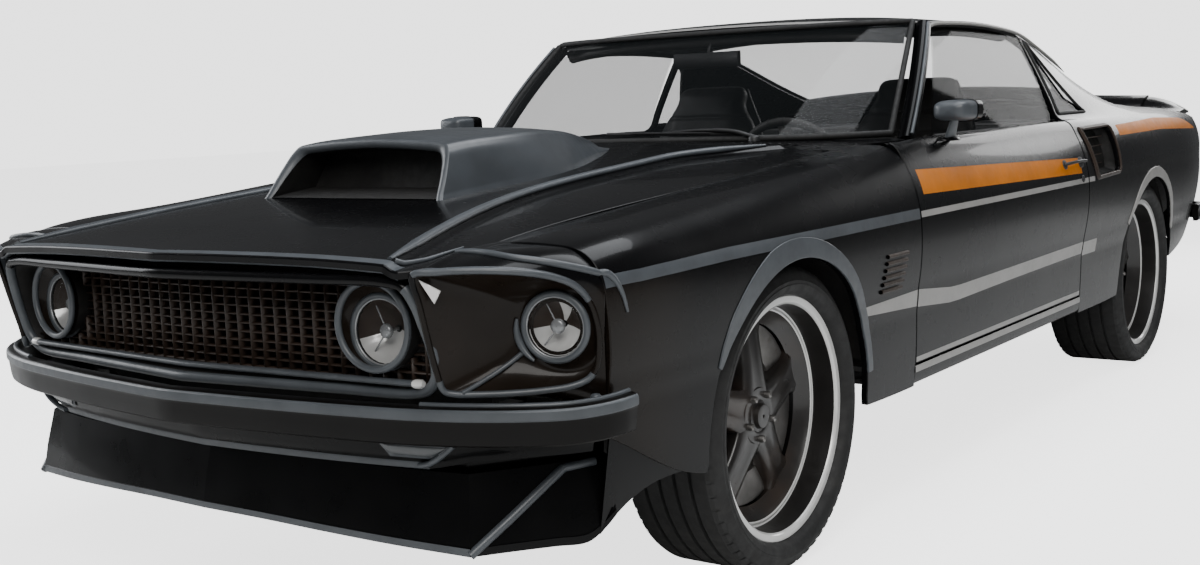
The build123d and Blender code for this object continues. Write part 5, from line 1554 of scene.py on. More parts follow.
# ---- bumpers, valance and air dam: sections swept along a plan line
def sweep(b, path, section, mats, closed_section=True, mirror=True, taper=None, caps=True):
    """path: (x, y, z shift) points from the middle out; section: (outward, z) points. mats: one per section side."""
    path = V(path, float)
    T = unit(np.gradient(path[:, :2], axis=0))
    Nn = np.stack([T[:, 1], -T[:, 0]], 1)
    Nn[0] = [0, -1.0] if abs(path[0][0]) < 1e-6 else Nn[0]
    rows = []
    for i, (p, n2) in enumerate(zip(path, Nn)):
        k = 1.0 if taper is None else taper[i]
        rows.append([(p[0] + n2[0] * o, p[1] + n2[1] * o + Y0, p[2] + (z if taper is None else section_mid + (z - section_mid) * k)) for o, z in section])
    rows = V(rows)
    m = len(section)
    S = V(section, float)
    d = np.roll(S, -1, 0) - S
    sn = unit(np.stack([d[:, 1], -d[:, 0]], 1))          # normal of each section side
    if area2(S) < 0:
        sn = -sn
    for j in range(m if closed_section else m - 1):
        j2 = (j + 1) % m
        pv, nx = sn[j - 1], sn[(j + 1) % m]
        na = unit(sn[j] + pv) if sn[j] @ pv > .82 else sn[j]
        nb = unit(sn[j] + nx) if sn[j] @ nx > .82 else sn[j]
        verts = np.concatenate([rows[:, j], rows[:, j2]])
        n = len(path)
        faces, corner = [], []
        for i in range(n - 1):
            f = (i, i + 1, n + i + 1, n + i)
            nn = []
            for q, nsec in ((i, na), (i + 1, na), (i + 1, nb), (i, nb)):
                nn.append(tuple(V([Nn[q][0] * nsec[0], Nn[q][1] * nsec[0], nsec[1]])))
            fn = np.cross(verts[f[1]] - verts[f[0]], verts[f[3]] - verts[f[0]])
            if fn @ V(nn[0]) < 0:
                f, nn = f[::-1], nn[::-1]
            faces.append(f)
            corner.append(nn)
        b.add(verts, faces, mat=mats[j], corner=corner)
    if caps:
        r = rows[-1]
        f = tuple(range(m))
        n = unit(V([T[-1][0], T[-1][1], 0]))
        fn = np.cross(r[1] - r[0], r[2] - r[1])
        if fn @ n < 0:
            f = f[::-1]
        b.add(r, [f], [tuple(n)] * m, mats[0])


section_mid = 0
bf = Build()
path = catmull([(0, -.9965, 0), (.15, -.9815, 0), (.30, -.9650, 0), (.45, -.9435, 0), (.58, -.9200, 0), (.69, -.8850, 0), (.780, -.8400, 0), (.850, -.7850, 0),
                (.886, -.7300, .002), (.8985, -.6850, .004), (.9000, -.652, .005)], 5)
sec = [(-.024, .4485), (-.012, .4480), (-.007, .4520), (-.0050, .4620), (-.0035, .4760), (-.0022, .4900), (-.0012, .4955), (.0018, .4985), (.0022, .5050),
       (.0016, .5130), (-.0020, .5170), (-.0080, .5190), (-.0160, .5202), (-.026, .5202), (-.027, .484)]
# the slate band on the blade's face is a painted highlight line
mt = [0, 0, 0, 0, 0, 0, 1, 1, 1, 1, 0, 0, 0, 0, 0]
sweep(bf, path, sec, mt)
# thin upper edge towards the ends, in slate as a painted highlight line
T_ = unit(np.gradient(path[:, :2], axis=0))
up_e = [(p[0] - T_[k][1] * .020, p[1] + T_[k][0] * .020 + Y0, .5205 + p[2]) for k, p in enumerate(path) if p[0] > .600]
tube(bf, up_e, .0056, 8, mat=1)
# bumper iron's round head on the top
st = V([.846, -.706 + Y0, .5190])
ring = [[(st[0] + r * math.cos(a), st[1] + r * math.sin(a), st[2] + h) for a in np.linspace(0, 2 * math.pi, 17)[:-1]]
        for r, h in ((.0105, .000), (.0100, .0045), (.0070, .0080), (.0008, .0092))]
rows_mesh(bf, ring, wrap=True, mat=1, out=(st[0], st[1], st[2] - .1))
bf2 = bf.mirrored()
bf.join(bf2)
bf.object("front_bumper_blade", [M_BUMPER, M_SLATE], "car_body", "bumper_paint", ["front_bumper"])

val = Build()
path = catmull([(0, -.9270, 0), (.165, -.9150, 0), (.330, -.8970, 0), (.470, -.8760, 0), (.560, -.8600, 0)], 7)
tail_p = catmull([(.560, -.8600, 0), (.606, -.8480, .012), (.650, -.8330, .024), (.700, -.8080, .030), (.760, -.7640, .034), (.810, -.7180, .036), (.832, -.6900, .037)], 5)
path = np.vstack([path, tail_p[1:]])
sec = [(-.040, .3860), (-.026, .3840), (-.0235, .3900), (-.0195, .3985), (-.0150, .4020), (-.008, .4180), (-.003, .4300), (-.0010, .4350), (.0005, .4405), (-.002, .4440),
       (-.012, .4470), (-.070, .4580), (-.075, .420)]
k_end = int(np.argmin(np.abs(path[:, 0] - .560)))
lift_z = V([1, 1, .75])
# the slate along the middle's lower edge is a painted highlight line
sweep(val, path[:k_end + 1] * lift_z, sec, [1, 1, 1, 0, 0, 0, 0, 0, 0, 0, 0, 0, 0], caps=False)
sweep(val, path[k_end:] * lift_z, sec, [0] * 13)
# the slate edge line, a painted highlight, turns up at the valance's end
turn = [(.545, -.8655 + .0215, .3935), (.572, -.8590 + .0150, .4010), (.602, -.8520 + .0060, .4180), (.630, -.8440 + .0010, .4400)]
tube(val, catmull([(x, y - .0065 + Y0, z) for x, y, z in turn], 5), .0058, 8, mat=1)
# park lamps near the ends
park = Build()
for x0, x1 in ((.470, .628),):
    a, c2 = [path[int(np.argmin(np.abs(path[:, 0] - x)))] for x in (x0, x1)]
    for k, (g, mm) in enumerate(((0, 1), (.0065, 0))):
        loop = []
        for t, zz in ((0, 0), (1, 0), (1, 1), (0, 1)):
            loop.append((t, zz))
        rows = []
        for zz in np.linspace(0, 1, 5):
            row = []
            for t in np.linspace(0, 1, 9):
                inset = .026 * (1 - zz)
                x = x0 + inset * .6 + g + (x1 - x0 - 2 * g - inset * 2.2) * t
                y = float(np.interp(x, path[:, 0], path[:, 1]))
                z = .4080 + g * .8 + (.0300 - 1.6 * g) * zz
                lean = (-.0155 + (z - .402) * .42) if True else 0
                row.append((x, y - lean - .0035 - .0035 * k - (.003 if 0 < t < 1 and 0 < zz < 1 else 0) + Y0, z))
            rows.append(row)
        rows_mesh(park, rows, mat=mm, out=(.5, 0, .42))
both(park, "park_lamps", [M_AMBER, M_SLATE], "car_body", "lamp_glass")
bf2 = val.mirrored()
val.join(bf2)
val.object("front_valance_panel", [M_JET, M_SLATE], "car_body", "body_paint", ["front_valance"])

dam = Build()


def dam_row(x, y, zb, nx, ny, squeeze=1.0):
    """The dam's section at a plan point: a bottom roll, a face that leans forward at its foot, and a flange at its top."""
    zt = .384
    return [(x + nx * o * squeeze, y + ny * o * squeeze + Y0, zb + (zt - zb) * t)
            for t, o in ((0, -.014), (-.004, -.006), (0, .000), (.030, .002), (.105, .0015), (.110, -.0012), (.45, -.010), (.80, -.0225), (.985, -.029), (1.0, -.037), (1.0, -.060))]


front_pts = catmull([(0, -.9130, .256), (.170, -.9070, .255), (.340, -.8960, .250), (.500, -.8760, .243), (.655, -.8470, .236)], 7)
side_pts = catmull([(.655, -.8470, .236), (.700, -.7810, .235), (.745, -.7140, .233), (.782, -.6600, .232), (.800, -.6330, .252), (.814, -.6120, .276)], 5)
tf, ts_ = unit(np.gradient(front_pts[:, :2], axis=0))[-1], unit(np.gradient(side_pts[:, :2], axis=0))[0]
mitre = unit(V([tf[1], -tf[0]]) + V([ts_[1], -ts_[0]]))
mitre = mitre / float(mitre @ V([tf[1], -tf[0]]))
for pts in (front_pts, side_pts):
    T = unit(np.gradient(pts[:, :2], axis=0))
    Nn = np.stack([T[:, 1], -T[:, 0]], 1)
    if pts is front_pts:
        Nn[0] = [0, -1]
    Nn[-1 if pts is front_pts else 0] = mitre
    e_ = 1 if pts is front_pts else 0
    # on the front, the bottom roll is slate: a painted highlight line
    mt = ((0, 3, e_), (2, 5, e_), (4, 6, 0), (5, 9, 0), (8, 11, 0))
    rows = np.transpose(V([dam_row(p[0], p[1], p[2], n2[0], n2[1]) for p, n2 in zip(pts, Nn)]), (1, 0, 2))
    for a_, b_, m in mt:
        rows_mesh(dam, rows[a_:b_], mat=m, out=(0, 0, .31))
    rows_mesh(dam, [rows[10], rows[0]], mat=0, out=(0, -3, .31))
    rows_mesh(dam, [rows[10], rows[10] + V([0, .002, .055])], mat=0, out=(0, 3, .40))
    rows_mesh(dam, [rows[10] + V([0, .003, 0]), rows[10] + V([0, .005, .055])], mat=0, out=(0, -3, .40))
    if pts is side_pts:
        r = rows[:, -1]
        dam.add(r, [tuple(range(11))[::-1]], [(0.2, 1, 0)] * 11, 0)
    else:
        corner_f = rows[:, -1]
        nf = Nn[-1]
# ridge from the bottom corner up and back along the side, in slate as a painted highlight line
A_, B_ = V([.655, -.847]), V([.790, -.648])
d_ = B_ - A_
n_ = V([d_[1], -d_[0]]) / np.linalg.norm(d_)


def dam_side(s_, z):
    o = float(np.interp(z, [.236, .300, .376, .384], [.002, -.007, -.0255, -.028]))
    p = A_ + d_ * s_ + n_ * o
    return (p[0], p[1] + Y0, z)


tube(dam, [dam_side(.80 * q, .2395 + .134 * q) for q in np.linspace(.0, 1, 12)], .0088, 10, mat=1)
tube(dam, [dam_side(.795 + .265 * q, .3728 + .0052 * q) for q in np.linspace(0, 1, 6)], .0084, 10, mat=1)
# splash shield between the dam's end and the fender's lower edge
low_edge = table_spline(SIDE, lambda r: (*r[0],))
rail_a, rail_b = [], []
for q in np.linspace(0, 1, 12):
    y = -.655 + .245 * q
    xb, zb_ = low_edge(y)[0]
    rail_a.append((xb - .010, y + Y0, zb_ + .012))
    rail_b.append((.796 + (xb - .012 - .796) * q ** .8, -.640 + .230 * q + Y0, .2440 + (zb_ + .004 - .2440) * q))
grid_s = [[V(a) * (1 - t) + V(b2) * t for a, b2 in zip(rail_a, rail_b)] for t in np.linspace(0, 1, 6)]
rows_mesh(dam, grid_s, mat=0, out=(0, -.5 + Y0, .33))
rows_mesh(dam, V(grid_s) + V([-.003, 0, 0]), mat=0, out=(3, -.5 + Y0, .33))
rows_mesh(dam, [grid_s[-1], V(grid_s[-1]) + V([-.003, 0, 0])], mat=0, out=(.8, -.5 + Y0, .9))
bf2 = dam.mirrored()
dam.join(bf2)
dam.object("air_dam_panel", [M_JET, M_SLATE], "car_body", "body_paint", ["front_air_dam"])

# =====================================================================================================
# wheels
# =====================================================================================================


def make_wheel(end, hand, y, w):
    s = 1 if hand == "left" else -1
    c = (s * .741, y + Y0, AXLE_Z)
    h = w / 2
    t = Build()
    # carcass: beads, sidewalls with raised rings, shoulders and grooved tread
    side_p = [(h - .030, .2712), (h - .022, .2722), (h - .012, .2760), (h - .0045, .2835), (h - .0015, .2915), (h - .0005, .2965), (h - .0018, .2975), (h - .0015, .3050), (h - .0030, .3065),
              (h - .0075, .3165), (h - .0125, .3245), (h - .0185, .3310), (h - .0260, .3352)]
    grooves = []
    n_g = 4
    half_t = h - .026
    prof = [(-x, r) for x, r in side_p]
    xs = np.linspace(-half_t, half_t, n_g + 2)
    prof.append((-half_t + .001, .3366))
    for g in xs[1:-1]:
        prof += [(g - .0050, .3370), (g - .0036, .3290), (g + .0036, .3290), (g + .0050, .3370)]
    prof.append((half_t - .001, .3366))
    prof += side_p[::-1]
    lathe(t, prof, c, s, 120)
    # shoulder blocks: a notch pattern cut as thin raised lugs
    lug = []
    n = 64
    for k in range(n):
        a0 = 2 * math.pi * (k + .12) / n
        a1 = 2 * math.pi * (k + .88) / n
        for e in (1, -1):
            pts = []
            for a in (a0, a1):
                for x, r in ((h - .0300, .3366), (h - .0190, .3325), (h - .0125, .3262)):
                    pts.append((c[0] + s * e * (x + .0008), c[1] + (r + .0004) * math.cos(a), c[2] + (r + .0004) * math.sin(a)))
            pts = V(pts)
            f = [(0, 1, 4, 3), (1, 2, 5, 4)]
            q = np.cross(pts[1] - pts[0], pts[3] - pts[0])
            if q @ (pts[0] - V(c)) < 0:
                f = [x[::-1] for x in f]
            t.add(pts, f, mat=0)
    t.object(f"{end}_{hand}_tyre_carcass", [M_TYRE], f"{end}_{hand}_wheel", "tyre_rubber", [f"{end}_{hand}_tyre"])
    wb = Build()
    hr = h - .022
    # bright lip, deep barrel with steps, dish and hub
    prof = [(hr - .012, .2716), (hr - .0035, .2722), (hr - .0010, .2695), (hr - .0010, .2565), (hr - .0045, .2525), (hr - .0080, .2515)]
    lathe(wb, prof, c, s, 120, mat=0)
    prof = [(hr - .0080, .2515), (hr - .012, .2508), (hr - .022, .2498), (hr - .030, .2490), (hr - .050, .2475), (hr - .060, .2470)]
    lathe(wb, prof, c, s, 120, mat=1)
    prof = [(hr - .060, .2470), (hr - .0615, .2440), (hr - .0600, .2380), (hr - .0620, .2350)]
    lathe(wb, prof, c, s, 120, mat=0)
    face = [(hr - .0620, .2350), (hr - .072, .2280), (.010, .205)]
    lathe(wb, face, c, s, 120, mat=2)
    # five broad spokes with windows between
    inner_r, outer_r = .060, .214
    for k in range(5):
        a = 2 * math.pi * k / 5 + math.radians(90 if True else 0)
        u = V([0, math.cos(a), math.sin(a)])
        v = V([0, -math.sin(a), math.cos(a)])
        rows = []
        for q in np.linspace(0, 1, 14):
            r = inner_r - .012 + (outer_r + .006 - inner_r + .012) * q
            wd = .036 + .012 * q ** 2 + .018 * (1 - q) ** 3 + .020 * max(0, q - .8) / .2
            xo = .018 + .012 * (1 - q) - .010 * q ** 2
            row = []
            for sx, xx in ((-1, -.022), (-1, .000), (-.94, .010), (-.6, .016), (-.30, .0135), (0, .0125), (.30, .0135), (.6, .016), (.94, .010), (1, .000), (1, -.022)):
                p = V(c) + u * r + v * (wd * sx) + V([s * (xo + xx - .010), 0, 0])
                row.append(p)
            rows.append(row)
        rows_mesh(wb, rows, mat=2, out=tuple(V(c) - V([s * .2, 0, 0])))
    hub = [(.030, .0005), (.046, .004), (.0475, .018), (.0460, .026), (.036, .029), (.034, .036), (.036, .040), (.034, .062), (.022, .074), (.004, .082), (-.020, .084)]
    lathe(wb, hub[::-1], c, s, 64, mat=3)
    for k in range(5):
        a = 2 * math.pi * (k + .5) / 5 + math.radians(90)
        cy, cz = c[1] + .052 * math.cos(a), c[2] + .052 * math.sin(a)
        nut = [(.0005, .049), (.007, .047), (.0085, .042), (.0085, .034)]
        lathe(wb, [(xx, rr) for rr, xx in nut[::-1]], (c[0], cy, cz), s, 6, mat=4)
    # plain back of the wheel: barrel and drum
    lathe(wb, [(-hr, .2700), (-hr - .004, .2680), (-hr - .003, .2600), (-hr + .020, .2560), (-.02, .2500), (hr - .06, .2475)][::-1], c, s, 96, mat=1)
    lathe(wb, [(-.034, .022), (-.034, .060), (-.030, .120), (-.004, .135), (.000, .205)], c, s, 64, mat=5)
    wb.object(f"{end}_{hand}_rim", [M_WHITE, M_BARREL, M_WHEEL, M_WHEEL, M_STEEL, M_STEEL], f"{end}_{hand}_wheel", "wheel_alloy", [f"{end}_{hand}_wheel"])


for end, y, w in (("front", 0, .245), ("rear", WHEELBASE, .275)):
    for hand in ("left", "right"):
        make_wheel(end, hand, y, w)

# ---- quarter window glass, its seal, the side scoop and its lining
qg = Build()
for off, o in ((-.0035, (3, 2.1 + Y0, 1.1)), (-.0080, (0, 2.1 + Y0, 1.0))):
    rows = []
    for y in np.linspace(1.980, 2.258, 14):
        zt = float(np.interp(y, [1.980, 1.998, 2.232, 2.258], [1.193, 1.190, .972, .948]))
        zt = max(zt, .9475)
        row = []
        for z in np.linspace(.9415, zt, 10):
            P, N = RS.at([(y, RS.v_of(y, 2, z))])
            row.append(P[0] + N[0] * off)
        rows.append(row)
    rows_mesh(qg, rows, out=(0, 2.1 + Y0, 1.0) if off > -.005 else (2, 2.1 + Y0, 1.2))
both(qg, "quarter_windows", [M_SIDEGLASS], "car_body", "clear_glass", ["quarter_glass"])
qs = Build()
wl = catmull([window[0], window[1], window[3], window[4], window[5]], 1, True)
loop = resample([V(p) for p in window], .02)
pts = []
for y, z in loop:
    P, N = RS.at([(y, RS.v_of(y, 2, z))])
    pts.append(P[0] + N[0] * .0005)
tube(qs, pts, .0052, 8, closed=True, mat=0)
both(qs, "quarter_window_seals", [M_RUBBER], "car_body", "black_plastic")

# the air scoop behind the door: a raised frame and a lined pocket that narrows inwards
qsc = Build()
loop = resample([V(p) for p in scoop_hole], .02)
edge, frame_o, deep1, deep2 = [], [], [], []
cy, cz = 2.16, .818
for y, z in loop:
    P, N = RS.at([(y, RS.v_of(y, 2, z))])
    edge.append(P[0] + N[0] * .004)
    yo, zo = cy + (y - cy) * 1.085, cz + (z - cz) * 1.13
    P2, N2 = RS.at([(yo, RS.v_of(yo, 2, zo))])
    frame_o.append(P2[0] + N2[0] * .0005)
    deep1.append(V([P[0][0] - .022, P[0][1] + .004, P[0][2]]))
    q = V([P[0][0] - .050, (cy + .012 + (y - cy) * .86) + Y0, cz + (z - cz) * .84])
    deep2.append(q)
edge, frame_o, deep1, deep2 = map(V, (edge, frame_o, deep1, deep2))
mid_f = (edge + frame_o) / 2 + V([.004, 0, 0])
rows_mesh(qsc, [frame_o, mid_f, edge], wrap=True, mat=0, out=(0, cy + Y0, cz))
tube(qsc, edge, .0045, 8, closed=True, mat=0)
rows_mesh(qsc, [edge, deep1, deep2], wrap=True, mat=1)
c = deep2.mean(0)
qsc.add(np.vstack([deep2, [c]]), [(k, (k + 1) % len(deep2), len(deep2)) for k in range(len(deep2))], mat=1)
for q in np.linspace(-.045, .045, 4):
    zz = cz + q
    bar(qsc, [(.865, 2.06 + Y0, zz), (.862, 2.16 + Y0, zz), (.856, 2.255 + Y0, zz)], .004, .0035, 2)
both(qsc, "quarter_air_scoops", [M_MESH, M_POCKET, M_MESH], "car_body", "dark_mesh")

# ---- rear window, shelf panel between it and the trunk lid
us = np.linspace(1.96, 3.024, 50)
f = table_spline(GREEN, lambda r: (*r[1], r[2]))
rows = []
for u in us:
    xe, ze, zc = f(u)[0]
    xe = xe - .006
    xs = np.linspace(xe, -xe, 41)
    z = zc - (zc - ze) * (np.abs(xs) / xe) ** 2.2
    rows.append(np.stack([xs, np.full(41, u + Y0), z], 1))
BACK = Skin(us, rows)
rg = Build()
for off, o in ((-.001, 0), (-.006, 1)):
    sel = [i for i, u in enumerate(us) if 1.966 <= u <= 2.850]
    R = [BACK.P[i] + BACK.N[i] * off for i in sel]
    rows_mesh(rg, R, out=(0, 2.4 + Y0, .6) if not o else (0, 2.4 + Y0, 1.9))
rg.object("rear_window", [M_GLASS], "car_body", "clear_glass", ["rear_glass"])
rs = Build()
line = [BACK.at([(u, BACK.v[0])])[0][0] for u in np.linspace(1.972, 2.852, 30)]
tube(rs, V(line) + V([.002, 0, .001]), .0065, 8, mat=0)
line = [BACK.at([(u, BACK.v[-1])])[0][0] for u in np.linspace(1.972, 2.852, 30)]
tube(rs, V(line) + V([-.002, 0, .001]), .0065, 8, mat=0)
for u in (1.970, 2.853):
    tube(rs, [BACK.at([(u, v)])[0][0] + V([0, 0, .0015]) for v in np.linspace(BACK.v[0], BACK.v[-1], 31)], .0065, 8, mat=0)
rs.object("rear_window_seal", [M_RUBBER], "car_body", "black_plastic")
shelf = Build()
outline = [(2.858, v) for v in np.linspace(BACK.v[0], BACK.v[-1], 21)] + [(y, BACK.v[-1]) for y in (2.9, 2.95, 3.0)] + \
    [(3.020, v) for v in np.linspace(BACK.v[-1], BACK.v[0], 21)] + [(y, BACK.v[0]) for y in (3.0, 2.95, 2.9)]
sheet_mesh(shelf, BACK, outline, step=.03, vstep=.05, r=.003, flange=.010)
under = [[(x, y + Y0, float(BACK.at([(y, BACK.v_of(y, 0, x))])[0][0][2]) - .009) for x in np.linspace(.55, -.55, 23)] for y in np.linspace(2.860, 3.016, 6)]
rows_mesh(shelf, under, mat=0, out=(0, 2.94 + Y0, 2.0))
rows_mesh(shelf, [[(x, 3.001 + Y0, z) for x in np.linspace(.55, -.55, 23)] for z in np.linspace(.853, .955, 5)], mat=0, out=(0, 2.9 + Y0, .9))
rows_mesh(shelf, [[(x, 3.009 + Y0, z) for x in np.linspace(.55, -.55, 23)] for z in np.linspace(.853, .955, 5)], mat=0, out=(0, 3.9 + Y0, .9))
for s in (1, -1):
    side_l = rounded([(3.010, .872), (3.010, .850), (3.122, .850), (3.118, .932), (3.104, .934), (3.094, .872), (3.010, .872)], [.003, .006, .008, .006, .006, .012, .003], [0] * 6, seg=3, arc=4)[:-1]
    x0, x1 = s * .523, s * .533
    rows_mesh(shelf, [[(x, y + Y0, z) for y, z in side_l] for x in (x0, x1)], wrap=True, mat=0, out=((x0 + x1) / 2, 3.07 + Y0, .87), caps=True)
shelf.object("rear_deck_filler", BODY, "car_body", "body_paint", ["rear_shelf"])

# ---- spoiler: a blade over the tail, and an end cap on each quarter
def spoiler_row(x, end=0.0):
    xx = abs(x)
    zd = float(KS.at([(3.668, KS.v_of(3.668, 0, min(xx, .625)))])[0][0][2]) if xx < .63 else .918 - (xx - .63) * .10
    h = .058 * (1 - end)
    pts = [(3.562, zd + .009), (3.60, zd + .022 * (1 - end * .4)), (3.645, zd + .046 * (1 - end * .7)), (3.690, zd + h), (3.712, zd + h + .001), (3.7145, zd + h - .006),
           (3.706, zd + h - .012), (3.694, zd + .020 * (1 - end)), (3.690, zd + .001), (3.66, zd - .002), (3.60, zd + .002), (3.566, zd + .004)]
    pr = rounded(pts + [pts[0]], [.004] + [.012, .02, .010, .004, .003, .006, .01, .003, .01, .01, .002] + [.004], [0] * 12, seg=2, arc=4)[:-1]
    return [(x, y + Y0, z) for y, z in pr]


sp = Build()
rows_mesh(sp, [spoiler_row(x) for x in np.linspace(-.626, .626, 41)], wrap=True, mat=0, out=(0, 3.65 + Y0, .955), caps=True)
sp.object("spoiler_blade", [M_BODY], "trunk_lid", "body_paint", ["rear_spoiler"])
sp = Build()
xs = np.linspace(.632, .790, 14)
rows_mesh(sp, [spoiler_row(x, end=((x - .632) / .158) ** 2 * .82) for x in xs], wrap=True, mat=0, out=(.70, 3.65 + Y0, .935), caps=True)
both(sp, "spoiler_ends", [M_BODY], "car_body", "body_paint")

# ---- tail: a framed panel, three-bar lamps and filler cap
tail = Build()
TB = [(0, .476), (.30, .476), (.60, .476), (.790, .482), (.806, .500), (.818, .545), (.826, .64), (.832, .735), (.822, .815), (.806, .882), (.780, .897), (.742, .903), (.650, .912),
      (.640, .906), (.638, .880), (.638, .800), (.638, .760), (.632, .754), (.60, .7525), (.30, .7525), (0, .7525)]


def tail_y(x, z):
    return 3.7085 + .004 * (1 - (abs(x) / .83) ** 4)


n = len(TB)
tb = resample([V(p) for p in TB[:-1]], .03, closed=False)
mid = V([.42, .62])
outer = V([(x, tail_y(x, z) + Y0, z) for x, z in tb])
pl = [V(p) for p in TB]
pts2 = resample(pl, .03, closed=False)
half_loop = [tuple(p) for p in pts2]
full = half_loop + [(-x, z) for x, z in half_loop[::-1][1:-1]]
us2 = np.linspace(.45, .93, 30)
xs2 = np.linspace(-.86, .86, 59)
TAIL = Skin(us2, [[(x, tail_y(x, u) + Y0, u) for x in xs2] for u in us2])
to_uv = lambda pts: [(z, float(np.interp(x, xs2, TAIL.v))) for x, z in pts]
panel = [(.455 if False else x, z) for x, z in full]
inset = [(.596, .560), (.596, .742), (-.596, .742), (-.596, .560)]
sheet_mesh(tail, TAIL, to_uv(panel), step=.03, vstep=.04, r=.003, flange=.010, regions=[])
# raised bright-edged frames round the lamps, and the lamps: three upright lenses a side
lens = Build()
for s in (1, -1):
    for k, x in enumerate((.462, .566, .670)):
        w, h = .040, .066
        ring = rounded([(x - w, .652 - h), (x + w, .652 - h), (x + w, .652 + h), (x - w, .652 + h), (x - w, .652 - h)], [.014] * 5, [0] * 4, seg=2, arc=5)[:-1]
        R0 = V([(s * a, 3.7225 + Y0, z) for a, z in ring])
        c = V([s * x, 3.7225 + Y0, .652])
        tube(tail, R0 + V([0, -.0055, 0]), .0046, 8, closed=True, mat=1)
        rr = [c + (R0 - c) * q + V([0, d, 0]) for q, d in ((.97, -.010), (.96, -.003), (.90, -.0005), (.60, .0016), (.25, .0022), (.01, .0024))]
        rows_mesh(lens, rr, wrap=True, out=tuple(c - V([0, .1, 0])))
        for q in (-.022, 0, .022):
            tube(lens, [(s * x - .034, 3.7242 + Y0, .652 + q), (s * x + .034, 3.7242 + Y0, .652 + q)], .0014, 6)
lens.object("tail_lenses", [M_RED], "car_body", "red_lens", ["tail_lamps"])
# filler cap in the middle, plain
lathe_c = (0, 3.712 + Y0, .650)
cap = [[(r * math.cos(a), 3.712 + d + Y0, .650 + r * math.sin(a)) for a in np.linspace(0, 2 * math.pi, 49)[:-1]]
       for r, d in ((.074, -.002), (.073, .004), (.068, .0065), (.064, .0050), (.058, .0052), (.055, .0090), (.040, .0105), (.020, .0112), (.0008, .0114))]
rows_mesh(tail, cap, wrap=True, mat=2, out=(0, 3.6 + Y0, .65))
tube(tail, [(x, 3.7245 + Y0, .650) for x in np.linspace(-.045, .045, 5)], .0045, 8, mat=2)
# slate frame line round the tail's inset
fr = rounded([(-.735, .566), (.735, .566), (.735, .738), (-.735, .738), (-.735, .566)], [.03] * 5, [0] * 4, seg=12, arc=6)[:-1]
tube(tail, [(x, tail_y(x, z) + .0015 + Y0, z) for x, z in fr], .0042, 8, closed=True, mat=3)
# closure flange under the trunk lid's lower edge
for o_, rows in ((5, [(3.7085, .7525), (3.700, .7500), (3.662, .7490), (3.656, .7530), (3.655, .7740)]),):
    rows_mesh(tail, [[(x, y + Y0, z) for x in np.linspace(.634, -.634, 21)] for y, z in rows], mat=0, out=(0, 3.69 + Y0, .60))
    rows_mesh(tail, [[(x, y - .0025 + Y0, z - .0025) for x in np.linspace(.634, -.634, 21)] for y, z in rows], mat=0, out=(0, 3.64 + Y0, .90))
tail.object("tail_panel_skin", [M_BODY, M_CHROME, M_ALLOY, M_SLATE], "car_body", "body_paint", ["tail_panel"])
# lower rear valance with a plain plate bracket
rv = Build()
zs = np.linspace(.470, .380, 8)
rows = [[(x * (1 - .07 * ((.47 - z) / .09) ** 1.4), 3.7215 - .020 * ((.47 - z) / .09) ** 1.6 - .05 * (abs(x) / .80) ** 6 + Y0, z) for x in np.linspace(-.795, .795, 41)] for z in zs]
rows_mesh(rv, rows, mat=0, out=(0, 3.0 + Y0, .43))
rows_mesh(rv, [V(r) + V([0, -.008, 0]) for r in rows], mat=0, out=(0, 5 + Y0, .43))
rows_mesh(rv, [rows[-1], V(rows[-1]) + V([0, -.008, 0])], mat=0, out=(0, 3.7 + Y0, .9))
tube(rv, rows[-1] + V([0, -.003, .003]), .0055, 8, mat=1)
rv.object("rear_valance", [M_BODY, M_SLATE], "car_body", "body_paint")
pb = Build()
ring = rounded([(-.165, .395), (.165, .395), (.165, .452), (-.165, .452), (-.165, .395)], [.010] * 5, [0] * 4, seg=3, arc=4)[:-1]
R0 = V([(x, 3.7255 + Y0, z) for x, z in ring])
tube(pb, R0, .003, 6, closed=True, mat=0)
c = V([0, 3.7255 + Y0, .4235])
rows_mesh(pb, [c + (R0 - c) * q + V([0, d, 0]) for q, d in ((1, -.002), (.96, -.0005), (.5, 0), (.01, 0))], wrap=True, mat=0, out=tuple(c - V([0, .1, 0])))
pb.object("rear_plate_bracket", [M_PLASTIC], "car_body", "black_plastic")

# ---- rear bumper
rb = Build()
path = catmull([(0, -3.7605, 0), (.25, -3.7600, 0), (.50, -3.7555, 0), (.68, -3.7480, 0), (.78, -3.7400, 0), (.838, -3.7180, 0), (.862, -3.6750, 0), (.8700, -3.610, 0), (.8720, -3.560, 0)], 6)
sec = [(-.022, .4555), (-.008, .4550), (-.001, .4585), (.0010, .4650), (.0006, .4730), (-.0015, .4770), (-.0010, .490), (-.0015, .503), (.0006, .5070),
       (.0010, .5150), (-.001, .5220), (-.008, .5255), (-.024, .5250), (-.026, .490)]
# slate bands along the upper and lower face are painted highlight lines
sweep(rb, path, sec, [0, 1, 1, 1, 0, 0, 0, 0, 1, 1, 1, 0, 0, 0])
# the sweep runs towards -Y: turn it to face the tail
rb.v = [a * V([1, 1, 1]) for a in rb.v]
for i, a in enumerate(rb.v):
    a = a.copy()
    a[:, 1] = -(a[:, 1] - Y0) + Y0
    rb.v[i] = a
rb.f = [tuple(reversed(f)) for f in rb.f]
rb.n = [None if c is None else [(x, -y, z) for x, y, z in reversed(c)] for c in rb.n]
rb.join(rb.mirrored())
rb.object("rear_bumper_blade", [M_BUMPER, M_SLATE], "car_body", "bumper_paint", ["rear_bumper"])

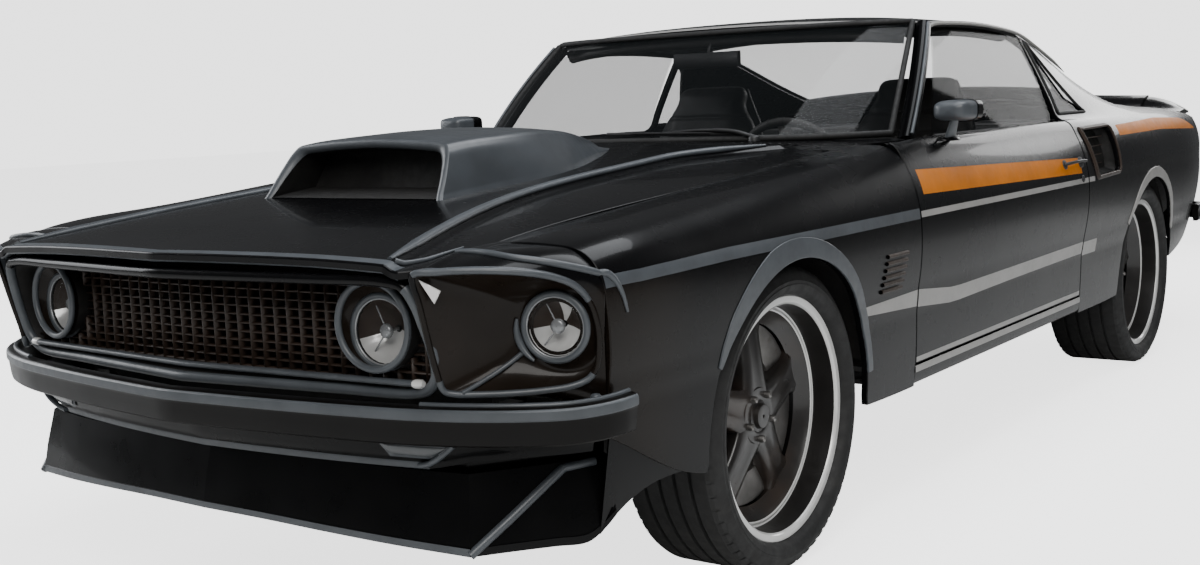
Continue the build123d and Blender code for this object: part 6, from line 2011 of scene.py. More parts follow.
# ---- rockers with a painted highlight line in light grey along their top
rk = Build()
ys = np.unique(np.round(np.concatenate([np.linspace(.6335, 1.9615, 26)]), 4))
rows = []
fs = table_spline(SIDE, lambda r: (*r[0], *r[1]))
for y in ys:
    x0, z0, x1, z1 = fs(y)[0]
    rows.append([(x, y + Y0, z) for x, z in ((.768, .2975), (x0 - .030, .2965), (x0 - .010, .2968), (x0 - .0015, .3010), (x0 + .0005, .3080), (x0 + .0018, .318), (x0 + .0026, .3285),
                                            (x0 + .0048, .3300), (x0 + .0050, .3440), (x0 + .0030, .3462), (x0 - .02, .3468), (.768, .3468))])
R = np.transpose(V(rows), (1, 0, 2))
for a, b2, m in ((0, 3, 0), (2, 7, 0), (6, 10, 1), (9, 12, 0)):
    rows_mesh(rk, R[a:b2], mat=m, out=(.80, 1.3 + Y0, .322))
for k in (0, -1):
    r = R[:, k]
    f = tuple(range(12))
    nn = np.cross(r[1] - r[0], r[4] - r[1])
    d = V([0, -1 if k == 0 else 1, 0])
    rk.add(r, [f if nn @ d > 0 else f[::-1]], [tuple(d)] * 12, 0)
both(rk, "rocker_covers", [M_BODY, M_GREY_TRIM_AND_HIGHLIGHT], "car_body", "body_paint", ["rocker_panels"])

# ---- cowl with its vent slots, and the wipers
us = np.linspace(.5285, .900, 30)
f = natural([.5285, .632, .888, .95], [[.674, .897, .410, .915, .921], [.681, .904, .410, .922, .928], [.740, .912, .410, .940, .948], [.742, .914, .410, .942, .950]])
rows = []
for u in us:
    xe, ze, xm, zm, zc = f(u)[0]
    A = V([[xm ** 2, xm ** 4], [xe ** 2, xe ** 4]])
    a, b2 = np.linalg.solve(A, V([zm - zc, ze - zc]))
    x = np.linspace(xe, -xe, 61)
    rows.append(np.stack([x, np.full(61, u + Y0), zc + a * x ** 2 + b2 * x ** 4], 1))
COWL = Skin(us, rows)
cw = Build()


def foot_y(x):
    return float(np.interp(abs(x), [0, .2, .4, .52, .62, .665, .70, .72], [.600, .611, .648, .690, .760, .812, .885, .90]))


xs = np.linspace(-.695, .695, 41)
outline = [(.5285, COWL.v_of(.5285, 0, x)) for x in np.linspace(-.672, .672, 25)] + [(y, COWL.v[0]) for y in np.linspace(.56, .885, 8)] + \
    [(min(foot_y(x) + .010, .893), COWL.v_of(min(foot_y(x) + .010, .893), 0, x)) for x in xs[::-1]] + [(y, COWL.v[-1]) for y in np.linspace(.885, .56, 8)]
slots_ = []
for s in (1, -1):
    for k in range(11):
        x0 = s * (.300 + k * .0265)
        y0 = .556 + max(0, (abs(x0) - .40)) * .12
        slots_.append([(y0, COWL.v_of(y0, 0, x0 - .0075)), (y0, COWL.v_of(y0, 0, x0 + .0075)), (y0 + .048, COWL.v_of(y0 + .048, 0, x0 + .0075)),
                       (y0 + .048, COWL.v_of(y0 + .048, 0, x0 - .0075))])
sheet_mesh(cw, COWL, outline, slots_, step=.03, vstep=.04, r=.002, flange=.008, loop_step=.012)
cw.add([(-.64, .55 + Y0, .890), (.64, .55 + Y0, .890), (.64, .63 + Y0, .893), (-.64, .63 + Y0, .893)], [(0, 1, 2, 3)], mat=4)
gut = Build()
arc_g = [(.5450 - .0165, .9000), (.5440, .8930)] + [(.440 + .1045 * math.cos(a), .867 - .1045 * math.sin(a)) for a in np.radians([0, 15, 30, 45, 60, 75])] + [(.420, .7635), (.360, .7635)]
for d, o in ((0, (0, .80 + Y0, .60)), (.003, (0, .30 + Y0, 1.0))):
    rows_mesh(gut, [[(x, y + d + Y0, z - d) for x in np.linspace(.692, -.692, 21)] for y, z in arc_g], mat=0, out=o)
gut.object("cowl_gutter", [M_CHASSIS], "car_body", "chassis_black")
cw.object("cowl_skin", BODY, "car_body", "body_paint", ["cowl_panel"])
wp = Build()
for x0, lift in ((.42, 1), (-.16, 1)):
    y0 = foot_y(x0) - .020
    z0 = float(COWL.at([(y0, COWL.v_of(y0, 0, x0))])[0][0][2])
    lathe_rows = [[(x0 + r * math.cos(a), y0 + Y0 + r * math.sin(a), z0 + h) for a in np.linspace(0, 2 * math.pi, 25)[:-1]]
                  for r, h in ((.016, .000), (.0155, .010), (.012, .016), (.0008, .0175))]
    rows_mesh(wp, lathe_rows, wrap=True, mat=0, out=(x0, y0 + Y0, z0 - .1))

    def glass_at(x, t, off):
        s = x / (.700 + (.632 - .700) * t)
        i = (s + 1) / 2 * 40
        row = glass_row(t, off)
        k = int(min(max(math.floor(i), 0), 39))
        return row[k] + (row[k + 1] - row[k]) * (i - k)
    a = V([x0, y0 + Y0, z0 + .012])
    e = glass_at(x0 - .245, .026, .016)
    tube(wp, catmull([a, a + (e - a) * .25 + V([0, 0, .012]), a + (e - a) * .65 + V([0, 0, .010]), e], 6), [.0060] * 10 + [.0045] * 9, 8, mat=0)
    b0, b1 = glass_at(x0 - .040, .030, .008), glass_at(x0 - .46, .105, .008)
    bl = [glass_at(x0 - .040 - .42 * q, .012 + .018 * q, .0110) for q in np.linspace(0, 1, 13)]
    tube(wp, V(bl) + V([0, -.002, .001]), .0042, 8, mat=0, squash=(.7, 1.2))
    tube(wp, [glass_at(x0 - .040 - .42 * q, .012 + .018 * q, .0160) for q in np.linspace(.22, .80, 8)], .0034, 8, mat=0)
wp.object("wipers", [M_PLASTIC], "car_body", "black_plastic")

# ---- door mirrors
mr = Build()
c = V([.8715, .878 + Y0, .985])


def mirror_ring(d, r):
    return [(c[0] + r * 1.20 * np.sign(math.cos(a)) * abs(math.cos(a)) ** .52, c[1] + .048 + d, c[2] - .001 + r * .64 * np.sign(math.sin(a)) * abs(math.sin(a)) ** .52) for a in np.linspace(0, 2 * math.pi, 61)[:-1]]


prof = [(-.0660, .0006), (-.0655, .015), (-.0610, .029), (-.0500, .0375), (-.0300, .0415), (.0100, .0436), (.0440, .0440), (.0520, .0430), (.0520, .0405), (.0400, .0395)]
rows = [mirror_ring(d, r) for d, r in prof]
rows_mesh(mr, rows[:6], wrap=True, mat=2, out=(c[0], c[1] + .03, c[2]))
rows_mesh(mr, rows[5:8], wrap=True, mat=0, out=(c[0], c[1] + .03, c[2]))
rows_mesh(mr, rows[7:], wrap=True, mat=0, out=None)
tube(mr, [V(p) for p in mirror_ring(.0100, .0437)], .0022, 8, closed=True, mat=0)
rows_mesh(mr, [mirror_ring(d, r) for d, r in ((.040, .0395), (.0395, .026), (.039, .0005))], wrap=True, mat=1, out=(c[0], c[1], c[2]))
rows = []
for t in np.linspace(0, 1, 12):
    p = V([.846, .934 + Y0, .905]) * (1 - t) + V([.868, .916 + Y0, .962]) * t
    w, h = .028 - .010 * t, .011 - .002 * t
    rows.append([p + V([h * np.sign(math.cos(a)) * abs(math.cos(a)) ** .8, w * math.sin(a), 0]) for a in np.linspace(0, 2 * math.pi, 25)[:-1]])
rows_mesh(mr, rows, wrap=True, mat=2, out=(.860, .925 + Y0, .93), caps=True)
base = [[(.842 + r * .62 * math.cos(a), .934 + Y0 + r * math.sin(a), .9085 + h) for a in np.linspace(0, 2 * math.pi, 33)[:-1]] for r, h in ((.046, -.004), (.045, .002), (.038, .005), (.02, .006))]
rows_mesh(mr, base, wrap=True, mat=0, out=(.842, .934 + Y0, .87))
pair(mr, "door_mirror", [M_BODY, M_CHROME, M_SLATE], ("left_door", "right_door"), "body_paint", "mirror")

# ---- door handles, locks and louvres on the fenders
dh = Build()
yh, zh = 1.835, .792


def on(skin, y, z, off=0.0):
    P, N = skin.at([(y, skin.v_of(y, 2, z))])
    return P[0] + N[0] * off


pts = [on(DS, yh - .085, zh, .001), on(DS, yh - .080, zh, .014), on(DS, yh - .060, zh, .023), on(DS, yh, zh + .001, .0255), on(DS, yh + .045, zh, .023), on(DS, yh + .060, zh, .016), on(DS, yh + .064, zh, .001)]
tube(dh, catmull(pts, 6), .0065, 10, mat=0, squash=(1.25, .8))
for yc, w in ((yh - .082, .016), (yh + .066, .020)):
    p = on(DS, yc, zh)
    ring = [[on(DS, yc + r * math.cos(a), zh + r * .9 * math.sin(a), d) for a in np.linspace(0, 2 * math.pi, 25)[:-1]] for r, d in ((w, .0002), (w * .96, .0035), (w * .7, .005), (w * .03, .0052))]
    rows_mesh(dh, ring, wrap=True, mat=0, out=tuple(p - V([.2, 0, 0])))
yc, zc_ = yh + .062, zh - .052
ring = [[on(DS, yc + r * math.cos(a), zc_ + r * math.sin(a), d) for a in np.linspace(0, 2 * math.pi, 25)[:-1]] for r, d in ((.0115, .0002), (.0112, .003), (.009, .0042), (.0003, .0042))]
rows_mesh(dh, ring, wrap=True, mat=0, out=tuple(on(DS, yc, zc_) - V([.2, 0, 0])))
pair(dh, "door_handle", [M_PLASTIC], ("left_door", "right_door"), "black_plastic", None)
lv = Build()
for k in range(6):
    z = .560 + k * .0165
    rows = []
    for q, (dz, off) in enumerate(((0, .0002), (.0015, .0048), (.0050, .0062), (.0092, .0048), (.0105, .0002))):
        rows.append([on(SIDE_SKIN, y + .03 * (k / 6), z + dz, off) for y in np.linspace(.405, .520, 9)])
    rows_mesh(lv, rows, mat=0, out=(.6, .46 + Y0, .60))
both(lv, "fender_louvres", [M_MESH], "car_body", "dark_mesh")

# =====================================================================================================
# cabin
# =====================================================================================================
inner = Build()
xin = .7745


def trim_face(y, z):
    """Inner door trim: x of the surface, with its arm rest and pull."""
    ar = math.exp(-((z - .640) / .030) ** 2) * (1 / (1 + math.exp(-(y - 1.05) / .03))) * (1 / (1 + math.exp((y - 1.70) / .03)))
    lower = .012 / (1 + math.exp((z - .50) / .012))
    edge = .010 * math.exp(-min(y - .650, 1.945 - y) / .010) + .010 * math.exp(-(.905 - z) / .010)
    return xin - .004 - .045 * ar - lower + edge


ys, zs = np.linspace(.850, 1.9445, 70), np.linspace(.362, .906, 48)
rows = [[(trim_face(y, z), y + Y0, z) for z in zs] for y in ys]
rows_mesh(inner, rows, mat=0, out=(1.5, 1.3 + Y0, .6))
rows = [[(xin - .0005 if y < .850 else trim_face(y, z), y + Y0, z) for z in zs] for y in (.648, .70, .78, .835, .850)]
# ahead of the trim the door's inner face keeps its hinge pockets, so it's a plain painted jamb
jam = [[(.8775, y + Y0, z) for z in np.linspace(.362, .48, 4)] for y in (.655, .744)]
loop_o = [(y, z) for y, z in [(.6435, z) for z in np.linspace(.358, .86, 12)]]
# jamb skin: from the outer skin's flange to the inner face, at the rear and along the bottom and top
rear = [[(x, 1.9475 - .004 * (x < .79) + Y0, z) for x in np.linspace(.7725, DS.at([(1.94, DS.v_of(1.94, 2, z))])[0][0][0] - .004, 8)] for z in np.linspace(.358, .895, 24)]
rows_mesh(inner, rear, mat=1, out=(.8, 1.0 + Y0, .6))
bot = [[(x, y + Y0, .3585) for x in np.linspace(.7725, .865, 5)] for y in np.linspace(.850, 1.9475, 20)]
rows_mesh(inner, bot, mat=1, out=(.8, 1.3 + Y0, 1.0))
sillp = [[(x, y + Y0, .9085 + .002 * math.sin((x - .77) / .03 * math.pi)) for x in np.linspace(.7705, .803, 6)] for y in np.linspace(.652, 1.9485, 24)]
rows_mesh(inner, sillp, mat=0, out=(.8, 1.3 + Y0, .5))
fw = [[(x, .852 + Y0, z) for x in np.linspace(.7725, .866, 6)] for z in np.linspace(.36, .905, 16)]
frt = [[(xin + .0015, y + Y0, z) for z in (.735, .906)] for y in (.652, .850)]
rows_mesh(inner, frt, mat=1, out=(1.5, .8 + Y0, .8))
frt = [[(xin + .0015, y + Y0, z) for z in (.560, .680)] for y in (.652, .850)]
rows_mesh(inner, frt, mat=1, out=(1.5, .8 + Y0, .6))
frt = [[(xin + .0015, y + Y0, z) for z in (.362, .510)] for y in (.652, .850)]
rows_mesh(inner, frt, mat=1, out=(1.5, .8 + Y0, .45))
# pull, crank and latch lever
tube(inner, catmull([(trim_face(1.12, .665), 1.12 + Y0, .676), (trim_face(1.12, .665) - .030, 1.15 + Y0, .684), (trim_face(1.3, .665) - .034, 1.30 + Y0, .688),
                     (trim_face(1.12, .665) - .030, 1.45 + Y0, .684), (trim_face(1.12, .665), 1.48 + Y0, .676)], 6), .0085, 10, mat=0)
tube(inner, catmull([(xin - .012, 1.03 + Y0, .600), (xin - .030, 1.03 + Y0, .600), (xin - .034, 1.05 + Y0, .585), (xin - .034, 1.105 + Y0, .545)], 5), .0058, 10, mat=2)
tube(inner, [(xin - .020, .985 + Y0, .760), (xin - .028, 1.03 + Y0, .760), (xin - .026, 1.085 + Y0, .757)], .0065, 10, mat=2)
for z in np.arange(.735, .880, .018):
    tube(inner, [(trim_face(y, z) - .0006, y + Y0, z) for y in np.linspace(.90, 1.90, 30)], .0026, 6, mat=0)
pair(inner, "door_trim", [M_VINYL, M_BODY, M_CHROME], ("left_door", "right_door"), "interior_vinyl", None)


# dashboard: a crowned pad with twin hoods, dials and a centre stack
def dash_row(x):
    t = abs(x) / .69
    hood_l = math.exp(-((x - .37) / .17) ** 4)
    hood_r = math.exp(-((x + .37) / .17) ** 4)
    k = max(hood_l, hood_r)
    pts = [(.576, .700), (.576, .872 + .004 * (1 - t)), (.66, .886 + .014 * (1 - t ** 2)), (.735, .888 + .014 * (1 - t ** 2) + .004 * k), (.800 + .034 * k, .878 + .010 * k),
           (.830 + .022 * k, .858 + .006 * k), (.812, .838), (.792, .826 - .004 * k), (.802, .760), (.822, .722), (.816, .704), (.780, .696)]
    pr = rounded(pts, [0, .02, .03, .04, .020, .012, .010, .012, .03, .010, .010, 0], [0] * 11, seg=3, arc=5)
    return [(x, y + Y0, z) for y, z in pr]


dash = Build()
rows_mesh(dash, [dash_row(x) for x in np.linspace(-.695, .695, 71)], mat=0, out=(0, .70 + Y0, .78), caps=True)
for x0, r in ((.300, .044), (.440, .044), (.370, .024), (.235, .026), (.505, .026)):
    c = V([x0, .7965 + Y0, .792])
    rr = [[c + V([q * r * math.cos(a), d + .10 * q * r * math.sin(a) * -1, q * r * math.sin(a)]) for a in np.linspace(0, 2 * math.pi, 41)[:-1]] for q, d in ((1.10, .000), (1.08, .010), (1.0, .012), (.98, .004))]
    rows_mesh(dash, rr, wrap=True, mat=1, out=tuple(c))
    rr = [[c + V([q * r * math.cos(a), .004 - .10 * q * r * math.sin(a), q * r * math.sin(a)]) for a in np.linspace(0, 2 * math.pi, 41)[:-1]] for q in (.98, .5, .02)]
    rows_mesh(dash, rr, wrap=True, mat=2, out=tuple(c - V([0, .2, 0])))
    for k in range(11):
        a = math.radians(225 - 27 * k)
        tube(dash, [c + V([q * r * math.cos(a), .0052 - .10 * q * r * math.sin(a), q * r * math.sin(a)]) for q in (.78, .92)], .0009, 4, mat=3)
    a = math.radians(200)
    tube(dash, [c + V([q * r * math.cos(a), .0062 - .10 * q * r * math.sin(a), q * r * math.sin(a)]) for q in (-.1, .8)], .0011, 4, mat=4)
# centre stack: vents, knobs
for z, hgt in ((.838, .014), (.812, .014)):
    bar(dash, [(-.085, .8235 + Y0, z), (.085, .8235 + Y0, z)], .020, .005, 0)
for x in (-.07, -.025, .025, .07):
    rr = [[(x + q * math.cos(a), .812 + d + Y0, .765 + q * math.sin(a)) for a in np.linspace(0, 2 * math.pi, 21)[:-1]] for q, d in ((.012, -.012), (.0115, .006), (.009, .010), (.0005, .0105))]
    rows_mesh(dash, rr, wrap=True, mat=1, out=(x, .7 + Y0, .765))
dash.object("dash_pad", [M_VINYL, M_CHROME, M_POCKET, M_DIAL, M_ORANGE_REFLECTION_AND_NEEDLE], "car_body", "interior_vinyl", ["dashboard"])

# steering column sleeve, wheel with dished spokes
ax = V([0, math.cos(math.radians(22)), math.sin(math.radians(22))])
X = V([1.0, 0, 0])
Yv = np.cross(ax, X)
o = V([.370, .820 + Y0, .742])
col = Build()
rows_mesh(col, [[o + ax * d + X * r * math.cos(a) + Yv * r * math.sin(a) for a in np.linspace(0, 2 * math.pi, 33)[:-1]]
                for d, r in ((-.075, .030), (.050, .030), (.092, .028), (.108, .0255), (.1095, .0150))], wrap=True, mat=0, out=tuple(o))
tube(col, [o + ax * .075 + X * .026, o + ax * .080 + X * .09 + Yv * .01, o + ax * .085 + X * .145 + Yv * .015], [.0045, .004, .0065], 8, mat=1)
col.object("steering_column", [M_PLASTIC, M_CHROME], "car_body", "black_plastic")
sw = Build()
ang = np.linspace(0, 2 * math.pi, 81)[:-1]
tube(sw, [o + ax * .154 + (X * math.cos(a) + Yv * math.sin(a)) * .1805 for a in ang], .0122, 14, closed=True, mat=0)
for k in range(24):
    a = 2 * math.pi * k / 24
    d = X * math.cos(a) + Yv * math.sin(a)
    tube(sw, [o + ax * .154 + d * .1805 + d * .0125 * math.cos(b) + ax * .0125 * math.sin(b) for b in np.linspace(0, 2 * math.pi, 13)[:-1]], .0011, 4, closed=True, mat=0)
for a in (math.radians(90), math.radians(210), math.radians(330)):
    d = X * math.cos(a) + Yv * -math.sin(a)
    e = np.cross(ax, d)
    rows = []
    for q in np.linspace(0, 1, 12):
        r = .030 + (.172 - .030) * q
        w = .020 - .006 * math.sin(math.pi * q) + .004 * q
        h = .1435 + .0095 * q
        rows.append([o + d * r + e * w * u2 + ax * (h + v2) for u2, v2 in ((-1, 0), (-.8, .0035), (.8, .0035), (1, 0), (.8, -.0025), (-.8, -.0025))])
    rows_mesh(sw, rows, wrap=True, mat=1, out=tuple(o + d * .1 + ax * .148), caps=True)
    for q in (.062, .090, .118):
        ring = [[o + d * q + (d * math.cos(b) + e * math.sin(b)) * r2 + ax * (.1435 + .0095 * (q - .03) / .142 + dz) for b in np.linspace(0, 2 * math.pi, 17)[:-1]] for r2, dz in ((.0068, .0036), (.0060, .0046), (.0050, .0036))]
        rows_mesh(sw, ring, wrap=True, mat=2, out=tuple(o + d * q))
rows_mesh(sw, [[o + ax * d + X * r * math.cos(a) + Yv * r * math.sin(a) for a in np.linspace(0, 2 * math.pi, 41)[:-1]]
               for d, r in ((.1115, .0110), (.128, .0150), (.134, .034), (.150, .036), (.158, .034), (.164, .026), (.1665, .014), (.1670, .0006))], wrap=True, mat=3, out=tuple(o + ax * .15))
sw.object("steering_wheel_rim", [M_VINYL, M_STEEL, M_POCKET, M_PLASTIC], "steering_wheel", "interior_vinyl", ["steering_wheel"])

# ---- rear view mirror, sun visors, shift lever, console and pedals
rm = Build()
rows = [[(x, 1.105 + Y0 + d + .012 * (x / .12) ** 2 * -1, 1.158 + z) for d, z in ((-.010, -.022), (-.014, 0), (-.010, .022), (.004, .024), (.008, .020), (.008, -.020), (.004, -.024))] for x in np.linspace(-.115, .115, 17)]
rows_mesh(rm, rows, wrap=True, mat=0, out=(0, 1.105 + Y0, 1.158), caps=True)
rows = [[(x, 1.1145 + Y0 - .012 * (x / .12) ** 2, 1.158 + z) for z in (-.018, .018)] for x in np.linspace(-.108, .108, 13)]
rows_mesh(rm, rows, mat=1, out=(0, .5 + Y0, 1.158))
tube(rm, [(0, 1.100 + Y0, 1.165), (0, 1.112 + Y0, 1.195), (0, 1.128 + Y0, 1.218)], .006, 8, mat=0)
rm.object("rear_view_mirror", [M_PLASTIC, M_CHROME], "car_body", "black_plastic")
sv_ = Build()
for s in (1, -1):
    rows = []
    for t in np.linspace(0, 1, 15):
        x = s * (.100 + .40 * t)
        rows.append([(x, 1.170 + Y0 + yv, 1.214 + zv - .015 * t) for yv, zv in ((-.012, .002), (0, .010), (.07, .016), (.128, .018), (.135, .012), (.128, .006), (.07, .003), (0, -.003))])
    rows_mesh(sv_, rows, wrap=True, mat=0, out=(s * .3, 1.235 + Y0, 1.2215), caps=True)
sv_.object("sun_visors", [M_VINYL], "car_body", "interior_vinyl")
cn = Build()
rows = []
for y in np.linspace(.86, 1.70, 22):
    t = (y - .86) / .84
    w = .096 + .010 * math.sin(math.pi * t)
    h = .500 + .034 * math.sin(math.pi * min(1, t * 1.1)) + .05 * max(0, t - .62)
    pr = rounded([(-w - .012, .440), (-w, .475), (-w + .010, h), (0, h + .003), (w - .010, h), (w, .475), (w + .012, .440)], [0, .01, .014, .05, .014, .01, 0], [0] * 6, seg=3, arc=4)
    rows.append([(x, y + Y0, z) for x, z in pr])
rows_mesh(cn, rows, mat=0, out=(0, 1.3 + Y0, .45), caps=True)
boot = [[(r * math.cos(a), 1.12 + Y0 + r * 1.2 * math.sin(a), z) for a in np.linspace(0, 2 * math.pi, 33)[:-1]]
        for r, z in ((.056, .532), (.054, .542), (.044, .546), (.047, .554), (.034, .560), (.037, .568), (.024, .574), (.027, .582), (.013, .592), (.0060, .600))]
rows_mesh(cn, boot, wrap=True, mat=1, out=(0, 1.12 + Y0, .5))
tube(cn, [(0, 1.12 + Y0, .59), (0, 1.128 + Y0, .66), (0, 1.135 + Y0, .712)], .0055, 10, mat=2)
rows_mesh(cn, [[(r * math.cos(a), 1.137 + Y0 + r * math.sin(a), .722 + d) for a in np.linspace(0, 2 * math.pi, 25)[:-1]]
               for r, d in ((.006, -.016), (.018, -.010), (.0225, .002), (.019, .014), (.010, .020), (.0005, .0215))], wrap=True, mat=3, out=(0, 1.137 + Y0, .722))
cn.object("centre_console", [M_VINYL, M_RUBBER, M_CHROME, M_PLASTIC], "car_body", "interior_vinyl")
pdl = Build()
for x, z, w, h in ((.22, .435, .026, .075), (.335, .490, .038, .028), (.450, .490, .034, .028)):
    rows = [[(x + dx, .700 + Y0 - (zz - z) * .35 + dy, zz) for dx, dy in ((-w, .010), (-w * .9, .016), (w * .9, .016), (w, .010), (w * .9, .004), (-w * .9, .004))] for zz in np.linspace(z - h, z + h, 9)]
    rows_mesh(pdl, rows, wrap=True, mat=0, out=(x, .710 + Y0, z), caps=True)
    for zz in np.linspace(z - h * .8, z + h * .8, 5 if h < .05 else 11):
        tube(pdl, [(x - w * .8, .7165 + Y0 - (zz - z) * .35, zz), (x + w * .8, .7165 + Y0 - (zz - z) * .35, zz)], .0018, 5, mat=0)
    tube(pdl, [(x, .703 + Y0, z + h * .5), (x, .660 + Y0, .60), (x, .640 + Y0, .70)], .008, 8, mat=1)
pdl.object("pedals", [M_RUBBER, M_STEEL], "car_body", "black_plastic")


# ---- seats: high-backed buckets in front, a divided bench behind
def ring_section(cx, cyz, half_w, half_t, tdir, ndir, power=3.2, n=40):
    pts = []
    for a in np.linspace(0, 2 * math.pi, n + 1)[:-1]:
        ca, sa = math.cos(a), math.sin(a)
        x = half_w * np.sign(ca) * abs(ca) ** (2 / power)
        t = half_t * np.sign(sa) * abs(sa) ** (2 / power)
        pts.append(V([cx + x, cyz[0] + ndir[0] * t, cyz[1] + ndir[1] * t]))
    return V(pts)


def cushion(name, cx, line, slot_name, body, nodes=(), channels=0, fill=.6, power=3.4, skirt=None, seams=()):
    """A padded form along a centre line of (y, z, half width, half thickness) in the seat's side view."""
    L = catmull(line, 7)
    T = unit(np.gradient(L[:, :2], axis=0))
    rows = []
    n = len(L)
    for i, (p, t) in enumerate(zip(L, T)):
        nn = (-t[1], t[0])
        e = min(i, n - 1 - i)
        k = {0: .40, 1: .72, 2: .90, 3: .975}.get(e, 1.0)
        rows.append(ring_section(cx, (p[0] + Y0, p[1]), p[2] * (.93 + .07 * k), p[3] * k, t, nn, power))
    b = Build()
    rows_mesh(b, rows, wrap=True, mat=0, out=tuple(V(rows).reshape(-1, 3).mean(0)))
    for r, q in ((rows[0], rows[1]), (rows[-1], rows[-2])):
        c = r.mean(0) + (r.mean(0) - q.mean(0)) * .3
        m = len(r)
        b.add(np.vstack([r, [c]]), [(j, (j + 1) % m, m) for j in range(m)], mat=0)
    return b, L, T, rows


def modified(ob, kind, **settings):
    """Adds one modifier, applies it to the mesh, and leaves none behind."""
    m = ob.modifiers.new("step", kind)
    for k, v in settings.items():
        setattr(m, k, v)
    dg = bpy.context.evaluated_depsgraph_get()
    me = bpy.data.meshes.new_from_object(ob.evaluated_get(dg), depsgraph=dg)
    ob.modifiers.clear()
    old = ob.data
    ob.data = me
    bpy.data.meshes.remove(old)


def coords(me):
    co = np.zeros(len(me.vertices) * 3)
    me.vertices.foreach_get("co", co)
    return co.reshape(-1, 3)


def stuffed(b, name, mat, cap, pressure=4.0, voxel=.0095):
    """The closed form as one skin, blown up a little like a sewn pad over foam."""
    me = bpy.data.meshes.new(name)
    me.from_pydata([tuple(p) for p in np.concatenate(b.v)], [], b.f)
    me.materials.append(mat)
    ob = bpy.data.objects.new(name, me)
    bpy.context.scene.collection.objects.link(ob)
    modified(ob, "REMESH", mode="VOXEL", voxel_size=voxel)
    start = coords(ob.data)
    m = ob.modifiers.new("pad", "CLOTH")
    st = m.settings
    st.quality = 4
    st.mass = .25
    st.use_pressure = True
    st.uniform_pressure_force = pressure
    st.tension_stiffness = st.compression_stiffness = st.shear_stiffness = 22
    st.bending_stiffness = 2.5
    st.effector_weights.gravity = 0
    m.point_cache.frame_start, m.point_cache.frame_end = 1, 20
    sc = bpy.context.scene
    for fr in range(1, 21):
        sc.frame_set(fr)
    dg = bpy.context.evaluated_depsgraph_get()
    moved = coords(ob.evaluated_get(dg).to_mesh())
    ob.modifiers.clear()
    sc.frame_set(1)
    d = moved - start
    l = np.linalg.norm(d, axis=1, keepdims=True)
    end = start + d * np.minimum(1, cap / np.maximum(l, 1e-9))
    ob.data.vertices.foreach_set("co", end.ravel())
    ob.data.update()
    modified(ob, "SUBSURF", levels=1, render_levels=1)
    return ob


def sewn(ob, depth, lines):
    """Presses sewn lines into the pad: each line is a function of a point giving its distance from the seam."""
    me = ob.data
    me.update()
    co = coords(me)
    nr = np.zeros(len(me.vertices) * 3)
    me.vertices.foreach_get("normal", nr)
    nr = nr.reshape(-1, 3)
    press = np.zeros(len(co))
    for fn in lines:
        d, where = fn(co, nr)
        press = np.maximum(press, np.exp(-(d / .0058) ** 2) * where)
    co -= nr * (press * depth)[:, None]
    me.vertices.foreach_set("co", co.ravel())
    me.update()
    me.polygons.foreach_set("use_smooth", [True] * len(me.polygons))


def finish_pad(ob, body, nodes=(), mirror=False):
    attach(ob, body)
    if nodes:
        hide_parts(*nodes)
    out = [ob]
    if mirror:
        me = ob.data.copy()
        co = coords(me)
        co[:, 0] *= -1
        me.vertices.foreach_set("co", co.ravel())
        me.flip_normals()
        me.update()
        o2 = bpy.data.objects.new(ob.name.replace("left_", "right_"), me)
        bpy.context.scene.collection.objects.link(o2)
        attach(o2, body)
        out.append(o2)
    return out


SX = .395
base_line = [(1.176, .470, .212, .020), (1.185, .505, .222, .044), (1.215, .516, .228, .054), (1.300, .515, .232, .056), (1.450, .496, .232, .054), (1.560, .484, .228, .052), (1.600, .484, .222, .040)]
b, L, T, rows = cushion("seat", SX, base_line, "seat_vinyl", "car_body")
seat_base = stuffed(b, "left_seat_cushion", M_SEAT, .010)


def along_x(at, y0=-9, y1=9, up=.45, z0=-9):
    return lambda co, nr: (np.abs(co[:, 0] - at), ((nr[:, 2] > up) & (co[:, 1] - Y0 > y0) & (co[:, 1] - Y0 < y1)).astype(float))


def ring_top(half_w, cx, y0, y1):
    return lambda co, nr: (np.abs(np.maximum(np.abs(co[:, 0] - cx) - half_w, np.maximum(y0 - (co[:, 1] - Y0), (co[:, 1] - Y0) - y1))), (nr[:, 2] > .35).astype(float))


lines = [along_x(SX + q, 1.225, 1.60) for q in (-.125, -.075, -.025, .025, .075, .125)] + [ring_top(.172, SX, 1.222, 1.9)]
sewn(seat_base, .006, lines)
finish_pad(seat_base, "car_body", ["front_seats"], mirror=True)

back_line = [(1.628, .545, .205, .034), (1.640, .570, .222, .050), (1.660, .640, .232, .056), (1.690, .760, .232, .052), (1.720, .860, .222, .048), (1.745, .940, .196, .044),
             (1.768, 1.010, .150, .042), (1.788, 1.062, .138, .038), (1.798, 1.088, .120, .024)]
b, L, T, rows = cushion("back", SX, back_line, "seat_vinyl", "car_body")
seat_back = stuffed(b, "left_seat_back", M_SEAT, .010)


def front_face(at, z0, z1, cx=SX):
    return lambda co, nr: (np.abs(co[:, 0] - (cx + at)), ((nr[:, 1] < -.45) & (co[:, 2] > z0) & (co[:, 2] < z1)).astype(float))


def level(z, w, cx=SX):
    return lambda co, nr: (np.abs(co[:, 2] - z), ((nr[:, 1] < -.2) & (np.abs(co[:, 0] - cx) < w)).astype(float))


sewn(seat_back, .006, [front_face(q, .60, .905) for q in (-.125, -.075, -.025, .025, .075, .125)] + [level(.905, .17), level(.975, .16)] +
     [front_face(s * .172, .56, .905) for s in (1, -1)])
finish_pad(seat_back, "car_body", mirror=True)

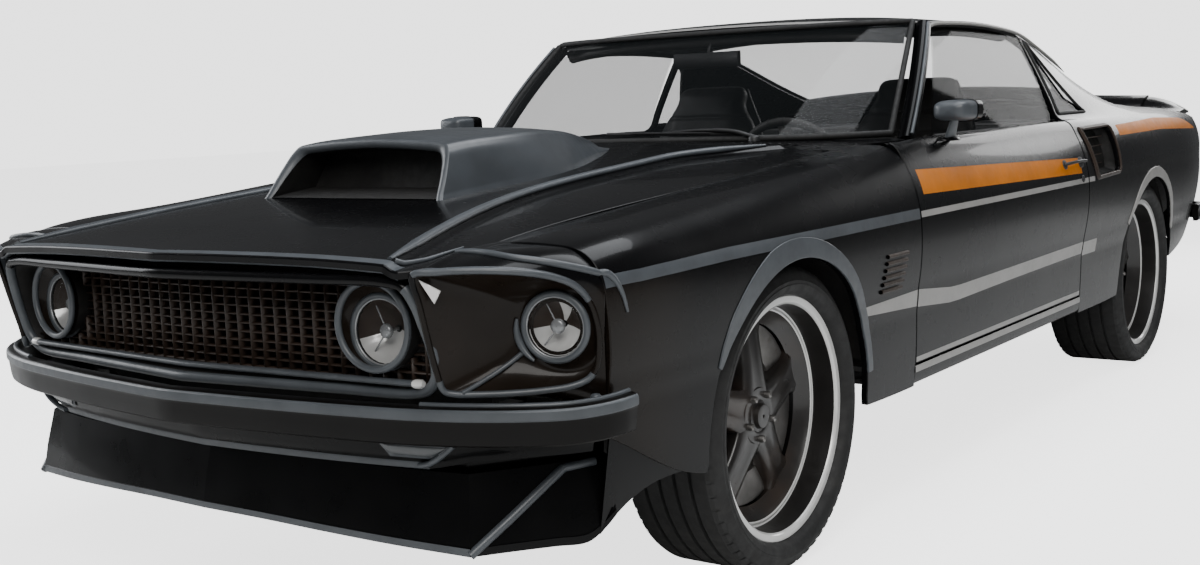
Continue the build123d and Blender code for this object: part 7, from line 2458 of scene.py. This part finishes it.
# seat frames: a pedestal, a hard back shell, an arm each side at the back's foot and rails underneath
sf_ = Build()
for s in (1, -1):
    x0 = s * SX
    rows = []
    for z, w, y0, y1 in ((.313, .175, 1.285, 1.640), (.330, .178, 1.280, 1.645), (.400, .190, 1.240, 1.650), (.445, .205, 1.205, 1.660), (.462, .212, 1.190, 1.665)):
        pr = rounded([(-w, y0), (w, y0), (w, y1), (-w, y1), (-w, y0)], [.03] * 5, [0] * 4, seg=6, arc=6)[:-1]
        rows.append([(x0 + a, y + Y0, z) for a, y in pr])
    rows_mesh(sf_, rows, wrap=True, mat=0, out=(x0, 1.45 + Y0, .40), caps=True)
    back = []
    for y, z, w, t in ((1.700, .470, .200, .016), (1.712, .560, .222, .020), (1.738, .700, .226, .020), (1.765, .840, .216, .018), (1.792, .950, .186, .016), (1.815, 1.030, .140, .014), (1.826, 1.070, .120, .010)):
        back.append(ring_section(x0, (y + Y0, z), w, t, None, (.97, -.22), 4.5, 40))
    rows_mesh(sf_, back, wrap=True, mat=0, out=(x0, 1.76 + Y0, .78), caps=True)
    for q in (1, -1):
        tube(sf_, catmull([(x0 + q * .212, 1.655 + Y0, .470), (x0 + q * .222, 1.69 + Y0, .52), (x0 + q * .222, 1.70 + Y0, .58)], 5), .011, 10, mat=1)
        tube(sf_, [(x0 + q * .165, 1.22 + Y0, .320), (x0 + q * .165, 1.70 + Y0, .320)], .010, 8, mat=1)
sf_.object("front_seat_frames", [M_PLASTIC, M_STEEL], "car_body", "black_plastic")

rb_line = [(2.008, .425, .180, .020), (2.020, .462, .192, .046), (2.075, .474, .196, .056), (2.200, .462, .196, .052), (2.290, .455, .192, .040)]
b, L, T, rows = cushion("rear", .368, rb_line, "seat_vinyl", "car_body")
rear_base = stuffed(b, "left_rear_cushion", M_SEAT, .009)
sewn(rear_base, .006, [along_x(.368 + q, 2.05, 2.28) for q in (-.10, -.05, 0, .05, .10)] + [ring_top(.145, .368, 2.045, 2.9)])
finish_pad(rear_base, "car_body", ["rear_seat"], mirror=True)
rbk = [(2.292, .500, .180, .030), (2.305, .540, .192, .044), (2.335, .640, .196, .050), (2.365, .740, .194, .046), (2.395, .830, .186, .040), (2.414, .872, .172, .022)]
b, L, T, rows = cushion("rear_back", .368, rbk, "seat_vinyl", "car_body")
rear_back = stuffed(b, "left_rear_back", M_SEAT, .009)
sewn(rear_back, .006, [front_face(q, .56, .84, .368) for q in (-.10, -.05, 0, .05, .10)] + [level(.84, .15, .368)] + [front_face(s * .145, .54, .84, .368) for s in (1, -1)])
finish_pad(rear_back, "car_body", mirror=True)

# ---- engine: block, heads with ribbed covers, intake, air cleaner, manifolds, pulleys and fan
en = Build()
sec_l = rounded([(-.130, .331), (.130, .331), (.172, .400), (.236, .505), (.290, .592), (.228, .668), (.150, .700), (-.150, .700), (-.228, .668), (-.290, .592), (-.236, .505), (-.172, .400), (-.130, .331)],
                [.012] * 13, [0] * 12, seg=4, arc=4)[:-1]
cx_, cz_ = 0, .52
rows = []
for y, q in ((-.238, .94), (-.232, .985), (-.222, 1.0), (-.060, 1.0), (-.056, .985), (-.050, .985), (-.046, 1.0), (.200, 1.0), (.204, .985), (.210, .985), (.214, 1.0), (.384, 1.0), (.394, .985), (.399, .94)):
    rows.append([(x * q, y + Y0, cz_ + (z - cz_) * q) for x, z in sec_l])
rows_mesh(en, rows, wrap=True, mat=0, out=(0, .08 + Y0, .52), caps=True)
sump = rounded([(-.115, -.225), (.115, -.225), (.115, .385), (-.115, .385), (-.115, -.225)], [.03] * 5, [0] * 4, seg=6, arc=5)[:-1]
for s in (1, -1):
    ux, uz = .80 * s, -.60          # along the cover's width
    nx_, nz_ = .60 * s, .80         # out of its top
    cc = V([s * .222, 0, .668])
    rows = []
    for h, w, l in ((-.010, .062, .262), (.004, .062, .262), (.008, .057, .257), (.040, .053, .253), (.048, .046, .246), (.050, .036, .236)):
        lp_ = rounded([(-w, -l), (w, -l), (w, l), (-w, l), (-w, -l)], [.018] * 5, [0] * 4, seg=8, arc=5)[:-1]
        rows.append([(cc[0] + ux * a + nx_ * h, .080 + b2 + Y0, cc[2] + uz * a + nz_ * h) for a, b2 in lp_])
    rows_mesh(en, rows, wrap=True, mat=1, out=(cc[0] - nx_ * .2, .08 + Y0, cc[2] - nz_ * .2), caps=True)
    for k in range(7):
        a = -.030 + k * .010
        tube(en, [(cc[0] + ux * a + nx_ * .0505, .080 + b2 + Y0, cc[2] + uz * a + nz_ * .0505) for b2 in np.linspace(-.205, .205, 3)], .0022, 6, mat=2)
    rows = [[(cc[0] + ux * r * math.cos(a) + nx_ * h, -.09 + r * math.sin(a) + Y0, cc[2] + uz * r * math.cos(a) + nz_ * h) for a in np.linspace(0, 2 * math.pi, 25)[:-1]]
            for r, h in ((.018, .050), (.018, .068), (.015, .072), (.0005, .073))]
    rows_mesh(en, rows, wrap=True, mat=3, out=(cc[0], -.09 + Y0, cc[2]))
    for k in range(4):
        y = -.130 + k * .140
        tube(en, catmull([(s * .262, y + Y0, .600), (s * .300, y + Y0, .575), (s * .315, y + .02 + Y0, .520), (s * .290, y + .05 + Y0, .470)], 4), .019, 12, mat=4)
    tube(en, [(s * .290, y + Y0, .470) for y in np.linspace(-.12, .34, 8)], .024, 14, mat=4)
inl = rounded([(-.085, -.160), (.085, -.160), (.085, .330), (-.085, .330), (-.085, -.160)], [.03] * 5, [0] * 4, seg=6, arc=5)[:-1]
rows_mesh(en, [[(x * q, .085 + (y - .085) * q + Y0, z) for x, y in inl] for z, q in ((.690, 1.06), (.712, 1.0), (.722, .90), (.724, .7))], wrap=True, mat=2, out=(0, .08 + Y0, .66), caps=True)
cap_p = [(.722, .050), (.740, .052), (.742, .118), (.744, .158), (.748, .165), (.752, .165), (.754, .160), (.790, .160), (.792, .165), (.796, .166), (.800, .160), (.806, .120), (.807, .060), (.8075, .022), (.812, .020), (.818, .017), (.820, .0008)]
rows_mesh(en, [[(r * math.cos(a), .085 + r * math.sin(a) + Y0, z) for a in np.linspace(0, 2 * math.pi, 61)[:-1]] for z, r in cap_p], wrap=True, mat=3, out=None)
for k in range(72):
    a = 2 * math.pi * k / 72
    tube(en, [(.1605 * math.cos(a), .085 + .1605 * math.sin(a) + Y0, z) for z in (.755, .789)], .0024, 5, mat=5, caps=False)
for cx0, cz0, r0, y0 in ((0, .430, .078, -.262), (0, .600, .066, -.268), (.170, .585, .040, -.262), (-.185, .540, .045, -.262)):
    pr = [(.024, .012), (.024, r0 * .55), (.018, r0 * .62), (.014, r0 * .90), (.014, r0), (.009, r0), (.004, r0 * .90), (-.001, r0), (-.006, r0), (-.010, r0 * .6), (-.024, r0 * .5)]
    rows_mesh(en, [[(cx0 + r * math.cos(a), y0 - d + Y0, cz0 + r * math.sin(a)) for a in np.linspace(0, 2 * math.pi, 41)[:-1]] for d, r in pr], wrap=True, mat=4, out=None)
for cyl in ((.170, .585, .048), (-.185, .540, .050)):
    rows_mesh(en, [[(cyl[0] + r * math.cos(a), y + Y0, cyl[1] + r * math.sin(a)) for a in np.linspace(0, 2 * math.pi, 31)[:-1]] for y, r in ((-.252, .020), (-.250, cyl[2]), (-.232, cyl[2] + .006), (-.160, cyl[2] + .006), (-.148, cyl[2]), (-.146, .01))],
              wrap=True, mat=4, out=(cyl[0], -.20 + Y0, cyl[1]))
hub_y = -.306
for k in range(6):
    a = 2 * math.pi * k / 6
    rows = []
    for q in np.linspace(0, 1, 7):
        r = .045 + .150 * q
        w = .020 + .016 * q
        rows.append([(r * math.cos(a) - t * w * math.sin(a), hub_y + t * .012 + Y0, .600 + r * math.sin(a) + t * w * math.cos(a)) for t in (-1, -.5, 0, .5, 1)])
    rows_mesh(en, rows, mat=4, out=(0, hub_y + .5 + Y0, .6))
    rows_mesh(en, V(rows) + V([0, .0022, 0]), mat=4, out=(0, hub_y - .5 + Y0, .6))
rows_mesh(en, [[(r * math.cos(a), y + Y0, .600 + r * math.sin(a)) for a in np.linspace(0, 2 * math.pi, 31)[:-1]] for y, r in ((-.272, .030), (-.296, .030), (-.300, .052), (-.312, .052), (-.316, .030), (-.322, .026), (-.324, .0008))],
          wrap=True, mat=2, out=(0, -.29 + Y0, .6))
belt = [(.079 * math.cos(a), .430 + .079 * math.sin(a)) for a in np.linspace(math.pi * 1.02, math.pi * 1.98, 12)] + [(.170 + .041 * math.cos(a), .585 + .041 * math.sin(a)) for a in np.linspace(-.35, 1.35, 8)] + \
       [(.067 * math.cos(a), .600 + .067 * math.sin(a)) for a in np.linspace(1.45, 2.0, 5)] + [(-.185 + .046 * math.cos(a), .540 + .046 * math.sin(a)) for a in np.linspace(2.0, 3.6, 8)]
tube(en, [(x, -.268 + Y0, z) for x, z in belt], .0045, 6, closed=True, mat=5, squash=(1.0, 1.6))
tube(en, catmull([(.060, -.235 + Y0, .690), (.100, -.330 + Y0, .715), (.170, -.480 + Y0, .705), (.200, -.636 + Y0, .672)], 6), .021, 14, mat=5)
tube(en, catmull([(-.070, -.235 + Y0, .450), (-.120, -.350 + Y0, .420), (-.190, -.500 + Y0, .400), (-.210, -.636 + Y0, .400)], 6), .021, 14, mat=5)
dist = [[(r * math.cos(a), .372 + r * math.sin(a) + Y0, z) for a in np.linspace(0, 2 * math.pi, 25)[:-1]] for z, r in ((.690, .022), (.735, .022), (.738, .036), (.765, .036), (.772, .026), (.774, .0008))]
rows_mesh(en, dist, wrap=True, mat=5, out=(0, .372 + Y0, .73))
for k in range(8):
    s = 1 if k < 4 else -1
    a = 2 * math.pi * (k + .5) / 8
    y1 = -.130 + (k % 4) * .140
    tube(en, catmull([(.024 * math.cos(a), .372 + .024 * math.sin(a) + Y0, .772), (s * .050, .350 + Y0, .790), (s * .120, .300 - (k % 4) * .0 + Y0, .752 - .004 * (k % 4)), (s * .165, .5 * (y1 + .30) + Y0, .748), (s * .236, y1 + Y0, .650), (s * .268, y1 + Y0, .612)], 4), .0036, 7, mat=5)
en.object("engine_assembly", [M_CAST, M_CAST, M_ALLOY, M_CHROME, M_STEEL, M_PLASTIC], "car_body", "cast_block", ["engine_block"])
rad = Build()
shr = rounded([(-.300, .380), (.300, .380), (.300, .690), (-.300, .690), (-.300, .380)], [.05] * 5, [0] * 4, seg=8, arc=6)[:-1]
rings_ = []
for y, q in ((-.636, 1.0), (-.600, .98), (-.560, .86)):
    rings_.append([(x * q * (1 if q > .9 else .72), y + Y0, .545 + (z - .535) * q) for x, z in shr])
rows_mesh(rad, rings_, wrap=True, mat=0, out=(0, -.60 + Y0, .54))
tube(rad, V(rings_[-1]), .004, 6, closed=True, mat=0)
rows_mesh(rad, [[(x + r * math.cos(a), -.668 + r * math.sin(a) + Y0, z) for a in np.linspace(0, 2 * math.pi, 25)[:-1]] for z, r in ((.700, .022), (.712, .022), (.713, .028), (.722, .028), (.725, .020), (.726, .0006)) for x in (-.18,)], wrap=True, mat=1, out=(-.18, -.668 + Y0, .71))
rows_mesh(rad, [[(x, y + Y0, z) for x in np.linspace(-.335, .335, 9)] for y, z in ((-.698, .7005), (-.690, .706), (-.650, .706), (-.642, .7005))], mat=1, out=(0, -.67 + Y0, .60))
rad.object("fan_shroud", [M_PLASTIC, M_STEEL], "car_body", "black_plastic")

# ---- exhaust, fuel tank and rear axle
def rings(b, path, radii, centre_xz, mat=0, sides=28, flat=1.0):
    x0, z0 = centre_xz
    rr = [[(x0 + r * math.cos(a), y + Y0, z0 + r * flat * math.sin(a)) for a in np.linspace(0, 2 * math.pi, sides + 1)[:-1]] for y, r in zip(path, radii)]
    rows_mesh(b, rr, wrap=True, mat=mat, out=None)
    return rr


ex = Build()
down = catmull([(.232, .150 + Y0, .520), (.262, .270 + Y0, .430), (.262, .400 + Y0, .318), (.252, .520 + Y0, .266), (.250, .640 + Y0, .262), (.250, .900 + Y0, .262), (.250, 1.300 + Y0, .262), (.250, 1.640 + Y0, .262)], 6)
tube(ex, down, .0255, 20, mat=0)
tube(ex, [(.250, y + Y0, .262) for y in np.linspace(2.10, 3.60, 10)], .0240, 20, mat=0)
my = [1.646, 1.650, 1.656, 1.664, 1.670, 1.676, 1.684, 1.760, 1.764, 1.772, 1.776, 1.890, 2.004, 2.008, 2.016, 2.020, 2.096, 2.104, 2.110, 2.116, 2.124, 2.130, 2.134]
mr_ = [.0280, .0440, .0560, .0618, .0618, .0590, .0585, .0585, .0605, .0605, .0585, .0585, .0585, .0605, .0605, .0585, .0585, .0590, .0618, .0618, .0560, .0440, .0280]
body_r = [[(.250 + r * math.cos(a), y + Y0, .232 + r * .98 * math.sin(a)) for a in np.linspace(0, 2 * math.pi, 41)[:-1]] for y, r in zip(my, mr_)]
rows_mesh(ex, body_r, wrap=True, mat=0, out=(.250, 1.89 + Y0, .232))
for y in (.700, 1.560, 2.180, 3.400):
    c_r = [[(.250 + r * math.cos(a), y + d + Y0, .262 + r * math.sin(a)) for a in np.linspace(0, 2 * math.pi, 25)[:-1]] for d, r in ((-.011, .0250), (-.010, .0290), (.010, .0290), (.011, .0250))]
    rows_mesh(ex, c_r, wrap=True, mat=1, out=(.250, y + Y0, .262))
    bar(ex, [(.250, y + Y0, .288), (.250, y + Y0, .298 if y < 2.3 else .425)], .016, .004, 1)
tip_y = [3.560, 3.570, 3.600, 3.700, 3.7270, 3.7290, 3.7285, 3.7250, 3.700]
tip_r = [.0242, .0262, .0268, .0269, .0269, .0262, .0246, .0238, .0236]
tip_rows = [[(.250 + r * math.cos(a), y + Y0, .262 + r * math.sin(a)) for a in np.linspace(0, 2 * math.pi, 33)[:-1]] for y, r in zip(tip_y, tip_r)]
rows_mesh(ex, tip_rows[:7], wrap=True, mat=2, out=(.250, 3.60 + Y0, .262))
bore = [[(.250 + r * math.cos(a), y + Y0, .262 + r * math.sin(a)) for a in np.linspace(0, 2 * math.pi, 33)[:-1]] for y, r in ((3.7285, .0246), (3.7250, .0238), (3.700, .0236), (3.640, .0236), (3.638, .0005))]
n_ = len(bore[0])
vv = V(bore).reshape(-1, 3)
ex.add(vv, [(j * n_ + k, j * n_ + (k + 1) % n_, (j + 1) * n_ + (k + 1) % n_, (j + 1) * n_ + k) for j in range(4) for k in range(n_)], mat=3)
both(ex, "exhaust_pipes", [M_STEEL, M_CHASSIS, M_CHROME, M_POCKET], "car_body", "steel", ["exhaust"])

ft = Build()
rows = []
for z, q in ((.3005, .060), (.3020, .042), (.3060, .030), (.3150, .018), (.3300, .0125), (.3590, .0115), (.3600, .0005), (.3655, .0005), (.3665, .0115), (.3950, .0125), (.4130, .018), (.4220, .030), (.4270, .042), (.4285, .060)):
    pr = rounded([(-.19 + q, 3.08 + q), (.19 - q, 3.08 + q), (.19 - q, 3.56 - q), (-.19 + q, 3.56 - q), (-.19 + q, 3.08 + q)], [.045] * 5, [0] * 4, seg=8, arc=7)[:-1]
    rows.append([(x, y + Y0, z) for x, y in pr])
rows_mesh(ft, rows, wrap=True, mat=0, out=(0, 3.32 + Y0, .36), caps=True)
for x in (-.105, .105):
    st_p = rounded([(3.0905, .428), (3.0905, .312), (3.112, .2990), (3.528, .2990), (3.5495, .312), (3.5495, .428)], [0, .02, .02, .02, .02, 0], [0] * 5, seg=4, arc=5)
    rows_mesh(ft, [[(x + q, y + Y0, z) for y, z in st_p] for q in (-.014, .014)], mat=1, out=(x, 3.32 + Y0, .38))
    for q in (-.0145, .0145):
        tube(ft, [(x + q, y + Y0, z) for y, z in st_p], .0015, 6, mat=1)
for x, y in ((-.15, 3.13), (.15, 3.13), (-.15, 3.51), (.15, 3.51), (0, 3.32)):
    boss = [[(x + r * math.cos(a), y + Y0 + r * math.sin(a), h) for a in np.linspace(0, 2 * math.pi, 21)[:-1]] for r, h in ((.013, .3015), (.012, .2985), (.008, .2978), (.0006, .2976))]
    rows_mesh(ft, boss, wrap=True, mat=1, out=(x, y + Y0, .34))
ft.object("fuel_tank_shell", [M_STEEL, M_CHASSIS], "car_body", "steel", ["fuel_tank"])

ax = Build()
half_ax = [(.772, .0225), (.640, .0225), (.632, .060), (.612, .064), (.604, .064), (.600, .038), (.330, .0375), (.190, .0390), (.165, .0480), (.140, .0500), (.118, .0700), (.085, .0960), (.045, .1140), (.0, .1195)]
prof_ax = [(-x, r) for x, r in half_ax] + half_ax[::-1][1:]
lathe(ax, prof_ax, (0, WHEELBASE + Y0, AXLE_Z), 1, 56, mat=0)
nose = [(2.616, .0300), (2.618, .0440), (2.630, .0460), (2.640, .0460), (2.646, .0480), (2.668, .0620), (2.70, .0760)]
rows_mesh(ax, [[(r * math.cos(a), y + Y0, .350 + r * math.sin(a)) for a in np.linspace(0, 2 * math.pi, 33)[:-1]] for y, r in nose], wrap=True, mat=0, out=(0, 2.72 + Y0, .350))
cover = [(2.835, .1060), (2.842, .1050), (2.844, .0960), (2.852, .0850), (2.860, .060), (2.863, .030), (2.864, .0008)]
rows_mesh(ax, [[(r * math.cos(a), y + Y0, AXLE_Z + r * math.sin(a)) for a in np.linspace(0, 2 * math.pi, 41)[:-1]] for y, r in [(2.80, .1060)] + cover], wrap=True, mat=0, out=(0, 2.78 + Y0, AXLE_Z))
for k in range(10):
    a = 2 * math.pi * (k + .5) / 10
    x0, z0 = .098 * math.cos(a), AXLE_Z + .098 * math.sin(a)
    rows_mesh(ax, [[(x0 + r * math.cos(q), y + Y0, z0 + r * math.sin(q)) for q in np.linspace(0, 2 * math.pi, 7)[:-1]] for y, r in ((2.842, .0065), (2.849, .0065), (2.850, .0050), (2.8502, .0004))],
              wrap=True, mat=1, out=(x0, 2.83 + Y0, z0))
for s in (1, -1):
    for q in (-.027, .027):
        tube(ax, catmull([(s * (.522 + q), 2.700 + Y0, .258), (s * (.522 + q), 2.703 + Y0, .345), (s * (.522 + q), 2.720 + Y0, .372), (s * (.522 + q), 2.743 + Y0, .3795), (s * (.522 + q), 2.766 + Y0, .372),
                          (s * (.522 + q), 2.783 + Y0, .345), (s * (.522 + q), 2.786 + Y0, .258)], 4), .0055, 8, mat=1)
ax.object("rear_axle_housing", [M_CHASSIS, M_STEEL], "car_body", "steel", ["rear_axle"])

# ---- headliner, rear package tray, side trims beside the rear seat, sills and carpets
hl_ = Build()
rows = []
for y in np.linspace(1.15, 2.42, 40):
    if y <= 1.955:
        P = TS.row(y)
        z_edge = .026
    else:
        P = BACK.row(min(y, 3.0))
    xs = np.linspace(-.60, .60, 31)
    order = np.argsort(P[:, 0])
    zz = np.interp(xs, P[order, 0], P[order, 2]) - .030
    rows.append([(x, y + Y0, z) for x, z in zip(xs, zz)])
keep_rows = [r for r in rows if r[0][1] - Y0 < 1.95]
rows_mesh(hl_, keep_rows, mat=0, out=(0, 1.5 + Y0, 3))
for y in (1.32, 1.50, 1.68, 1.86):
    k = int(np.argmin([abs(r[0][1] - Y0 - y) for r in keep_rows]))
    tube(hl_, V(keep_rows[k]) + V([0, 0, -.001]), .0035, 6, mat=0)
for s in (1, -1):
    tube(hl_, [(s * .612, y + Y0, 1.205 + .012 * math.sin((y - 1.2) / .75 * math.pi)) for y in np.linspace(1.215, 1.955, 20)], .015, 10, mat=0, squash=(1.3, 1))
hl_.object("headliner", [M_VINYL], "car_body", "interior_vinyl")
tray = Build()
rows = [[(x, y + Y0, .903 + .004 * math.sin((y - 2.44) / .54 * math.pi)) for x in np.linspace(-.555, .555, 23)] for y in np.linspace(2.442, 2.99, 12)]
rows_mesh(tray, rows, mat=0, out=(0, 2.7 + Y0, .5))
for x in (-.36, .36):
    rr = [[(x + r * 1.35 * math.cos(a), 2.70 + Y0 + r * math.sin(a), .9085 + h) for a in np.linspace(0, 2 * math.pi, 41)[:-1]] for r, h in ((.082, -.002), (.080, .004), (.070, .006), (.066, .003), (.001, .004))]
    rows_mesh(tray, rr, wrap=True, mat=1, out=(x, 2.7 + Y0, .8))
for s in (1, -1):
    rows_mesh(tray, [[(s * x, y + Y0, .8965 + .003 * (x - .55)) for x in np.linspace(.548, .836, 9)] for y in np.linspace(2.352, 3.0, 14)], mat=2, out=(s * .7, 2.7 + Y0, .5))
    rows_mesh(tray, [[(s * x, 2.353 + Y0, z) for x in np.linspace(.548, .836, 9)] for z in np.linspace(.897, .40, 12)], mat=2, out=(s * .7, 2.9 + Y0, .6))
rows_mesh(tray, [[(x, y + Y0, z) for x in np.linspace(-.745, .745, 25)] for y, z in ((2.300, .3150), (2.352, .3190), (2.372, .3350), (2.376, .42), (2.390, .88), (2.440, .9015))], mat=2,
          out=(0, 2.9 + Y0, .2))
wall = catmull([(.560, .4445, 0), (.640, .4480, 0), (.700, .480, 0), (.738, .560, 0), (.745, .680, 0), (.728, .800, 0), (.690, .885, 0), (.662, .912, 0)], 4)
for s in (1, -1):
    rows_mesh(tray, [[(s * x, y + Y0, z) for x, z, _ in wall] for y in np.linspace(3.100, 3.690, 16)], mat=0, out=(s * 1.2, 3.3 + Y0, .55))
    rows_mesh(tray, [[(s * x, y + Y0, z) for y, z in ((2.380, .5715), (2.99, .5715), (3.035, .4445))] for x in np.linspace(.560, .600, 3)], mat=0, out=(s * .6, 2.8 + Y0, .2))
for k in range(1, 12):
    x = -.55 + k * .0917
    tube(tray, [(x, y + Y0, .4415) for y in np.linspace(3.06, 3.66, 5)], .0042, 6, mat=0, squash=(1.6, .8))
tray.object("package_tray", [M_CARPET, M_PLASTIC, M_VINYL], "car_body", "interior_vinyl")
st_ = Build()
rows = [[(.742 - .018 * math.exp(-((z - .62) / .05) ** 2), y + Y0, z) for z in np.linspace(.36, .925, 20)] for y in np.linspace(1.985, 2.36, 14)]
rows_mesh(st_, rows, mat=0, out=(2, 2.15 + Y0, .6))
rows = [[(x, y + Y0, .925 + .003 * math.sin((x - .742) / .05 * math.pi)) for x in np.linspace(.742, .798, 5)] for y in np.linspace(1.985, 2.36, 14)]
rows_mesh(st_, rows, mat=0, out=(.77, 2.15 + Y0, .5))
rows = [[(x, 1.9835 + Y0, z) for x in np.linspace(.742, .80, 4)] for z in np.linspace(.36, .925, 16)]
rows_mesh(st_, rows, mat=0, out=(.77, 2.5 + Y0, .6))
rows = [[(.700, y + Y0, z) if z > .96 else (.742 - (z - .925) * .6, y + Y0, z) for z in (.925, .94)] for y in np.linspace(1.985, 2.36, 8)]
sp_ = [[(.764 + d, y + Y0, .3475 + h) for d, h in ((-.150, -.030), (-.045, -.034), (-.020, -.010), (-.004, .0008), (.010, .0025), (.060, .0022), (.078, .0008))] for y in np.linspace(.66, 1.955, 30)]
rows_mesh(st_, sp_, mat=1, out=(.76, 1.3 + Y0, -.5))
for q in range(5):
    tube(st_, [(.775 + q * .0125, y + Y0, .3500) for y in np.linspace(.70, 1.92, 14)], .0015, 5, mat=1)
both(st_, "side_trims", [M_VINYL, M_STEEL], "car_body", "interior_vinyl")



# =====================================================================================================
# CAD nodes that keep their own shape, the floor, the light and the camera
# =====================================================================================================
KEEP = {"chassis_black": M_CHASSIS, "steel": M_STEEL, "cast_block": M_CAST, "interior_vinyl": M_VINYL, "black_plastic": M_PLASTIC, "body_paint": M_BODY,
        "slate_trim": M_SLATE, "seat_vinyl": M_SEAT, "clear_glass": M_GLASS, "lamp_glass": M_LAMPGLASS, "red_lens": M_RED, "tyre_rubber": M_TYRE,
        "wheel_alloy": M_ALLOY, "bumper_paint": M_BUMPER, "dark_mesh": M_MESH}
slots = {p["node"]: p["material_slot"] for p in frame["record"]["subparts"]}
for name, ob in NODES.items():
    ob.data.materials.clear()
    ob.data.materials.append({"floor_pan": M_CARPET, "suspension": M_CHASSIS, "gearbox_and_shaft": M_CAST}.get(name, KEEP[slots[name]]))
    ob.data.polygons.foreach_set("material_index", [0] * len(ob.data.polygons))

bpy.ops.mesh.primitive_plane_add(size=60, location=(0, 0, 0))
floor = bpy.context.object
floor.name = "studio_floor"
floor_m = shade("studio_floor", (0.80, 0.80, 0.79), rough=1.0, vary=0.012, vary_scale=.6, spec=0.0)
floor.data.materials.append(floor_m)
fn, fl_ = floor_m.node_tree.nodes, floor_m.node_tree.links
lp, k_ = fn.new("ShaderNodeLightPath"), fn.new("ShaderNodeMath")
k_.operation = "MULTIPLY"
k_.inputs[1].default_value = 2.3
fl_.new(lp.outputs["Is Camera Ray"], k_.inputs[0])
fn["Principled BSDF"].inputs["Emission Color"].default_value = (1, 1, 1, 1)
fl_.new(k_.outputs["Value"], fn["Principled BSDF"].inputs["Emission Strength"])


def area(name, loc, target, size, power, color=(1, 1, 1), size_y=None):
    d = bpy.data.lights.new(name, "AREA")
    d.shape = "RECTANGLE"
    d.size, d.size_y = size, size_y or size
    d.energy = power
    d.color = color
    o = bpy.data.objects.new(name, d)
    o.location = loc
    o.rotation_euler = (Vector(target) - Vector(loc)).to_track_quat("-Z", "Y").to_euler()
    bpy.context.scene.collection.objects.link(o)
    return o


area("key", (4.2, -6.5, 5.5), (0, 0, .4), 4.5, 420, (1, .985, .96))
area("over", (1.0, -.4, 4.6), (.9, -.4, .5), 6.0, 215, (.93, .96, 1), size_y=2.6)
area("far_side", (-6.5, -2.5, 3.2), (0, 0, .6), 4.5, 300, (.95, .97, 1))
area("tail", (1.0, 5.2, 2.3), (.6, .6, .95), 2.6, 60, size_y=1.3)
world = bpy.data.worlds.new("studio")
bpy.context.scene.world = world
world.use_nodes = True
wn, wl_ = world.node_tree.nodes, world.node_tree.links
bg = wn["Background"]
bg.inputs["Color"].default_value = (0.90, 0.92, 0.95, 1)
bg.inputs["Strength"].default_value = 0.12
pale = wn.new("ShaderNodeBackground")
pale.inputs["Color"].default_value = (1.0, 1.0, 1.0, 1)
pale.inputs["Strength"].default_value = 2.6
seen, path_n = wn.new("ShaderNodeMixShader"), wn.new("ShaderNodeLightPath")
wl_.new(path_n.outputs["Is Camera Ray"], seen.inputs["Fac"])
wl_.new(bg.outputs["Background"], seen.inputs[1])
wl_.new(pale.outputs["Background"], seen.inputs[2])
wl_.new(seen.outputs["Shader"], wn["World Output"].inputs["Surface"])

YAW, PITCH, ROLL = math.radians(35.95), math.radians(7.17), math.radians(-2.23)
view = V([-math.sin(YAW) * math.cos(PITCH), math.cos(YAW) * math.cos(PITCH), -math.sin(PITCH)])
r_ = unit(np.cross(view, V([0, 0, 1.0])))
u_ = np.cross(r_, view)
right, up = math.cos(ROLL) * r_ + math.sin(ROLL) * u_, -math.sin(ROLL) * r_ + math.cos(ROLL) * u_
cam_data = bpy.data.cameras.new("camera")
cam_data.sensor_width = 36
cam_data.lens = 1423.9 / 1200 * 36
cam_data.clip_end = 200
cam = bpy.data.objects.new("camera", cam_data)
bpy.context.scene.collection.objects.link(cam)
M = Matrix([[right[k], up[k], -view[k], c] for k, c in zip(range(3), (2.319, -4.091, 1.039))] + [[0, 0, 0, 1]])
cam.matrix_world = M
bpy.context.scene.camera = cam
